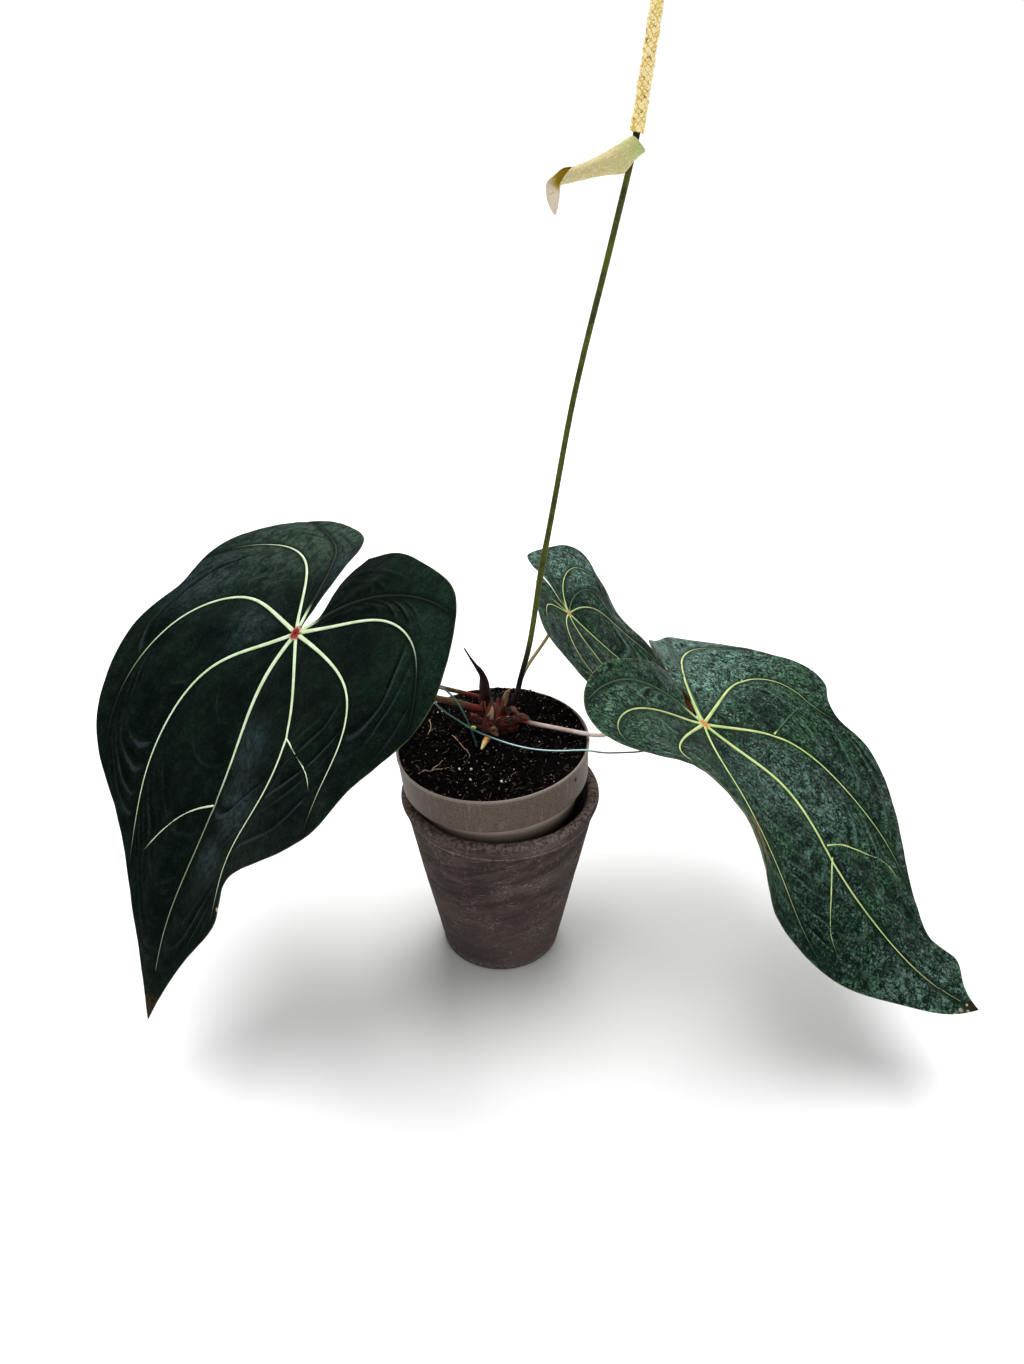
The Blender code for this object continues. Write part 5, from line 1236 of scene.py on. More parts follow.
def make_geometry_trees():
    """The geometry node trees: a tube on a route, loose bits on a surface, and florets on a spike."""
    def tube(graph, source):
        curve = graph.add("GeometryNodeMeshToCurve", {"Mesh": source["Geometry"]})
        thick = graph.add("GeometryNodeInputNamedAttribute", {"Name": "thickness"})
        ring = graph.add("GeometryNodeCurvePrimitiveCircle", {"Resolution": source["Sides"], "Radius": 1.0})
        mesh = graph.add("GeometryNodeCurveToMesh", {"Curve": curve, "Profile Curve": ring, "Scale": thick,
                                                     "Fill Caps": True})
        normal = graph.add("GeometryNodeInputNormal")
        grain = graph.noise(graph.add("GeometryNodeInputPosition"), source["Grain"], 2.0, 0.5)
        push = graph.times(graph.minus(grain, 0.5), source["Lumpiness"])
        moved = graph.add("GeometryNodeSetPosition", {"Geometry": mesh, "Offset": graph.add(
            "ShaderNodeVectorMath", {0: normal, "Scale": push}, operation="SCALE")})
        return graph.add("GeometryNodeSetShadeSmooth", {"Geometry": moved})

    geometry_tree("Tube on a route", {"Sides": ("NodeSocketInt", 16), "Grain": ("NodeSocketFloat", 300.0),
                                      "Lumpiness": ("NodeSocketFloat", 0.0)}, tube)

    def scatter(graph, source):
        spread = graph.tree.nodes.new("GeometryNodeDistributePointsOnFaces")
        graph.feed(spread.inputs["Mesh"], source["Geometry"])
        graph.feed(spread.inputs["Density"], source["Density"])
        graph.feed(spread.inputs["Seed"], source["Seed"])
        bit = graph.add("GeometryNodeObjectInfo", {"Object": source["Bit"], "As Instance": False}, "Geometry")
        turn = graph.add("FunctionNodeRandomValue", {0: (0.0, 0.0, 0.0), 1: (6.28, 6.28, 6.28), 8: 3}, 0,
                         data_type="FLOAT_VECTOR")
        flat_turn = graph.vector("MULTIPLY", turn, graph.add("ShaderNodeCombineXYZ", {
            0: source["Tumble"], 1: source["Tumble"], 2: 1.0}))
        size = graph.add("FunctionNodeRandomValue", {2: source["Smallest"], 3: source["Largest"], 8: 5}, 1)
        points = graph.add("GeometryNodeInstanceOnPoints", {
            "Points": spread.outputs["Points"], "Instance": bit, "Scale": size,
            "Rotation": graph.add("FunctionNodeEulerToRotation", {0: flat_turn})})
        return graph.add("GeometryNodeSetShadeSmooth", {"Geometry": graph.add(
            "GeometryNodeRealizeInstances", {0: points}), "Shade Smooth": False})

    geometry_tree("Bits on a surface", {
        "Bit": ("NodeSocketObject", None), "Density": ("NodeSocketFloat", 1000.0),
        "Seed": ("NodeSocketInt", 1), "Tumble": ("NodeSocketFloat", 1.0),
        "Smallest": ("NodeSocketFloat", 0.5), "Largest": ("NodeSocketFloat", 1.0)}, scatter)

    def florets(graph, source):
        index = graph.add("GeometryNodeInputIndex")
        share = graph.math("DIVIDE", index, source["Count"])
        height = graph.times(share, source["Length"])
        angle = graph.times(index, source["Turn"])
        taper = graph.minus(1.0, graph.times(source["Taper"], graph.math("POWER", share, 1.3)))
        radius = graph.times(source["Radius"], taper)
        place = graph.add("ShaderNodeCombineXYZ", {
            0: graph.times(radius, graph.math("COSINE", angle)),
            1: graph.times(radius, graph.math("SINE", angle)), 2: height})
        points = graph.add("GeometryNodePoints", {"Count": source["Count"], "Position": place})
        facing = graph.add("FunctionNodeEulerToRotation", {0: graph.add(
            "ShaderNodeCombineXYZ", {0: 0.0, 1: math.pi / 2, 2: angle})})
        wobble = graph.add("FunctionNodeRandomValue", {2: 0.55, 3: 1.35, 8: 11}, 1)
        bit = graph.add("GeometryNodeObjectInfo", {"Object": source["Bit"], "As Instance": False}, "Geometry")
        size = graph.times(graph.times(source["Size"], wobble), graph.math("POWER", taper, 0.7))
        return graph.add("GeometryNodeSetShadeSmooth", {"Geometry": graph.add(
            "GeometryNodeRealizeInstances", {0: graph.add("GeometryNodeInstanceOnPoints", {
                "Points": points, "Instance": bit, "Rotation": facing, "Scale": size})})})

    geometry_tree("Florets on a spike", {
        "Bit": ("NodeSocketObject", None), "Count": ("NodeSocketInt", 1000),
        "Length": ("NodeSocketFloat", 0.1), "Radius": ("NodeSocketFloat", 0.003),
        "Turn": ("NodeSocketFloat", 2.4), "Taper": ("NodeSocketFloat", 0.3),
        "Size": ("NodeSocketFloat", 0.001)}, florets)


def route_mesh(name, points, radii):
    """A line of edges through points, which carries the tube's radius and its share of the way."""
    mesh = bpy.data.meshes.new(name)
    mesh.from_pydata(np.asarray(points).tolist(), [(i, i + 1) for i in range(len(points) - 1)], [])
    store(mesh, "thickness", radii)
    store(mesh, "along", np.linspace(0, 1, len(points)))
    return mesh


def tube_piece(name, route, radius_of, material, spacing, sides=16, grain=300.0, lumpiness=0.0):
    """A tube on the smooth curve through a route; radius_of gives its radius at each share of it."""
    shares = np.linspace(0, 1, max(8, int(length_of(route) / spacing)))
    mesh = route_mesh(name + "_route", path(route, shares), [radius_of(share) for share in shares])
    return grow(name, "Tube on a route", mesh, material, Sides=sides, Grain=grain, Lumpiness=lumpiness)


def refined(profile, step):
    """Adds points to a profile so that none of its stretches is longer than step."""
    points = [profile[0]]
    for start, end in zip(profile, profile[1:]):
        count = max(1, int(math.dist(start, end) / step))
        points += [tuple(np.add(start, np.subtract(end, start) * i / count)) for i in range(1, count + 1)]
    return points


def turned_mesh(name, profile, steps):
    """Turns a profile of (radius, height) points round Z; it runs down the outer side."""
    mesh = bpy.data.meshes.new(name)
    mesh.from_pydata([(radius, 0, height) for radius, height in profile],
                     [(i, i + 1) for i in range(len(profile) - 1)], [])
    holder = link(name, mesh)
    screw = holder.modifiers.new("Turn", "SCREW")
    screw.axis = "Z"
    screw.steps = steps
    screw.render_steps = steps
    screw.use_merge_vertices = True
    screw.merge_threshold = MERGE_DISTANCE
    result = plain_mesh(holder)
    bpy.data.objects.remove(holder, do_unlink=True)
    face_outwards(result, merge=MERGE_DISTANCE)
    return result


def nursery_frame():
    """The nursery pot's tilted frame: its left side and its front stand a little lower."""
    axis = Vector((-math.sin(NURSERY_TILT_LEFT), -math.sin(NURSERY_TILT_FRONT), 1.0)).normalized()
    right = Vector((0, 1, 0)).cross(axis).normalized()
    back = axis.cross(right)
    return Matrix.Translation(NURSERY_RIM_CENTRE) @ Matrix((right, back, axis)).transposed().to_4x4()


def body_radius(depth):
    """Outer radius of the nursery pot's body at a depth below its rim."""
    share = (depth - NURSERY_COLLAR_HEIGHT) / (NURSERY_HEIGHT - NURSERY_COLLAR_HEIGHT)
    return NURSERY_BODY_TOP_RADIUS + (NURSERY_BOTTOM_RADIUS - NURSERY_BODY_TOP_RADIUS) * share


def cut(item, cutters):
    """Cuts holes with the given cutter objects and removes them."""
    for cutter in cutters:
        hole = item.modifiers.new(cutter.name, "BOOLEAN")
        hole.operation = "DIFFERENCE"
        hole.solver = "EXACT"
        hole.object = cutter
    mesh = plain_mesh(item)
    item.modifiers.clear()
    old = item.data
    item.data = mesh
    bpy.data.meshes.remove(old)
    for cutter in cutters:
        bpy.data.objects.remove(cutter, do_unlink=True)


def make_clay_pot(pots):
    """The cover pot: a turned wall with a rounded lip, wiping marks and small pocks."""
    taper = (CLAY_RIM_RADIUS - CLAY_BASE_RADIUS) / CLAY_HEIGHT
    lean = math.sqrt(1 + taper ** 2)

    def outer(height):
        return CLAY_BASE_RADIUS + (taper - CLAY_LIP_PROUD / CLAY_HEIGHT) * height

    def inner(height):
        return CLAY_BASE_RADIUS + taper * height - CLAY_WALL * lean

    crest = CLAY_HEIGHT
    rim_mid = (CLAY_RIM_RADIUS + inner(crest)) / 2
    rim_half = (CLAY_RIM_RADIUS - inner(crest)) / 2
    corner = inner(CLAY_FLOOR)
    profile = [(0.0, CLAY_FLOOR), (corner - 0.003, CLAY_FLOOR), (corner - 0.0005, CLAY_FLOOR + 0.0008),
               (corner + 0.0006, CLAY_FLOOR + 0.003)]
    for degrees in range(180, -1, -12):
        angle = math.radians(degrees)
        profile.append((rim_mid + rim_half * math.cos(angle), crest - rim_half * (1 - math.sin(angle))))
    lip_foot = crest - CLAY_LIP_HEIGHT
    under_lip = outer(lip_foot)
    profile += [(under_lip + CLAY_LIP_PROUD, lip_foot + 0.002),
                (under_lip + CLAY_LIP_PROUD * 0.85, lip_foot + 0.001),
                (under_lip + CLAY_LIP_PROUD * 0.35, lip_foot + 0.0002),
                (under_lip - 0.0002, lip_foot - 0.0004), (under_lip - 0.0002, lip_foot - 0.0012),
                (under_lip, lip_foot - 0.0024), (outer(0.0016), 0.0016),
                (outer(0) - 0.0004, 0.0004), (outer(0) - 0.0012, 0.0), (0.0, 0.0)]
    mesh = turned_mesh("clay_cover_pot", refined(profile, 0.0014), CLAY_STEPS)
    places = points_of(mesh)
    reach, away = outward(places)
    marks = (lumps(places * (0.3, 0.3, 2.6), 0.012, 3) * CLAY_MARKS
             + lumps(places, 0.045, 2, 4.0) * CLAY_WAVES)
    pocks = np.minimum(lumps(places, 0.0026, 2, 9.0) + 0.35, 0.0) * CLAY_POCKS
    calm = smooth_step(places[:, 2], 0.0005, 0.006) * smooth_step(reach, 0.02, 0.03)
    shallow = np.where(places[:, 2] > CLAY_HEIGHT - 0.004, 0.5, 1.0)
    set_points(mesh, places + away * ((marks - CLAY_MARKS + pocks) * calm * shallow)[:, None])
    return finish_piece(add_object("clay_cover_pot", mesh, clay_material(pots)), "fired_clay", "outer_pot")


def make_nursery_pot(pots):
    """The thin pot: a turned wall with its collar, drain holes, the slot in the collar and a nicked rim."""
    wall = NURSERY_WALL
    rim = NURSERY_RIM_RADIUS
    collar = NURSERY_COLLAR_HEIGHT
    foot = NURSERY_COLLAR_FOOT_RADIUS
    bottom = NURSERY_HEIGHT
    inner_foot = foot - wall
    base = body_radius(bottom)
    profile = [(0.0, -bottom + wall), (base - wall - 0.002, -bottom + wall),
               (body_radius(bottom - 0.004) - wall, -bottom + wall + 0.003),
               (body_radius(collar + wall) - wall, -collar - wall),
               (inner_foot - 0.0004, -collar + wall * 0.7), (inner_foot, -collar + wall * 1.4),
               (rim - wall - 0.0006, -0.0015), (rim - wall, -0.0004),
               (rim - wall * 0.8, 0.0), (rim - 0.0003, 0.0), (rim, -0.0003), (rim, -0.0013),
               (rim - 0.0001, -0.0017), (rim - 0.0006, -0.0019), (foot + 0.0002, -collar + 0.0008),
               (foot - 0.0001, -collar + 0.0001), (foot - 0.0006, -collar),
               (body_radius(collar) + 0.0004, -collar), (body_radius(collar), -collar - 0.0004),
               (body_radius(bottom - 0.003), -bottom + 0.003), (base - 0.0004, -bottom + 0.0006),
               (base - 0.0015, -bottom), (0.0, -bottom)]
    mesh = turned_mesh("taupe_nursery_pot", refined(profile, 0.0035), NURSERY_STEPS)
    item = add_object("taupe_nursery_pot", mesh, nursery_material(pots))
    cutters = []
    for i in range(DRAIN_HOLES):
        angle = 2 * math.pi * (i + 0.41) / DRAIN_HOLES
        bpy.ops.mesh.primitive_cylinder_add(vertices=24, radius=DRAIN_RADIUS, depth=6 * wall, location=(
            DRAIN_RING_RADIUS * math.cos(angle), DRAIN_RING_RADIUS * math.sin(angle), -bottom))
        cutters.append(bpy.context.active_object)
    bpy.ops.mesh.primitive_cube_add(size=1.0)
    slot = bpy.context.active_object
    slot.matrix_world = (Matrix.Rotation(COLLAR_HOLE_ANGLE, 4, "Z")
                         @ Matrix.Translation((rim - wall / 2, 0, -COLLAR_HOLE_DEPTH))
                         @ Matrix.Diagonal((*COLLAR_HOLE_SIZE, 1.0)))
    cut(item, cutters + [slot])
    mesh = item.data
    places = points_of(mesh)
    # Shares of the painted highlight on the rim edge and of the painted light on the wall under the collar
    store(mesh, "rim", smooth_step(places[:, 2], -0.0022, -0.0006))
    store(mesh, "wall", smooth_step(-places[:, 2], collar, collar + 0.0006) * smooth_step(
        -places[:, 2], collar + 0.02, collar + 0.008) * 0.85)
    reach, away = outward(places)
    nicks = lumps(places, 0.004, 2, 2.0) * NURSERY_NICKS * smooth_step(places[:, 2], -0.0025, -0.0008)
    warp = lumps(places * (1, 1, 0.3), 0.05, 1, 7.0) * NURSERY_WARP * smooth_step(reach, 0.03, 0.04)
    places = places + away * (warp - 0.00008)[:, None] - np.array((0, 0, 1.0)) * np.abs(nicks)[:, None]
    set_points(mesh, places)
    mesh.transform(nursery_frame())
    mesh.shade_smooth()
    mesh.set_sharp_from_angle(angle=math.radians(40))
    return finish_piece(item, "nursery_plastic", "nursery_pot")


def soil_level(x, y):
    """Height of the soil's even surface over the rim's plane, at places in the nursery pot's frame."""
    across = y / NURSERY_RIM_RADIUS
    slope = -SOIL_DROP_FRONT + (SOIL_RISE_BACK + SOIL_DROP_FRONT) * (across + 1) / 2
    to_crown = np.hypot(x - CROWN_CENTRE.x + NURSERY_RIM_CENTRE.x, y - CROWN_CENTRE.y)
    return slope + SOIL_MOUND * bell(to_crown, SOIL_MOUND_REACH)


def soil_relief(x, y):
    """Height of the crumbly surface, at places in the nursery pot's frame."""
    places = np.stack([x, y, np.zeros_like(x)], axis=-1)
    return soil_level(x, y) + lumps(places, 0.0085, 2, 1.0) * 0.001 + lumps(places, 0.0028, 3, 5.0) * 0.0007


def ring_faces(rows, steps):
    """Four-sided faces between closed rings of points."""
    faces = []
    for row in range(0, (rows - 1) * steps, steps):
        for j in range(steps):
            k = (j + 1) % steps
            faces.append((row + j, row + steps + j, row + steps + k, row + k))
    return faces


def make_soil(soil):
    """Fills the nursery pot: a crumbly top, a side that follows the pot's wall, a flat bottom."""
    steps, rings = SOIL_STEPS, SOIL_RINGS
    gap = NURSERY_WALL + SOIL_GAP
    rim = NURSERY_RIM_RADIUS - 0.0006 - gap
    angles = circle(steps)
    vertices = []
    for i in range(1, rings + 1):
        radius = rim * (i / rings) ** 0.9
        ring = np.stack([radius * np.cos(angles), radius * np.sin(angles)], axis=-1)
        vertices.append(np.column_stack([ring, soil_relief(ring[:, 0], ring[:, 1])]))
    side = ((NURSERY_COLLAR_FOOT_RADIUS - gap, NURSERY_COLLAR_HEIGHT - 0.0036),
            (body_radius(NURSERY_COLLAR_HEIGHT) - gap - 0.0004, NURSERY_COLLAR_HEIGHT - 0.0032),
            (body_radius(NURSERY_HEIGHT - 0.006) - gap, NURSERY_HEIGHT - 0.006),
            (body_radius(NURSERY_HEIGHT) - gap - 0.004, NURSERY_HEIGHT - NURSERY_WALL - 0.0003))
    for radius, depth in side:
        vertices.append(np.column_stack([
            radius * np.cos(angles), radius * np.sin(angles), np.full(steps, -depth)]))
    rows = len(vertices)
    centre = rows * steps
    vertices = np.vstack(vertices + [[(0.0, 0.0, float(soil_relief(np.zeros(1), np.zeros(1))[0]))]])
    faces = ring_faces(rows, steps)
    faces += [(centre, j, (j + 1) % steps) for j in range(steps)]
    faces.append(tuple((rows - 1) * steps + j for j in range(steps - 1, -1, -1)))
    mesh = mesh_from("peat_soil", vertices, faces)
    mesh.transform(nursery_frame())
    face_outwards(mesh)
    item = add_object("peat_soil", mesh, soil_material(soil))
    return finish_piece(item, "potting_soil", "soil")


def soil_disc(radius):
    """A plain disc that follows the soil's surface, for bits to lie on."""
    steps, rings = SOIL_DISC_STEPS, SOIL_DISC_RINGS
    angles = circle(steps)
    vertices = []
    for i in range(rings + 1):
        x, y = radius * i / rings * np.cos(angles), radius * i / rings * np.sin(angles)
        vertices.append(np.column_stack([x, y, soil_relief(x, y)]))
    mesh = mesh_from("soil_disc", np.vstack(vertices), ring_faces(rings + 1, steps))
    mesh.transform(nursery_frame())
    return mesh


def crumb_bit():
    """A small angular crumb, about one unit across."""
    mesh = bpy.data.meshes.new("crumb")
    work = bmesh.new()
    bmesh.ops.create_icosphere(work, subdivisions=1, radius=0.5)
    for vertex in work.verts:
        vertex.co *= 1 + 0.35 * noise.noise(vertex.co * 4.0)
    work.to_mesh(mesh)
    work.free()
    return bpy.data.objects.new("crumb", mesh)


def fibre_bit():
    """A thin bent fibre, about one unit long."""
    shares = np.linspace(0, 1, 7)
    centres = np.column_stack([shares - 0.5, 0.16 * np.sin(shares * 3.6), 0.05 * np.sin(shares * 5.0 + 0.6)])
    vertices, faces = tube_rings(centres, lambda i: centres[i] + 0.017 * (1 - 0.4 * shares[i]) * np.array(
        [(0.0, math.cos(a), math.sin(a)) for a in (0.0, 2.094, 4.189)]))
    return bpy.data.objects.new("fibre", mesh_from("fibre", vertices, faces))


def surface_tube(name, routes, radius, material):
    """Thin roots that lie on the soil along routes of places in the nursery pot's frame."""
    parts = []
    for route in routes:
        flat = path(route, np.linspace(0, 1, 26))
        wiggle = lumps(on_ground(flat), 0.003, 2, 3.0) * 0.0004
        height = soil_relief(flat[:, 0], flat[:, 1]) + radius * 1.2 + np.abs(wiggle)
        centres = np.column_stack([flat + wiggle[:, None], height])
        taper = 1 - 0.45 * np.linspace(0, 1, len(flat))
        across = np.gradient(flat, axis=0)
        across = unit(np.column_stack([-across[:, 1], across[:, 0], np.zeros(len(flat))]))

        def ring(i):
            angles = np.arange(8) * math.pi / 4
            return (centres[i] + radius * taper[i] * (np.cos(angles)[:, None] * across[i]
                                                      + np.sin(angles)[:, None] * np.array((0, 0, 1.0))))

        parts.append(tube_rings(centres, ring))
    mesh = join_meshes(name, parts)
    mesh.transform(nursery_frame())
    face_outwards(mesh)
    return add_object(name, mesh, material)


def make_soil_bits(soil):
    """Crumbs, fibres, perlite and loose roots on the soil, and crumbs caught on the clay rim."""
    reach = NURSERY_RIM_RADIUS - SOIL_DISC_INSET
    disc = soil_disc(reach)
    area = math.pi * reach ** 2
    crumb, fibre = crumb_bit(), fibre_bit()
    strips = []
    for first, last in LIP_STRIPS:
        angles = np.radians(np.linspace(first, last, 20))
        ring = np.column_stack([np.cos(angles), np.sin(angles), np.zeros(20)])
        inner, outer = ring * (CLAY_RIM_RADIUS - 0.0056), ring * (CLAY_RIM_RADIUS - 0.002)
        strips.append((np.vstack([inner, outer]) + (0, 0, CLAY_HEIGHT - 0.0002),
                       [(i, 20 + i, 21 + i, 1 + i) for i in range(19)]))
    lip = join_meshes("clay_lip_top", strips)
    for name, surface, material, bit, density, seed, smallest, largest, tumble in (
            ("soil_crumbs", disc, soil_material(soil, "peat_crumbs"), crumb, soil.crumbs / area, 4,
             0.0006, 0.0022, 1.0),
            ("soil_fibres", disc, plain_bits_material("soil_fibre", soil.fibre, soil.fibre_pale, 240.0),
             fibre, soil.fibres / area, 9, 0.0022, 0.0075, 0.1),
            ("soil_grains", disc, plain_bits_material("grain_tan", soil.grit, soil.grain_pale, 700.0), crumb,
             soil.grains / area, 21, 0.0003, 0.0011, 1.0),
            ("rim_crumbs", lip, plain_bits_material("rim_peat", soil.brown, soil.fibre_pale, 900.0), crumb,
             soil.rim_crumbs / LIP_STRIPS_AREA, 33, 0.0006, 0.0021, 1.0)):
        bits = grow(name, "Bits on a surface", surface, material, Bit=bit, Density=density, Seed=seed,
                    Smallest=smallest, Largest=largest, Tumble=tumble)
        finish_piece(bits, "potting_soil")
    frame_matrix = nursery_frame()
    parts = []
    for i, (x, y, size) in enumerate(PERLITE):
        height = float(soil_relief(np.array([x]), np.array([y]))[0])
        work = bmesh.new()
        bmesh.ops.create_icosphere(work, subdivisions=2, radius=size * 0.62)
        for vertex in work.verts:
            vertex.co *= 1 + 0.45 * noise.noise(vertex.co / size * 2.2 + Vector((i, 0, 0)))
        work.verts.index_update()
        parts.append(([frame_matrix @ (v.co + Vector((x, y, height + size * 0.3))) for v in work.verts],
                      [[v.index for v in face.verts] for face in work.faces]))
        work.free()
    perlite = add_object("soil_perlite", join_meshes("soil_perlite", parts),
                         plain_bits_material("perlite", (0.62, 0.6, 0.56), (0.8, 0.79, 0.76), 900.0))
    finish_piece(perlite, "potting_soil")
    roots = surface_tube("loose_roots", SURFACE_ROOTS, 0.00034,
                         plain_bits_material("root_skin", (0.34, 0.24, 0.16), (0.52, 0.42, 0.3), 200.0))
    finish_piece(roots, "root")


def sheath_body(route, widths, facing, seed, cup, rows, columns, thickness, pale):
    """A dry sheath along a route as a thin, cupped, ribbed sheet with a ragged edge.

    Gives its vertices, faces, flat places, nearness to the edge and paleness.
    """
    shares = np.linspace(0, 1, rows)
    line = path(route, shares)
    along = unit(np.gradient(line, axis=0))
    side = unit(np.cross(along, np.array(facing, float)))
    face = np.cross(side, along)
    across = np.linspace(-1, 1, columns)
    chance = np.random.default_rng(seed)
    ragged = 1 + 0.16 * np.interp(shares * 12, np.arange(13), chance.uniform(-1, 1, 13))
    half = np.interp(shares, np.linspace(0, 1, len(widths)), widths) / 2 * ragged + 0.0002
    curl = cup * (1 + 0.5 * np.sin(shares * 3.0 + seed))
    ribs = 0.00012 * np.sin(across * 9.0 + seed)
    grid = (line[:, None] + side[:, None] * (half[:, None] * across[None, :])[:, :, None]
            + face[:, None] * (half[:, None] * curl[:, None] * (0.5 - across[None, :] ** 2)
                               + ribs[None, :] * np.minimum(half / 0.002, 1)[:, None])[:, :, None])
    vertices, faces = sheet_body(grid, thickness)
    flat = np.stack(np.meshgrid(across * 0.5 + 0.5, shares), axis=-1).reshape(-1, 2) + seed * 0.37
    edge = np.broadcast_to(smooth_step(np.abs(across), 0.7, 1.0), (rows, columns)).reshape(-1)
    edge = np.maximum(edge, np.repeat(smooth_step(shares, 0.8, 1.0), columns) * 0.8)
    return vertices, faces, np.tile(flat, (2, 1)), np.tile(edge, 2), np.full(2 * len(flat), pale)


def sheet_body(grid, thickness):
    """Vertices and faces of a closed sheet round a grid of mid-surface points."""
    rows, columns = grid.shape[:2]
    normal = unit(np.cross(np.gradient(grid, axis=0), np.gradient(grid, axis=1)))
    half = normal * np.asarray(thickness)[..., None] / 2 if np.ndim(thickness) else normal * thickness / 2
    total = rows * columns
    top = [(i * columns + j, i * columns + j + 1, (i + 1) * columns + j + 1, (i + 1) * columns + j)
           for i in range(rows - 1) for j in range(columns - 1)]
    border = ([j for j in range(columns - 1)] + [i * columns + columns - 1 for i in range(rows - 1)]
              + [(rows - 1) * columns + j for j in range(columns - 1, 0, -1)]
              + [i * columns for i in range(rows - 1, 0, -1)])
    faces = top + [tuple(total + k for k in reversed(face)) for face in top]
    faces += [(b, a, total + a, total + b) for a, b in zip(border, border[1:] + border[:1])]
    return np.vstack([(grid + half).reshape(-1, 3), (grid - half).reshape(-1, 3)]), faces


def make_crown(crown):
    """The short stem, its layered dry sheaths, the tall pointed one, and torn fibres between them."""
    centre = CROWN_CENTRE
    profile = [(0.0, CROWN_RISE - 0.002), (CROWN_RADIUS * 0.42, CROWN_RISE - 0.003),
               (CROWN_RADIUS * 0.74, CROWN_RISE - 0.0062), (CROWN_RADIUS * 0.92, CROWN_RISE - 0.0105),
               (CROWN_RADIUS * 0.92, 0.003), (CROWN_RADIUS * 0.85, 0.0), (CROWN_RADIUS * 0.75, -CROWN_DEPTH),
               (0.0, -CROWN_DEPTH)]
    stem = turned_mesh("crown_stem", refined(profile, 0.0012), 48)
    places = points_of(stem)
    reach, away = outward(places)
    set_points(stem, places + away * (lumps(places, 0.004, 2) * 0.0007)[:, None] + np.array(centre))
    store(stem, "edge", np.zeros(len(places)))
    store(stem, "pale", np.zeros(len(places)))
    store_uv(stem, np.column_stack([np.arctan2(places[:, 1], places[:, 0]) * 0.4, places[:, 2] * 40.0]))
    finish_piece(add_object("crown_stem", stem, sheath_material(crown)), "dry_sheath", "crown")

    bodies = []
    for i, (degrees, *sizes) in enumerate(SHEATHS):
        rise, reach, width = map(metres, sizes)
        chance = random.Random(40 + i)
        for layer in range(3):
            turn = math.radians(degrees + (chance.uniform(-16, 16) if layer else 0.0))
            out = Vector((math.cos(turn), math.sin(turn), 0))
            if layer:
                lift = 0.0035 * layer
                base = centre + out * CROWN_RADIUS * (0.82 - 0.16 * layer) + Vector((0, 0, lift - 0.001))
                tip = centre + out * (CROWN_RADIUS * chance.uniform(0.95, 1.3) - 0.001 * layer) + Vector(
                    (0, 0, lift + chance.uniform(0.0045, 0.008)))
                wide = width * chance.uniform(0.45, 0.75)
            else:
                base = centre + out * CROWN_RADIUS * 0.6 + Vector((0, 0, 0.002))
                tip = centre + out * (reach + 0.0015) + Vector((0, 0, rise + 0.0045))
                wide = width
            route = (tuple(base), tuple((base + tip) / 2 + out * 0.0016), tuple(tip))
            bodies.append(sheath_body(route, (wide, wide * 0.9, wide * 0.6, 0.0002), out, 3 * i + layer,
                                      0.35 + 0.1 * layer, 22, 9, 0.00022, 0.25 * chance.random()))
    for i, (route, widths, facing, cup, pale) in enumerate(HERO_SHEATHS):
        bodies.append(sheath_body(metres(route), metres(widths), facing, 101 + i, cup, 40, 13, 0.00026, pale))
    mesh = joined_bodies("crown_sheaths", bodies, "edge", "pale")
    finish_piece(add_object("crown_sheaths", mesh, sheath_material(crown)), "dry_sheath")

    work = bmesh.new()
    bmesh.ops.create_icosphere(work, subdivisions=3, radius=0.0011)
    for vertex in work.verts:
        vertex.co = BUD_PLACE + Vector((vertex.co.x * 1.5, vertex.co.y, vertex.co.z * 0.9)) * (
            1 + 0.25 * noise.noise(vertex.co * 900))
    bud = bpy.data.meshes.new("crown_bud")
    work.to_mesh(bud)
    work.free()
    finish_piece(add_object("crown_bud", bud, plain_bits_material(
        "young_bud", (0.3, 0.36, 0.06), (0.62, 0.62, 0.2), 500.0, 0.5)), "root")

    parts = []
    chance = random.Random(17)
    for i in range(crown.shreds):
        turn = chance.uniform(0, 2 * math.pi)
        out = Vector((math.cos(turn), math.sin(turn), 0))
        side = Vector((-out.y, out.x, 0))
        start = centre + out * CROWN_RADIUS * chance.uniform(0.5, 1.0)
        start = start + Vector((0, 0, chance.uniform(0.002, 0.011)))
        length = chance.uniform(0.005, 0.013)
        end = start + out * length * 0.45 + side * length * chance.uniform(-0.7, 0.7) + Vector(
            (0, 0, length * chance.uniform(-0.25, 0.45)))
        middle = (start + end) / 2 + Vector((0, 0, length * 0.18)) + side * length * chance.uniform(-0.2, 0.2)
        line = path((tuple(start), tuple(middle), tuple(end)), np.linspace(0, 1, 12))
        thick = chance.uniform(0.0001, 0.00024)
        parts.append(tube_rings(line, lambda k: line[k] + thick * (1 - 0.06 * k) * np.array(
            [(math.cos(a), math.sin(a) * 0.7, math.sin(a + 0.8)) for a in np.arange(5) * 1.2566])))
    shreds = join_meshes("crown_shreds", parts)
    face_outwards(shreds)
    finish_piece(add_object("crown_shreds", shreds, plain_bits_material(
        "sheath_shreds", crown.sheath_red, (0.36, 0.19, 0.12), 350.0)), "dry_sheath")


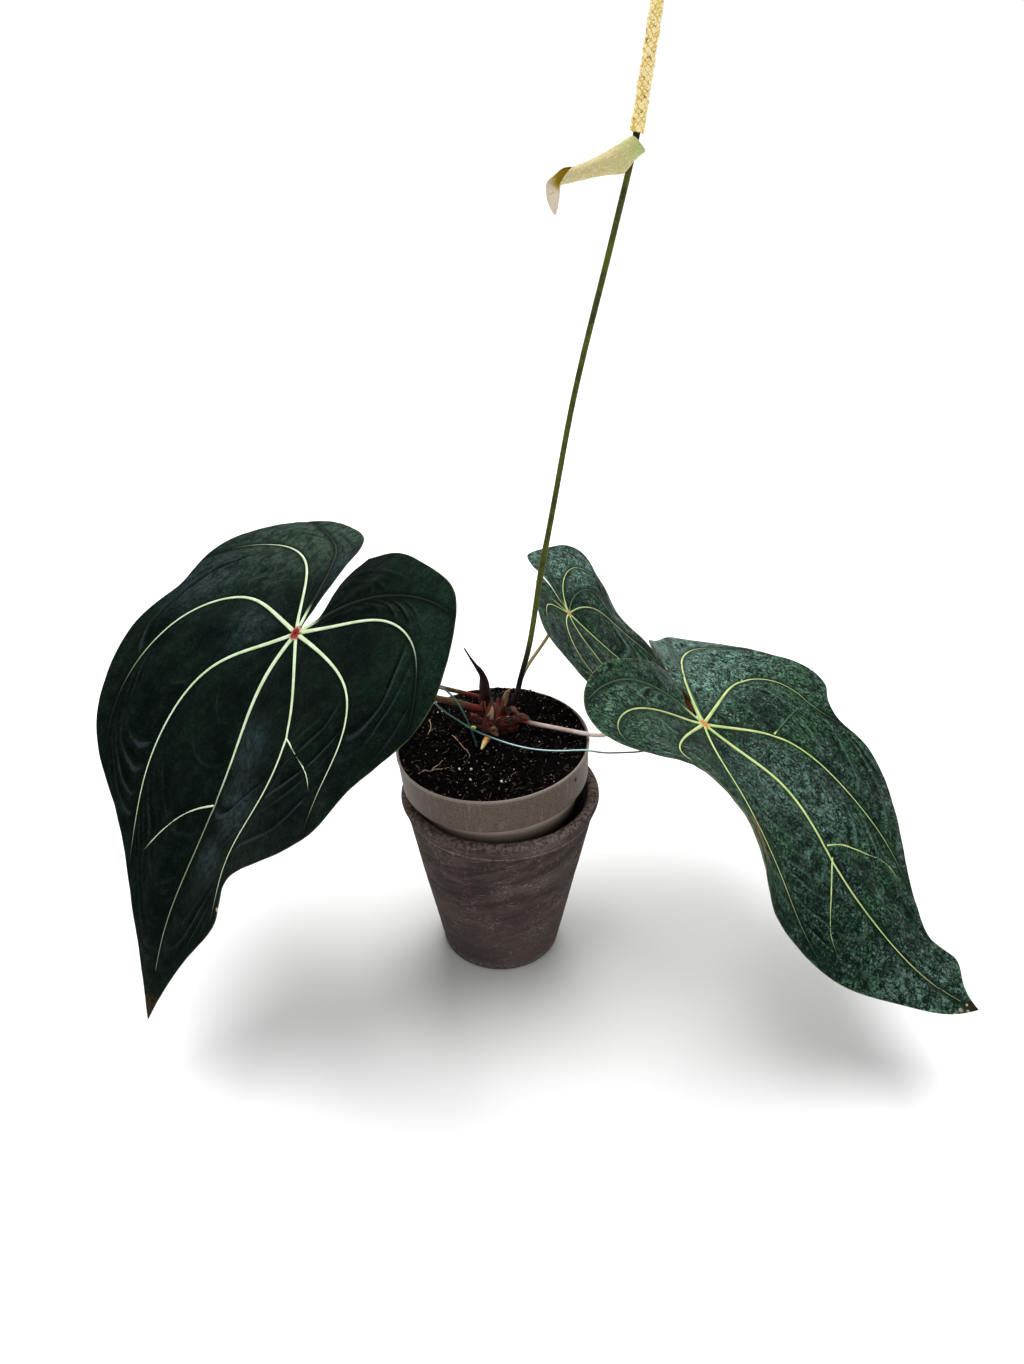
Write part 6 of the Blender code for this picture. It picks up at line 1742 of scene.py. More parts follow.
def make_root_tip():
    """The young root at the front of the crown, orange above and cream at its tip."""
    graph = Finish("young_root", 0.45, Specular_IOR_Level=0.4)
    along = graph.attribute("along")
    cloud = graph.noise(graph.object_place(), 500.0, 3.0, 0.6)
    tone = graph.over((0.46, 0.2, 0.03), (0.7, 0.55, 0.22), along, 0.62, 0.9)
    tone = graph.over(tone, (0.3, 0.12, 0.03), cloud, 0.5, 0.7, 0.4)
    material = graph.done(tone, cloud, 0.0002)

    def radius(share):
        return float(spline(np.linspace(0, 1, len(ROOT_TIP_RADII)), ROOT_TIP_RADII, [share])[0])

    root = tube_piece("young_root_tip", ROOT_TIP_ROUTE, radius, material, 0.0004, 20, 700.0, 0.0002)
    finish_piece(root, "root", "root_tip")


def route_to_junction(route, leaf_name, radius):
    """Ends a stalk's route against its leaf's junction, square to the blade."""
    bend = Bend(LEAVES[leaf_name])
    under = bend.surface([(0, 0)])[0]
    normal = bend.normals([(0, 0)])[0]
    drop = BLADE_THICKNESS / 2 + radius * 0.25
    return route + (tuple(under - normal * (drop + 0.006)), tuple(under - normal * drop))


def stalk_radius(radius, knee=0.25, knee_reach=0.045):
    """Radius along a leaf stalk: thicker where it leaves the crown, with a knee under its leaf."""
    def at(share):
        foot = 0.35 * math.exp(-(share / 0.06) ** 2)
        joint = knee * math.exp(-(max(0.0, 0.955 - share) / knee_reach) ** 2)
        return radius * (1.0 + foot + joint)

    return at


def make_stalks(stalks):
    """The three leaf stalks, the old one beside the left leaf's, and the flower stalk."""
    pink = stalk_material("petiole_pink", stalks.pink, stalks.pink_second, stalks.speck, 0.35,
                          (stalks.foot_red, 0.155), knee=(stalks.knee_olive, 0.58))
    brown = stalk_material("petiole_brown", stalks.brown, stalks.brown_second, stalks.speck, 0.3,
                           (stalks.foot_red, 0.16))
    olive = stalk_material("petiole_olive", stalks.olive, stalks.olive_second, stalks.speck, 0.25,
                           (stalks.foot_red, 0.08))
    old = stalk_material("old_stalk_skin", stalks.brown_second, stalks.brown, stalks.speck, 0.35,
                         (stalks.foot_red, 0.3))
    for name, route, leaf_name, radius, knee, material in (
            ("petiole_left", PETIOLE_LEFT_ROUTE, "leaf_left", PETIOLE_LEFT_RADIUS, (0.25, 0.045), brown),
            ("petiole_right", PETIOLE_RIGHT_ROUTE, "leaf_right", PETIOLE_RIGHT_RADIUS, (0.75, 0.14), pink),
            ("petiole_small", PETIOLE_SMALL_ROUTE, "leaf_small", PETIOLE_SMALL_RADIUS, (0.25, 0.045), olive)):
        whole = route_to_junction(route, leaf_name, radius)
        stalk = tube_piece(f"leaf_stalk_{name[8:]}", whole, stalk_radius(radius, *knee), material,
                           STALK_SPACING, STALK_SIDES, STALK_GRAIN, radius * 0.1)
        finish_piece(stalk, "petiole", name)
    old_stalk = tube_piece("old_leaf_stalk", OLD_STALK_ROUTE, stalk_radius(OLD_STALK_RADIUS, 0.0), old,
                           STALK_SPACING, STALK_SIDES, STALK_GRAIN, 0.00025)
    finish_piece(old_stalk, "petiole", "old_stalk")

    whole = length_of(PEDUNCLE_ROUTE)

    def peduncle_radius(share):
        height = path(PEDUNCLE_ROUTE, [share])[0][2]
        swelling = PEDUNCLE_SWELLING * math.exp(-((height - PEDUNCLE_SWELLING_HEIGHT) / 0.01) ** 2)
        return PEDUNCLE_RADIUS * (1.0 - 0.1 * share * whole / 0.32 + swelling)

    skin = stalk_material("peduncle_skin", stalks.peduncle, stalks.peduncle_second, stalks.speck, 0.2,
                          (stalks.peduncle_foot, 0.2), 0.42)
    peduncle = tube_piece("flower_stalk", PEDUNCLE_ROUTE, peduncle_radius, skin, 0.0014, STALK_SIDES, 200.0,
                          0.00018)
    finish_piece(peduncle, "flower_stalk", "peduncle")


def make_wire():
    """The coated wire, one even tube on its route."""
    wire = tube_piece("garden_wire", WIRE_ROUTE, lambda share: WIRE_RADIUS, wire_material(), 0.001, 12)
    finish_piece(wire, "green_wire", "support_wire")


class Blade:
    """One leaf blade: its flat drawing, its bend, and the small relief that stands on it."""

    def __init__(self, name):
        self.name = name
        self.leaf = LEAVES[name]
        self.marks = BLADE_MARKS[name]
        self.bend = Bend(self.leaf)
        self.scale = self.leaf["length"] / LEAVES["leaf_left"]["length"]
        fine = np.linspace(0, 1, 420)
        rims = [path(self.leaf[side]["outline"], fine) for side in ("right", "left")]
        self.rim = np.vstack([rims[0], rims[1][::-1]])
        sinus = [path(((0, 0),) + self.leaf[side]["sinus"] + self.leaf[side]["outline"][:1], fine[::4])
                 for side in ("right", "left")]
        self.margin = np.vstack([self.rim] + sinus)
        self.veins = []
        for side, rim in zip(("right", "left"), rims):
            for vein, pale in zip(self.leaf[side]["veins"], self.marks["pale"][side]):
                end = rim[int(np.argmin(np.linalg.norm(rim - vein[-1], axis=1)))]
                self.veins.append((path(((0, 0),) + vein[:-1] + (tuple(end),), fine), 0.8, pale, 1.0))
        self.veins.append((path(((0, 0),) + self.leaf["midrib"] + ((0.0, self.leaf["length"]),), fine), 1.0,
                           *self.marks["midrib"]))
        self.branches = [path(branch, fine[::3]) for branch, pale in self.marks["branches"]]

    def distances(self, flat):
        """Distances of flat points to the nearest main vein and to the margin, and places round it."""
        vein = nearest_to(flat, np.vstack([line for line, *rest in self.veins]))[0]
        margin, at = nearest_to(flat, self.margin)
        return vein, margin, np.minimum(at, len(self.rim)) / len(self.rim)

    def lift(self, flat, vein, margin, around):
        """Height of the relief over the plain bend at flat points."""
        puff = QUILT_RELIEF * self.scale * (1 - bell(vein / QUILT_REACH, self.scale))
        puff = puff * (1 - bell(margin, 0.01))
        wave = MARGIN_WAVE * self.scale * np.sin(2 * math.pi * MARGIN_WAVES * around)
        wave = wave * bell(margin / MARGIN_REACH, self.scale)
        wave = wave * smooth_step(np.hypot(flat[:, 0], flat[:, 1]), 0.02, 0.06)
        seams = np.zeros(len(flat))
        if self.branches:
            near = nearest_to(flat, np.vstack(self.branches))[0]
            seams = -SEAM_DEPTH * bell(near, 0.0028)
        places = on_ground(flat)
        calm = 1 - bell(vein, VEIN_CALM)
        pebbles = (lumps(places, PEBBLE_SIZE, 1, 3.0) * PEBBLE_RELIEF
                   + lumps(places, 0.017, 2, 8.0) * 0.0005 * self.scale) * calm
        return puff + wave + seams + pebbles

    def net(self, spokes, rings, between):
        """Finer cross veins and lengthwise folds between the main veins, for each spoke and ring."""
        chance = random.Random(len(self.name) + int(self.leaf["length"] * 1000))
        net = np.zeros((len(spokes), len(rings)))
        folds = np.zeros_like(net)
        count = (len(spokes) - 1) // between
        for i in range(count):
            rows = slice(i * between, (i + 1) * between + 1)
            veins = spokes[i * between:(i + 2) * between:between]
            run = np.linalg.norm(np.diff(veins, axis=1), axis=2).sum(axis=1)
            steps = max(3, round(float(run.mean()) / NET_SPACING))
            blend = np.linspace(0, 1, between + 1)[:, None]
            lean = NET_LEAN * (1 - (2 * blend - 1) ** 2)
            flat = spokes[rows].reshape(-1, 2)
            shake = lumps(on_ground(flat), 0.03, 2, 11.0 + i)
            phase = steps * (rings[None, :] - lean) + 0.3 * shake.reshape(between + 1, -1) + chance.random()
            off = (phase - np.round(phase)) * run.mean() / steps
            depths = np.array([chance.uniform(0.0, 1.0) ** 1.3 for step in range(steps + 6)])
            depth = depths[np.clip(np.round(phase).astype(int) + 2, 0, steps + 5)]
            depth = depth * np.clip(0.75 + 0.9 * shake.reshape(between + 1, -1), 0.15, 1.3)
            crease = bell(off, NET_WIDTH) - 0.6 * np.exp(-(off / NET_WIDTH - 1.9) ** 2)
            net[rows] = crease * smooth_step(rings, 0.22, 0.42) * depth
            turns = chance.choice((1.0, 1.5, 2.0))
            height = FOLD_HEIGHT * self.scale * chance.uniform(0.5, 1.0)
            folds[rows] = height * np.sin(math.pi * blend) * np.sin(
                2 * math.pi * turns * blend + chance.uniform(0, 6.28)) * np.sin(math.pi * rings)[None, :]
        return net, folds

    def raised(self, flat, extra):
        """Places over the blade's middle surface, by extra along its normal."""
        flat = np.asarray(flat, float)
        lift = self.lift(flat, *self.distances(flat))
        return self.bend.surface(flat) + self.bend.normals(flat) * (lift + extra)[:, None]

    def mesh(self, between, count):
        """The blade as a closed thin sheet, with its flat places and distances stored."""
        rings = np.linspace(0, 1, count) ** 1.1
        spokes = flat_spokes(self.leaf, between, rings)
        per = count - 1
        flat = np.vstack([spokes[:, 1:].reshape(-1, 2), [(0, 0)]])
        vein, margin, around = self.distances(flat)
        net, folds = self.net(spokes, rings, between)
        calm = 1 - bell(vein, VEIN_CALM)
        for branch in self.branches:
            calm = calm * (1 - 0.9 * bell(nearest_to(flat, branch)[0], 0.0035))
        net = np.append(net[:, 1:].reshape(-1), 0.0) * calm * smooth_step(margin, 0.0005, 0.008)
        lift = self.lift(flat, vein, margin, around) - NET_DEPTH * math.sqrt(self.scale) * net
        lift = lift + np.append(folds[:, 1:].reshape(-1), 0.0) * calm
        normal = self.bend.normals(flat)
        middle = self.bend.surface(flat) + normal * lift[:, None]
        half = normal * (BLADE_THICKNESS / 2 * (1 - 0.55 * bell(margin, 0.003)))[:, None]
        hub = len(flat) - 1
        top = []
        for i in range(len(spokes) - 1):
            a, b = i * per, (i + 1) * per
            top.append((hub, a, b))
            top += [(a + j, a + j + 1, b + j + 1, b + j) for j in range(per - 1)]
        last = (len(spokes) - 1) * per
        border = ([hub] + list(range(per)) + [i * per + per - 1 for i in range(1, len(spokes) - 1)]
                  + [last + j for j in range(per - 1, -1, -1)])
        total = len(flat)
        faces = top + [tuple(total + k for k in reversed(face)) for face in top]
        faces += [(b, a, total + a, total + b) for a, b in zip(border, border[1:] + border[:1])]
        mesh = mesh_from(self.name + "_blade", np.vstack([middle + half, middle - half]), faces)
        under = np.zeros(len(faces), np.int32)
        under[len(top):2 * len(top)] = 1
        mesh.polygons.foreach_set("material_index", under)
        store(mesh, "net", np.tile(net, 2))
        store(mesh, "vein", np.tile(vein * 1000, 2))
        store(mesh, "margin", np.tile(margin * 1000, 2))
        store_uv(mesh, np.tile(flat / UV_SPAN + UV_START, (2, 1)))
        return mesh

    def vein_body(self, line, width, end_width, pale, faded=1.0):
        """A lens-shaped tube along a flat line, proud of the blade above and more below."""
        shares = np.linspace(0, 1, max(12, int(length_of(line[::20]) / 0.0016)))
        centre = path(line[::20], shares)
        along = unit(np.gradient(centre, axis=0))
        across = np.column_stack([-along[:, 1], along[:, 0]])
        thick = end_width + (width - end_width) * (1 - shares) ** 1.5
        thick = thick * (1 - 0.5 * smooth_step(shares, 0.88, 1.0))
        angles = np.arange(10) * math.pi / 5
        rows, flats = [], []
        for angle in angles:
            flats.append(centre + across * (thick / 2 * math.cos(angle))[:, None])
            proud = 0.00008 + 0.13 * thick if angle < math.pi else 0.00015 + 0.34 * thick
            rows.append(math.sin(angle) * (BLADE_THICKNESS / 2 + proud))
        flat = np.stack(flats, axis=1).reshape(-1, 2)
        extra = np.stack(rows, axis=1).reshape(-1)
        places = self.raised(flat, extra).reshape(len(shares), len(angles), 3)
        vertices, faces = tube_rings(centre, lambda i: places[i])
        fade = np.repeat(faded * smooth_step(shares, pale * 0.8, min(pale * 1.15 + 0.05, 1.02)), len(angles))
        return vertices, faces, flat / UV_SPAN + UV_START, fade

    def hub_body(self, radius):
        """The low dome where the veins meet over the stalk."""
        shares = np.linspace(-1, 1, 13)
        angles = np.arange(24) * math.pi / 12
        reach = radius * np.sqrt(1 - (shares * 0.995) ** 2)
        height = np.where(shares > 0, shares * 0.00075, shares * 0.0013)
        flat = (reach[:, None, None] * np.stack([np.cos(angles), np.sin(angles)], axis=-1)).reshape(-1, 2)
        places = self.raised(flat, np.repeat(height, 24)).reshape(13, 24, 3)
        vertices, faces = tube_rings(shares, lambda i: places[i])
        return vertices, faces, flat / UV_SPAN + UV_START, np.zeros(len(vertices))

    def vein_mesh(self):
        """All main veins and branches of the blade in one mesh."""
        width = self.marks["vein_width"]
        bodies = [self.vein_body(line, width * share, 0.0006 * self.scale, pale, faded)
                  for line, share, pale, faded in self.veins]
        bodies += [self.vein_body(line, width * 0.4, 0.0006 * self.scale, pale)
                   for line, (branch, pale) in zip(self.branches, self.marks["branches"])]
        bodies.append(self.hub_body(width * 1.15))
        return joined_bodies(self.name + "_veins", bodies, "fade")


def make_leaves(leaves):
    """The three blades with their undersides, and the raised veins on each."""
    for name, between, rings in BLADE_GRIDS:
        blade = Blade(name)
        spots = blade.marks["spots"]
        dark = name == "leaf_left"
        small = [spot for spot in spots if spot[2] not in SPOT_SHARES]
        item = add_object(name + "_blade", blade.mesh(between, rings),
                          blade_material(name + "_velvet", leaves, dark, spots),
                          underside_material(name + "_underside", leaves, small))
        finish_piece(item, "blade_dark" if dark else "blade_green", name)
        tones = (leaves.vein_white, leaves.vein_cream) if dark else (leaves.vein_green, leaves.vein_lime)
        veins = add_object(name + "_veins", blade.vein_mesh(), vein_material(
            name + "_vein_skin", *tones, leaves.vein_spent if dark else leaves.vein_dull, small))
        finish_piece(veins, "blade_dark" if dark else "blade_green")


def make_spathe(flower):
    """The flower's bract: it clasps the stalk's top and rolls up, with its tip bent down."""
    rows, columns = 110, 44
    own = np.linspace(0, 1, len(SPATHE_STATIONS))
    table = np.array([metres((*upper, *lower, y, bulge)) + (start, end)
                      for upper, lower, y, bulge, start, end in SPATHE_STATIONS])
    shares = np.linspace(0, 1, rows)
    across = np.linspace(0, 1, columns)
    grid = []
    for upper_x, upper_z, lower_x, lower_z, y, bulge, start, end in spline(own, table, shares):
        centre = np.array(((upper_x + lower_x) / 2, y, (upper_z + lower_z) / 2))
        reach = np.array(((upper_x - lower_x) / 2, 0, (upper_z - lower_z) / 2))
        angles = np.radians(start + (end - start) * across)[:, None]
        grid.append(centre + reach * np.cos(angles) + np.array((0, -bulge, 0)) * np.sin(angles))
    grid = np.array(grid)
    normal = unit(np.cross(np.gradient(grid, axis=0), np.gradient(grid, axis=1)))
    ribs = 0.00007 * np.sin(across * 40.0)[None, :] * np.sin(math.pi * shares)[:, None]
    grid = grid + normal * ribs[:, :, None]
    rim = np.minimum(np.minimum(across, 1 - across)[None, :] * 8,
                     np.minimum(shares, 1 - shares)[:, None] * 20)
    vertices, faces = sheet_body(grid, SPATHE_THICKNESS * (0.55 + 0.45 * np.clip(rim, 0, 1)))
    mesh = mesh_from("rolled_spathe", vertices, faces)
    flat = np.stack(np.meshgrid(across, shares), axis=-1).reshape(-1, 2)[:, ::-1]
    store_uv(mesh, np.vstack([flat, flat]))
    face_outwards(mesh)
    middles = np.array([grid[i].mean(axis=0) for i in range(rows)])
    inward = np.zeros(len(mesh.polygons), np.int32)
    for polygon in mesh.polygons:
        row = min(polygon.vertices[0] % (rows * columns) // columns, rows - 1)
        inward[polygon.index] = int(polygon.normal.dot(polygon.center - Vector(middles[row])) < 0)
    mesh.polygons.foreach_set("material_index", inward)
    item = add_object("rolled_spathe", mesh, spathe_material(flower, False), spathe_material(flower, True))
    finish_piece(item, "spathe", "spathe")


def floret_bit():
    """One floret: a low four-sided knob with a rounded top, one unit across, facing +Z."""
    levels = ((0.5, -0.1), (0.52, 0.1), (0.4, 0.26), (0.16, 0.34))
    sides = 8
    rings = []
    for radius, height in levels:
        rings.append([(radius * (1.0 + 0.12 * math.cos(4 * a)) * math.cos(a),
                       radius * (1.0 + 0.12 * math.cos(4 * a)) * math.sin(a), height)
                      for a in np.arange(sides) * 2 * math.pi / sides])
    vertices, faces = tube_rings(rings, lambda i: rings[i])
    mesh = mesh_from("floret", vertices, faces)
    store(mesh, "top", smooth_step(np.array([v.co.z for v in mesh.vertices]), 0.05, 0.28))
    return bpy.data.objects.new("floret", mesh)


def make_spadix(flower):
    """The flower spike: a dark foot, a tapering body, and spirals of florets over it."""
    direction = SPADIX_DIRECTION.normalized()
    foot = SPADIX_STIPE_LENGTH
    material = spadix_material(flower)
    shares = np.linspace(0, 1, 70)
    core = SPADIX_RADIUS - 0.00065

    def taper(share):
        return 1 - SPADIX_TAPER * share ** 1.3

    top = foot + SPADIX_LENGTH
    heights = np.concatenate([[foot - 0.0002], foot + SPADIX_LENGTH * shares, [top + 0.001, top + 0.0015]])
    radii = np.concatenate([[core * 0.72], core * taper(shares), [core * 0.5, core * 0.22]])
    points = [SPADIX_FOOT + direction * height for height in heights]
    mesh = route_mesh("spadix_body_route", points, radii)
    body = grow("spadix_body", "Tube on a route", mesh, material, Sides=24, Grain=500.0, Lumpiness=0.0001)
    finish_piece(body, "spadix", "spadix")

    route = tuple(tuple(SPADIX_FOOT + direction * height) for height in (0.0, foot * 0.5, foot + 0.001))
    skin = stalk_material("stipe_skin", (0.016, 0.014, 0.008), (0.05, 0.04, 0.015), (0.2, 0.15, 0.06), 0.2)
    stipe = tube_piece("spadix_stipe", route, lambda share: STIPE_RADIUS * (1 + 0.15 * share), skin, 0.0004)
    finish_piece(stipe, "flower_stalk")

    point = bpy.data.meshes.new("florets_seed")
    point.from_pydata([(0, 0, 0)], [], [])
    florets = grow("spadix_florets", "Florets on a spike", point, material, Bit=floret_bit(),
                   Count=flower.florets, Length=SPADIX_LENGTH - 0.0006, Radius=core - 0.0001,
                   Turn=flower.turn, Taper=SPADIX_TAPER, Size=flower.floret_size)
    turn = Vector((0, 0, 1)).rotation_difference(direction).to_matrix().to_4x4()
    florets.data.transform(Matrix.Translation(SPADIX_FOOT + direction * (foot + 0.0006)) @ turn)
    finish_piece(florets, "spadix")


def make_stage(stage):
    """A plain pale floor, even light, a soft sun, two softboxes and the camera at the viewing angle."""
    bpy.ops.mesh.primitive_circle_add(vertices=96, radius=stage.floor_radius, fill_type="NGON")
    floor = bpy.context.active_object
    floor.name = "floor"
    graph = Finish("pale_floor", 0.9, Specular_IOR_Level=0.0)
    cloud = graph.noise(graph.object_place(), 3.0, 3.0)
    floor.data.materials.append(graph.done(graph.mix(cloud, (0.9, 0.9, 0.9), (0.92, 0.92, 0.92))))

    world = bpy.data.worlds.new("pale_studio")
    bpy.context.scene.world = world
    world.use_nodes = True
    light = Graph(world.node_tree)
    for node in list(world.node_tree.nodes):
        world.node_tree.nodes.remove(node)
    glow = light.add("ShaderNodeBackground", {"Color": (0.96, 0.98, 1.0, 1.0), "Strength": stage.sky})
    seen = light.add("ShaderNodeBackground", {"Color": (1.0, 1.0, 1.0, 1.0), "Strength": 1.0})
    camera_ray = light.add("ShaderNodeLightPath", out="Is Camera Ray")
    both = light.add("ShaderNodeMixShader", {0: camera_ray, 1: glow, 2: seen})
    light.feed(world.node_tree.nodes.new("ShaderNodeOutputWorld").inputs["Surface"], both)

    for name, kind, energy, size, place in (
            ("sun", "SUN", stage.sun, math.radians(45), (-0.35, 0.15, 2.4)),
            ("back_softbox", "AREA", stage.back, 1.4, (0.25, 1.3, 1.25)),
            ("front_softbox", "AREA", stage.front, 1.0, (0.9, -1.5, 0.9))):
        lamp = bpy.data.lights.new(name, kind)
        lamp.energy = energy
        if kind == "SUN":
            lamp.angle = size
        else:
            lamp.size = size
        item = link(name, lamp)
        item.location = place
        item.rotation_euler = (LAMP_AIM - Vector(place)).to_track_quat("-Z", "Y").to_euler()

    camera = bpy.data.cameras.new("camera")
    camera.sensor_width = 36.0
    camera.lens = stage.focal_length
    item = link("camera", camera)
    item.location = CAMERA_PLACE
    item.rotation_euler = (math.pi / 2 - stage.pitch, 0.0, 0.0)
    bpy.context.scene.camera = item
    bpy.context.scene.view_settings.view_transform = "Standard"


def color(name, description, default):
    return bpy.props.FloatVectorProperty(
        name=name, description=description, default=default, subtype="COLOR", size=3, min=0.0, max=1.0)


def count(name, description, default, lowest, highest):
    return bpy.props.IntProperty(name=name, description=description, default=default, min=lowest, max=highest)


def number(name, description, default, **kind):
    return bpy.props.FloatProperty(name=name, description=description, default=default, **kind)


class PotSettings(bpy.types.PropertyGroup):
    """Colours of the two pots."""
    clay_dark: color("Clay, dark", "Dark wiping marks of the cover pot", (0.034, 0.024, 0.022))
    clay_color: color("Clay", "Main colour of the cover pot", (0.068, 0.049, 0.043))
    clay_pale: color("Clay, pale", "Broad paler patches of the cover pot", (0.12, 0.092, 0.082))
    clay_scuff: color("Clay, scuffs", "Scuffs and worn edges of the cover pot", (0.3, 0.24, 0.22))
    plastic_dark: color("Plastic, dark", "Dark speckle of the nursery pot", (0.074, 0.052, 0.04))
    plastic_color: color("Plastic", "Main colour of the nursery pot", (0.128, 0.093, 0.072))
    # The wall colour is painted light under the collar; the rubbed colour also gives the rim edge a painted
    # highlight
    plastic_wall: color("Plastic, wall", "Cleaner wall under the collar", (0.42, 0.34, 0.29))
    plastic_rub_and_rim_highlight: color("Plastic, rubbed", "Rubbed streaks and rim edge of the nursery pot",
                       (0.27, 0.22, 0.19))


class SoilSettings(bpy.types.PropertyGroup):
    """Colours of the soil and the number of loose bits on it."""
    dark: color("Peat", "Damp dark peat", (0.0014, 0.0011, 0.0013))
    brown: color("Peat, brown", "Drier brown peat", (0.006, 0.0038, 0.0038))
    fibre: color("Fibre", "Red-brown plant fibres", (0.03, 0.016, 0.013))
    fibre_pale: color("Fibre, pale", "Tan plant fibres", (0.26, 0.18, 0.145))
    grit: color("Grit", "Dull mineral grains", (0.075, 0.058, 0.05))
    grain_pale: color("Grains", "Pale tan and pinkish grains", (0.66, 0.55, 0.5))
    grains: count("Grains", "Number of pale grains on the soil", 300, 0, 3000)
    crumbs: count("Crumbs", "Number of crumbs on the soil", 2600, 0, 6000)
    rim_crumbs: count("Rim crumbs", "Number of crumbs on the clay lip", 40, 0, 500)
    fibres: count("Fibres", "Number of fibres on the soil", 620, 0, 2000)


class CrownSettings(bpy.types.PropertyGroup):
    """Colours of the dry sheaths and the number of torn fibres."""
    sheath_dark: color("Sheath, dark", "Dark parts of the dry sheaths", (0.007, 0.002, 0.002))
    sheath_red: color("Sheath", "Red-brown of the dry sheaths", (0.21, 0.017, 0.01))
    sheath_pale: color("Sheath, pale", "Torn edges and threads", (0.56, 0.34, 0.23))
    shreds: count("Shreds", "Number of torn fibres", 120, 0, 600)


class LeafSettings(bpy.types.PropertyGroup):
    """Colours of the blades and of their veins."""
    dark_deep: color("Dark leaf, deep", "Deepest tone of the left leaf", (0.002, 0.0048, 0.0038))
    dark_lit: color("Dark leaf, lit", "Greener patches of the left leaf", (0.0052, 0.0125, 0.0072))
    # The sheen colours are painted sheen on the pebble tops and the fold ridges of the blades
    dark_bloom: color("Dark leaf, bloom", "Blue-grey flecks of the left leaf", (0.036, 0.05, 0.054))
    green_deep: color("Green leaf, deep", "Deepest tone of the green leaves", (0.0052, 0.02, 0.0105))
    green_lit: color("Green leaf, lit", "Greener patches of the green leaves", (0.036, 0.11, 0.044))
    green_bloom: color("Green leaf, bloom", "Pale flecks of the green leaves", (0.165, 0.29, 0.23))
    edge: color("Margin", "Thin light margin of the blades", (0.2, 0.24, 0.1))
    under_deep: color("Underside, deep", "Deeper tone of the undersides", (0.11, 0.115, 0.05))
    under_lit: color("Underside", "Main tone of the undersides", (0.21, 0.19, 0.09))
    vein_white: color("Vein, pale", "Palest veins of the left leaf", (0.66, 0.78, 0.56))
    vein_cream: color("Vein, cream", "Yellower veins of the left leaf", (0.52, 0.66, 0.36))
    vein_spent: color("Vein, spent", "Thin dark ends of the left leaf's veins", (0.0095, 0.015, 0.01))
    vein_dull: color("Vein, dull", "Thin dull ends of the green leaves' veins", (0.046, 0.105, 0.046))
    vein_green: color("Vein, green", "Veins of the green leaves", (0.36, 0.5, 0.17))
    vein_lime: color("Vein, lime", "Yellower veins of the green leaves", (0.52, 0.62, 0.26))


class StalkSettings(bpy.types.PropertyGroup):
    """Colours of the stalks."""
    pink: color("Right stalk", "Pink-tan stalk of the right leaf", (0.72, 0.62, 0.6))
    pink_second: color("Right stalk, second", "Its browner patches", (0.52, 0.38, 0.32))
    brown: color("Left stalk", "Brown stalk of the left leaf", (0.082, 0.044, 0.022))
    brown_second: color("Left stalk, second", "Its greener patches", (0.044, 0.032, 0.014))
    olive: color("Small stalk", "Tan stalk of the small leaf", (0.32, 0.24, 0.1))
    olive_second: color("Small stalk, second", "Its olive patches", (0.21, 0.18, 0.065))
    knee_olive: color("Stalk knee", "Olive-tan end of the right stalk", (0.2, 0.155, 0.035))
    speck: color("Specks", "Small pale specks on the stalks", (0.5, 0.4, 0.28))
    foot_red: color("Stalk foot", "Red tone where stalks leave the crown", (0.11, 0.018, 0.012))
    peduncle: color("Flower stalk", "Dark olive of the flower stalk", (0.078, 0.098, 0.01))
    peduncle_second: color("Flower stalk, second", "Its browner patches", (0.036, 0.04, 0.009))
    peduncle_foot: color("Flower stalk foot", "Nearly black foot of the flower stalk", (0.007, 0.005, 0.005))


class FlowerSettings(bpy.types.PropertyGroup):
    """Colours of the flower and the size of its florets."""
    spathe_green: color("Spathe, green", "Green end by the stalk", (0.44, 0.51, 0.17))
    spathe_beige: color("Spathe, beige", "Beige middle", (0.56, 0.48, 0.22))
    spathe_pink: color("Spathe, pink", "Pink-beige tip", (0.78, 0.68, 0.54))
    spathe_olive: color("Spathe, olive", "Olive inside and fine lines", (0.34, 0.25, 0.03))
    spathe_inner: color("Spathe, inside", "Yellow-olive inner side", (0.46, 0.33, 0.012))
    spadix_gold: color("Spadix, gold", "Deep gold between the florets", (0.8, 0.56, 0.14))
    spadix_yellow: color("Spadix, yellow", "Yellow sides of the florets", (0.9, 0.7, 0.24))
    spadix_pale: color("Spadix, pale", "Pale tops of the florets", (0.92, 0.8, 0.44))
    florets: count("Florets", "Number of florets on the spike", 430, 10, 2500)
    floret_size: number("Floret size", "Width of one floret", 0.00245, unit="LENGTH", precision=5)
    turn: number("Turn", "Turn from one floret to the next", math.radians(137.508), unit="ROTATION")


class StageSettings(bpy.types.PropertyGroup):
    """Lights, camera and floor."""
    focal_length: number("Focal length", "Camera lens", 27.05, unit="CAMERA")
    pitch: number("Pitch", "How far the camera looks down", math.radians(30.5), unit="ROTATION")
    floor_radius: number("Floor radius", "Reach of the floor", 30.0, unit="LENGTH")
    sky: number("Sky", "Strength of the even light", 0.36)
    sun: number("Sun", "Strength of the soft sun", 3.1)
    back: number("Back softbox", "Power of the softbox behind", 18.0, unit="POWER")
    front: number("Front softbox", "Power of the softbox in front", 3.0, unit="POWER")


SETTINGS = {"pots": PotSettings, "soil": SoilSettings, "crown": CrownSettings, "leaves": LeafSettings,
            "stalks": StalkSettings, "flower": FlowerSettings, "stage": StageSettings}


def settings_of(context, name):
    return getattr(context.scene, "anthurium_" + name)


def prepare():
    """Builds the node groups that the pieces share, the first time that one is needed."""
    if "Leaf skin" not in bpy.data.node_groups:
        make_shared_groups()
        make_geometry_trees()


class ANTHURIUM_OT_cover_pot(bpy.types.Operator):
    """Make the unglazed clay cover pot"""
    bl_idname = "anthurium.cover_pot"
    bl_label = "Cover pot"

    def execute(self, context):
        prepare()
        make_clay_pot(settings_of(context, "pots"))
        return {"FINISHED"}


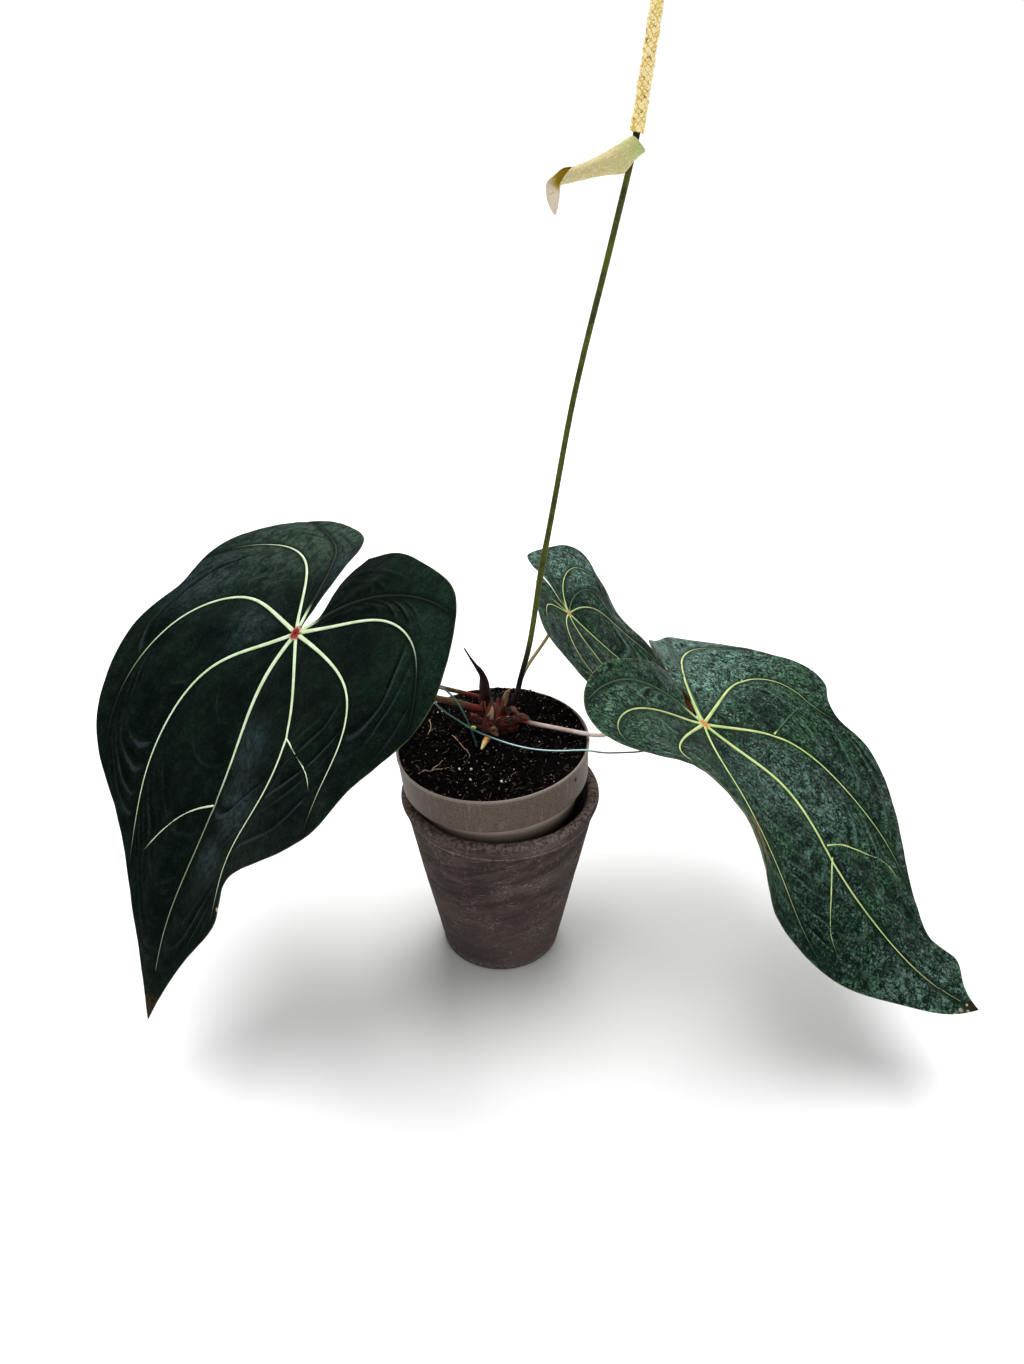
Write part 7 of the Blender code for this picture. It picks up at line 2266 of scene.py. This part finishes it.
class ANTHURIUM_OT_nursery_pot(bpy.types.Operator):
    """Make the thin plastic nursery pot"""
    bl_idname = "anthurium.nursery_pot"
    bl_label = "Nursery pot"

    def execute(self, context):
        prepare()
        make_nursery_pot(settings_of(context, "pots"))
        return {"FINISHED"}


class ANTHURIUM_OT_soil(bpy.types.Operator):
    """Make the soil with its crumbs, fibres, perlite and loose roots"""
    bl_idname = "anthurium.soil"
    bl_label = "Soil"

    def execute(self, context):
        prepare()
        soil = settings_of(context, "soil")
        make_soil(soil)
        make_soil_bits(soil)
        return {"FINISHED"}


class ANTHURIUM_OT_crown(bpy.types.Operator):
    """Make the crown with its dry sheaths, and the young root at its front"""
    bl_idname = "anthurium.crown"
    bl_label = "Crown"

    def execute(self, context):
        prepare()
        make_crown(settings_of(context, "crown"))
        make_root_tip()
        return {"FINISHED"}


class ANTHURIUM_OT_leaves(bpy.types.Operator):
    """Make the three blades with their veins"""
    bl_idname = "anthurium.leaves"
    bl_label = "Leaves"

    def execute(self, context):
        prepare()
        make_leaves(settings_of(context, "leaves"))
        return {"FINISHED"}


class ANTHURIUM_OT_stalks(bpy.types.Operator):
    """Make the leaf stalks and the flower stalk"""
    bl_idname = "anthurium.stalks"
    bl_label = "Stalks"

    def execute(self, context):
        prepare()
        make_stalks(settings_of(context, "stalks"))
        return {"FINISHED"}


class ANTHURIUM_OT_flower(bpy.types.Operator):
    """Make the rolled spathe and the spadix with its florets"""
    bl_idname = "anthurium.flower"
    bl_label = "Flower"

    def execute(self, context):
        prepare()
        flower = settings_of(context, "flower")
        make_spathe(flower)
        make_spadix(flower)
        return {"FINISHED"}


class ANTHURIUM_OT_wire(bpy.types.Operator):
    """Make the coated garden wire that lies across the soil"""
    bl_idname = "anthurium.wire"
    bl_label = "Garden wire"

    def execute(self, context):
        prepare()
        make_wire()
        return {"FINISHED"}


class ANTHURIUM_OT_stage(bpy.types.Operator):
    """Make the floor, the lights and the camera"""
    bl_idname = "anthurium.stage"
    bl_label = "Stage"

    def execute(self, context):
        make_stage(settings_of(context, "stage"))
        return {"FINISHED"}


OPERATORS = (ANTHURIUM_OT_cover_pot, ANTHURIUM_OT_nursery_pot, ANTHURIUM_OT_soil, ANTHURIUM_OT_crown,
             ANTHURIUM_OT_leaves, ANTHURIUM_OT_stalks, ANTHURIUM_OT_flower, ANTHURIUM_OT_wire,
             ANTHURIUM_OT_stage)


class ANTHURIUM_PT_pieces(bpy.types.Panel):
    """Pieces and settings of the potted anthurium"""
    bl_label = "Potted anthurium"
    bl_idname = "ANTHURIUM_PT_pieces"
    bl_space_type = "VIEW_3D"
    bl_region_type = "UI"
    bl_category = "Anthurium"

    def draw(self, context):
        for operator in OPERATORS:
            self.layout.operator(operator.bl_idname)
        for name, group in SETTINGS.items():
            box = self.layout.box()
            box.label(text=name.capitalize())
            for key in group.__annotations__:
                box.prop(settings_of(context, name), key)


CLASSES = (*SETTINGS.values(), *OPERATORS, ANTHURIUM_PT_pieces)


def register():
    for item in CLASSES:
        bpy.utils.register_class(item)
    for name, group in SETTINGS.items():
        setattr(bpy.types.Scene, "anthurium_" + name, bpy.props.PointerProperty(type=group))


def unregister():
    for name in SETTINGS:
        delattr(bpy.types.Scene, "anthurium_" + name)
    for item in reversed(CLASSES):
        bpy.utils.unregister_class(item)


def main():
    register()
    for operator in OPERATORS:
        getattr(bpy.ops.anthurium, operator.bl_idname.split(".")[1])()


if __name__ == "__main__":
    main()
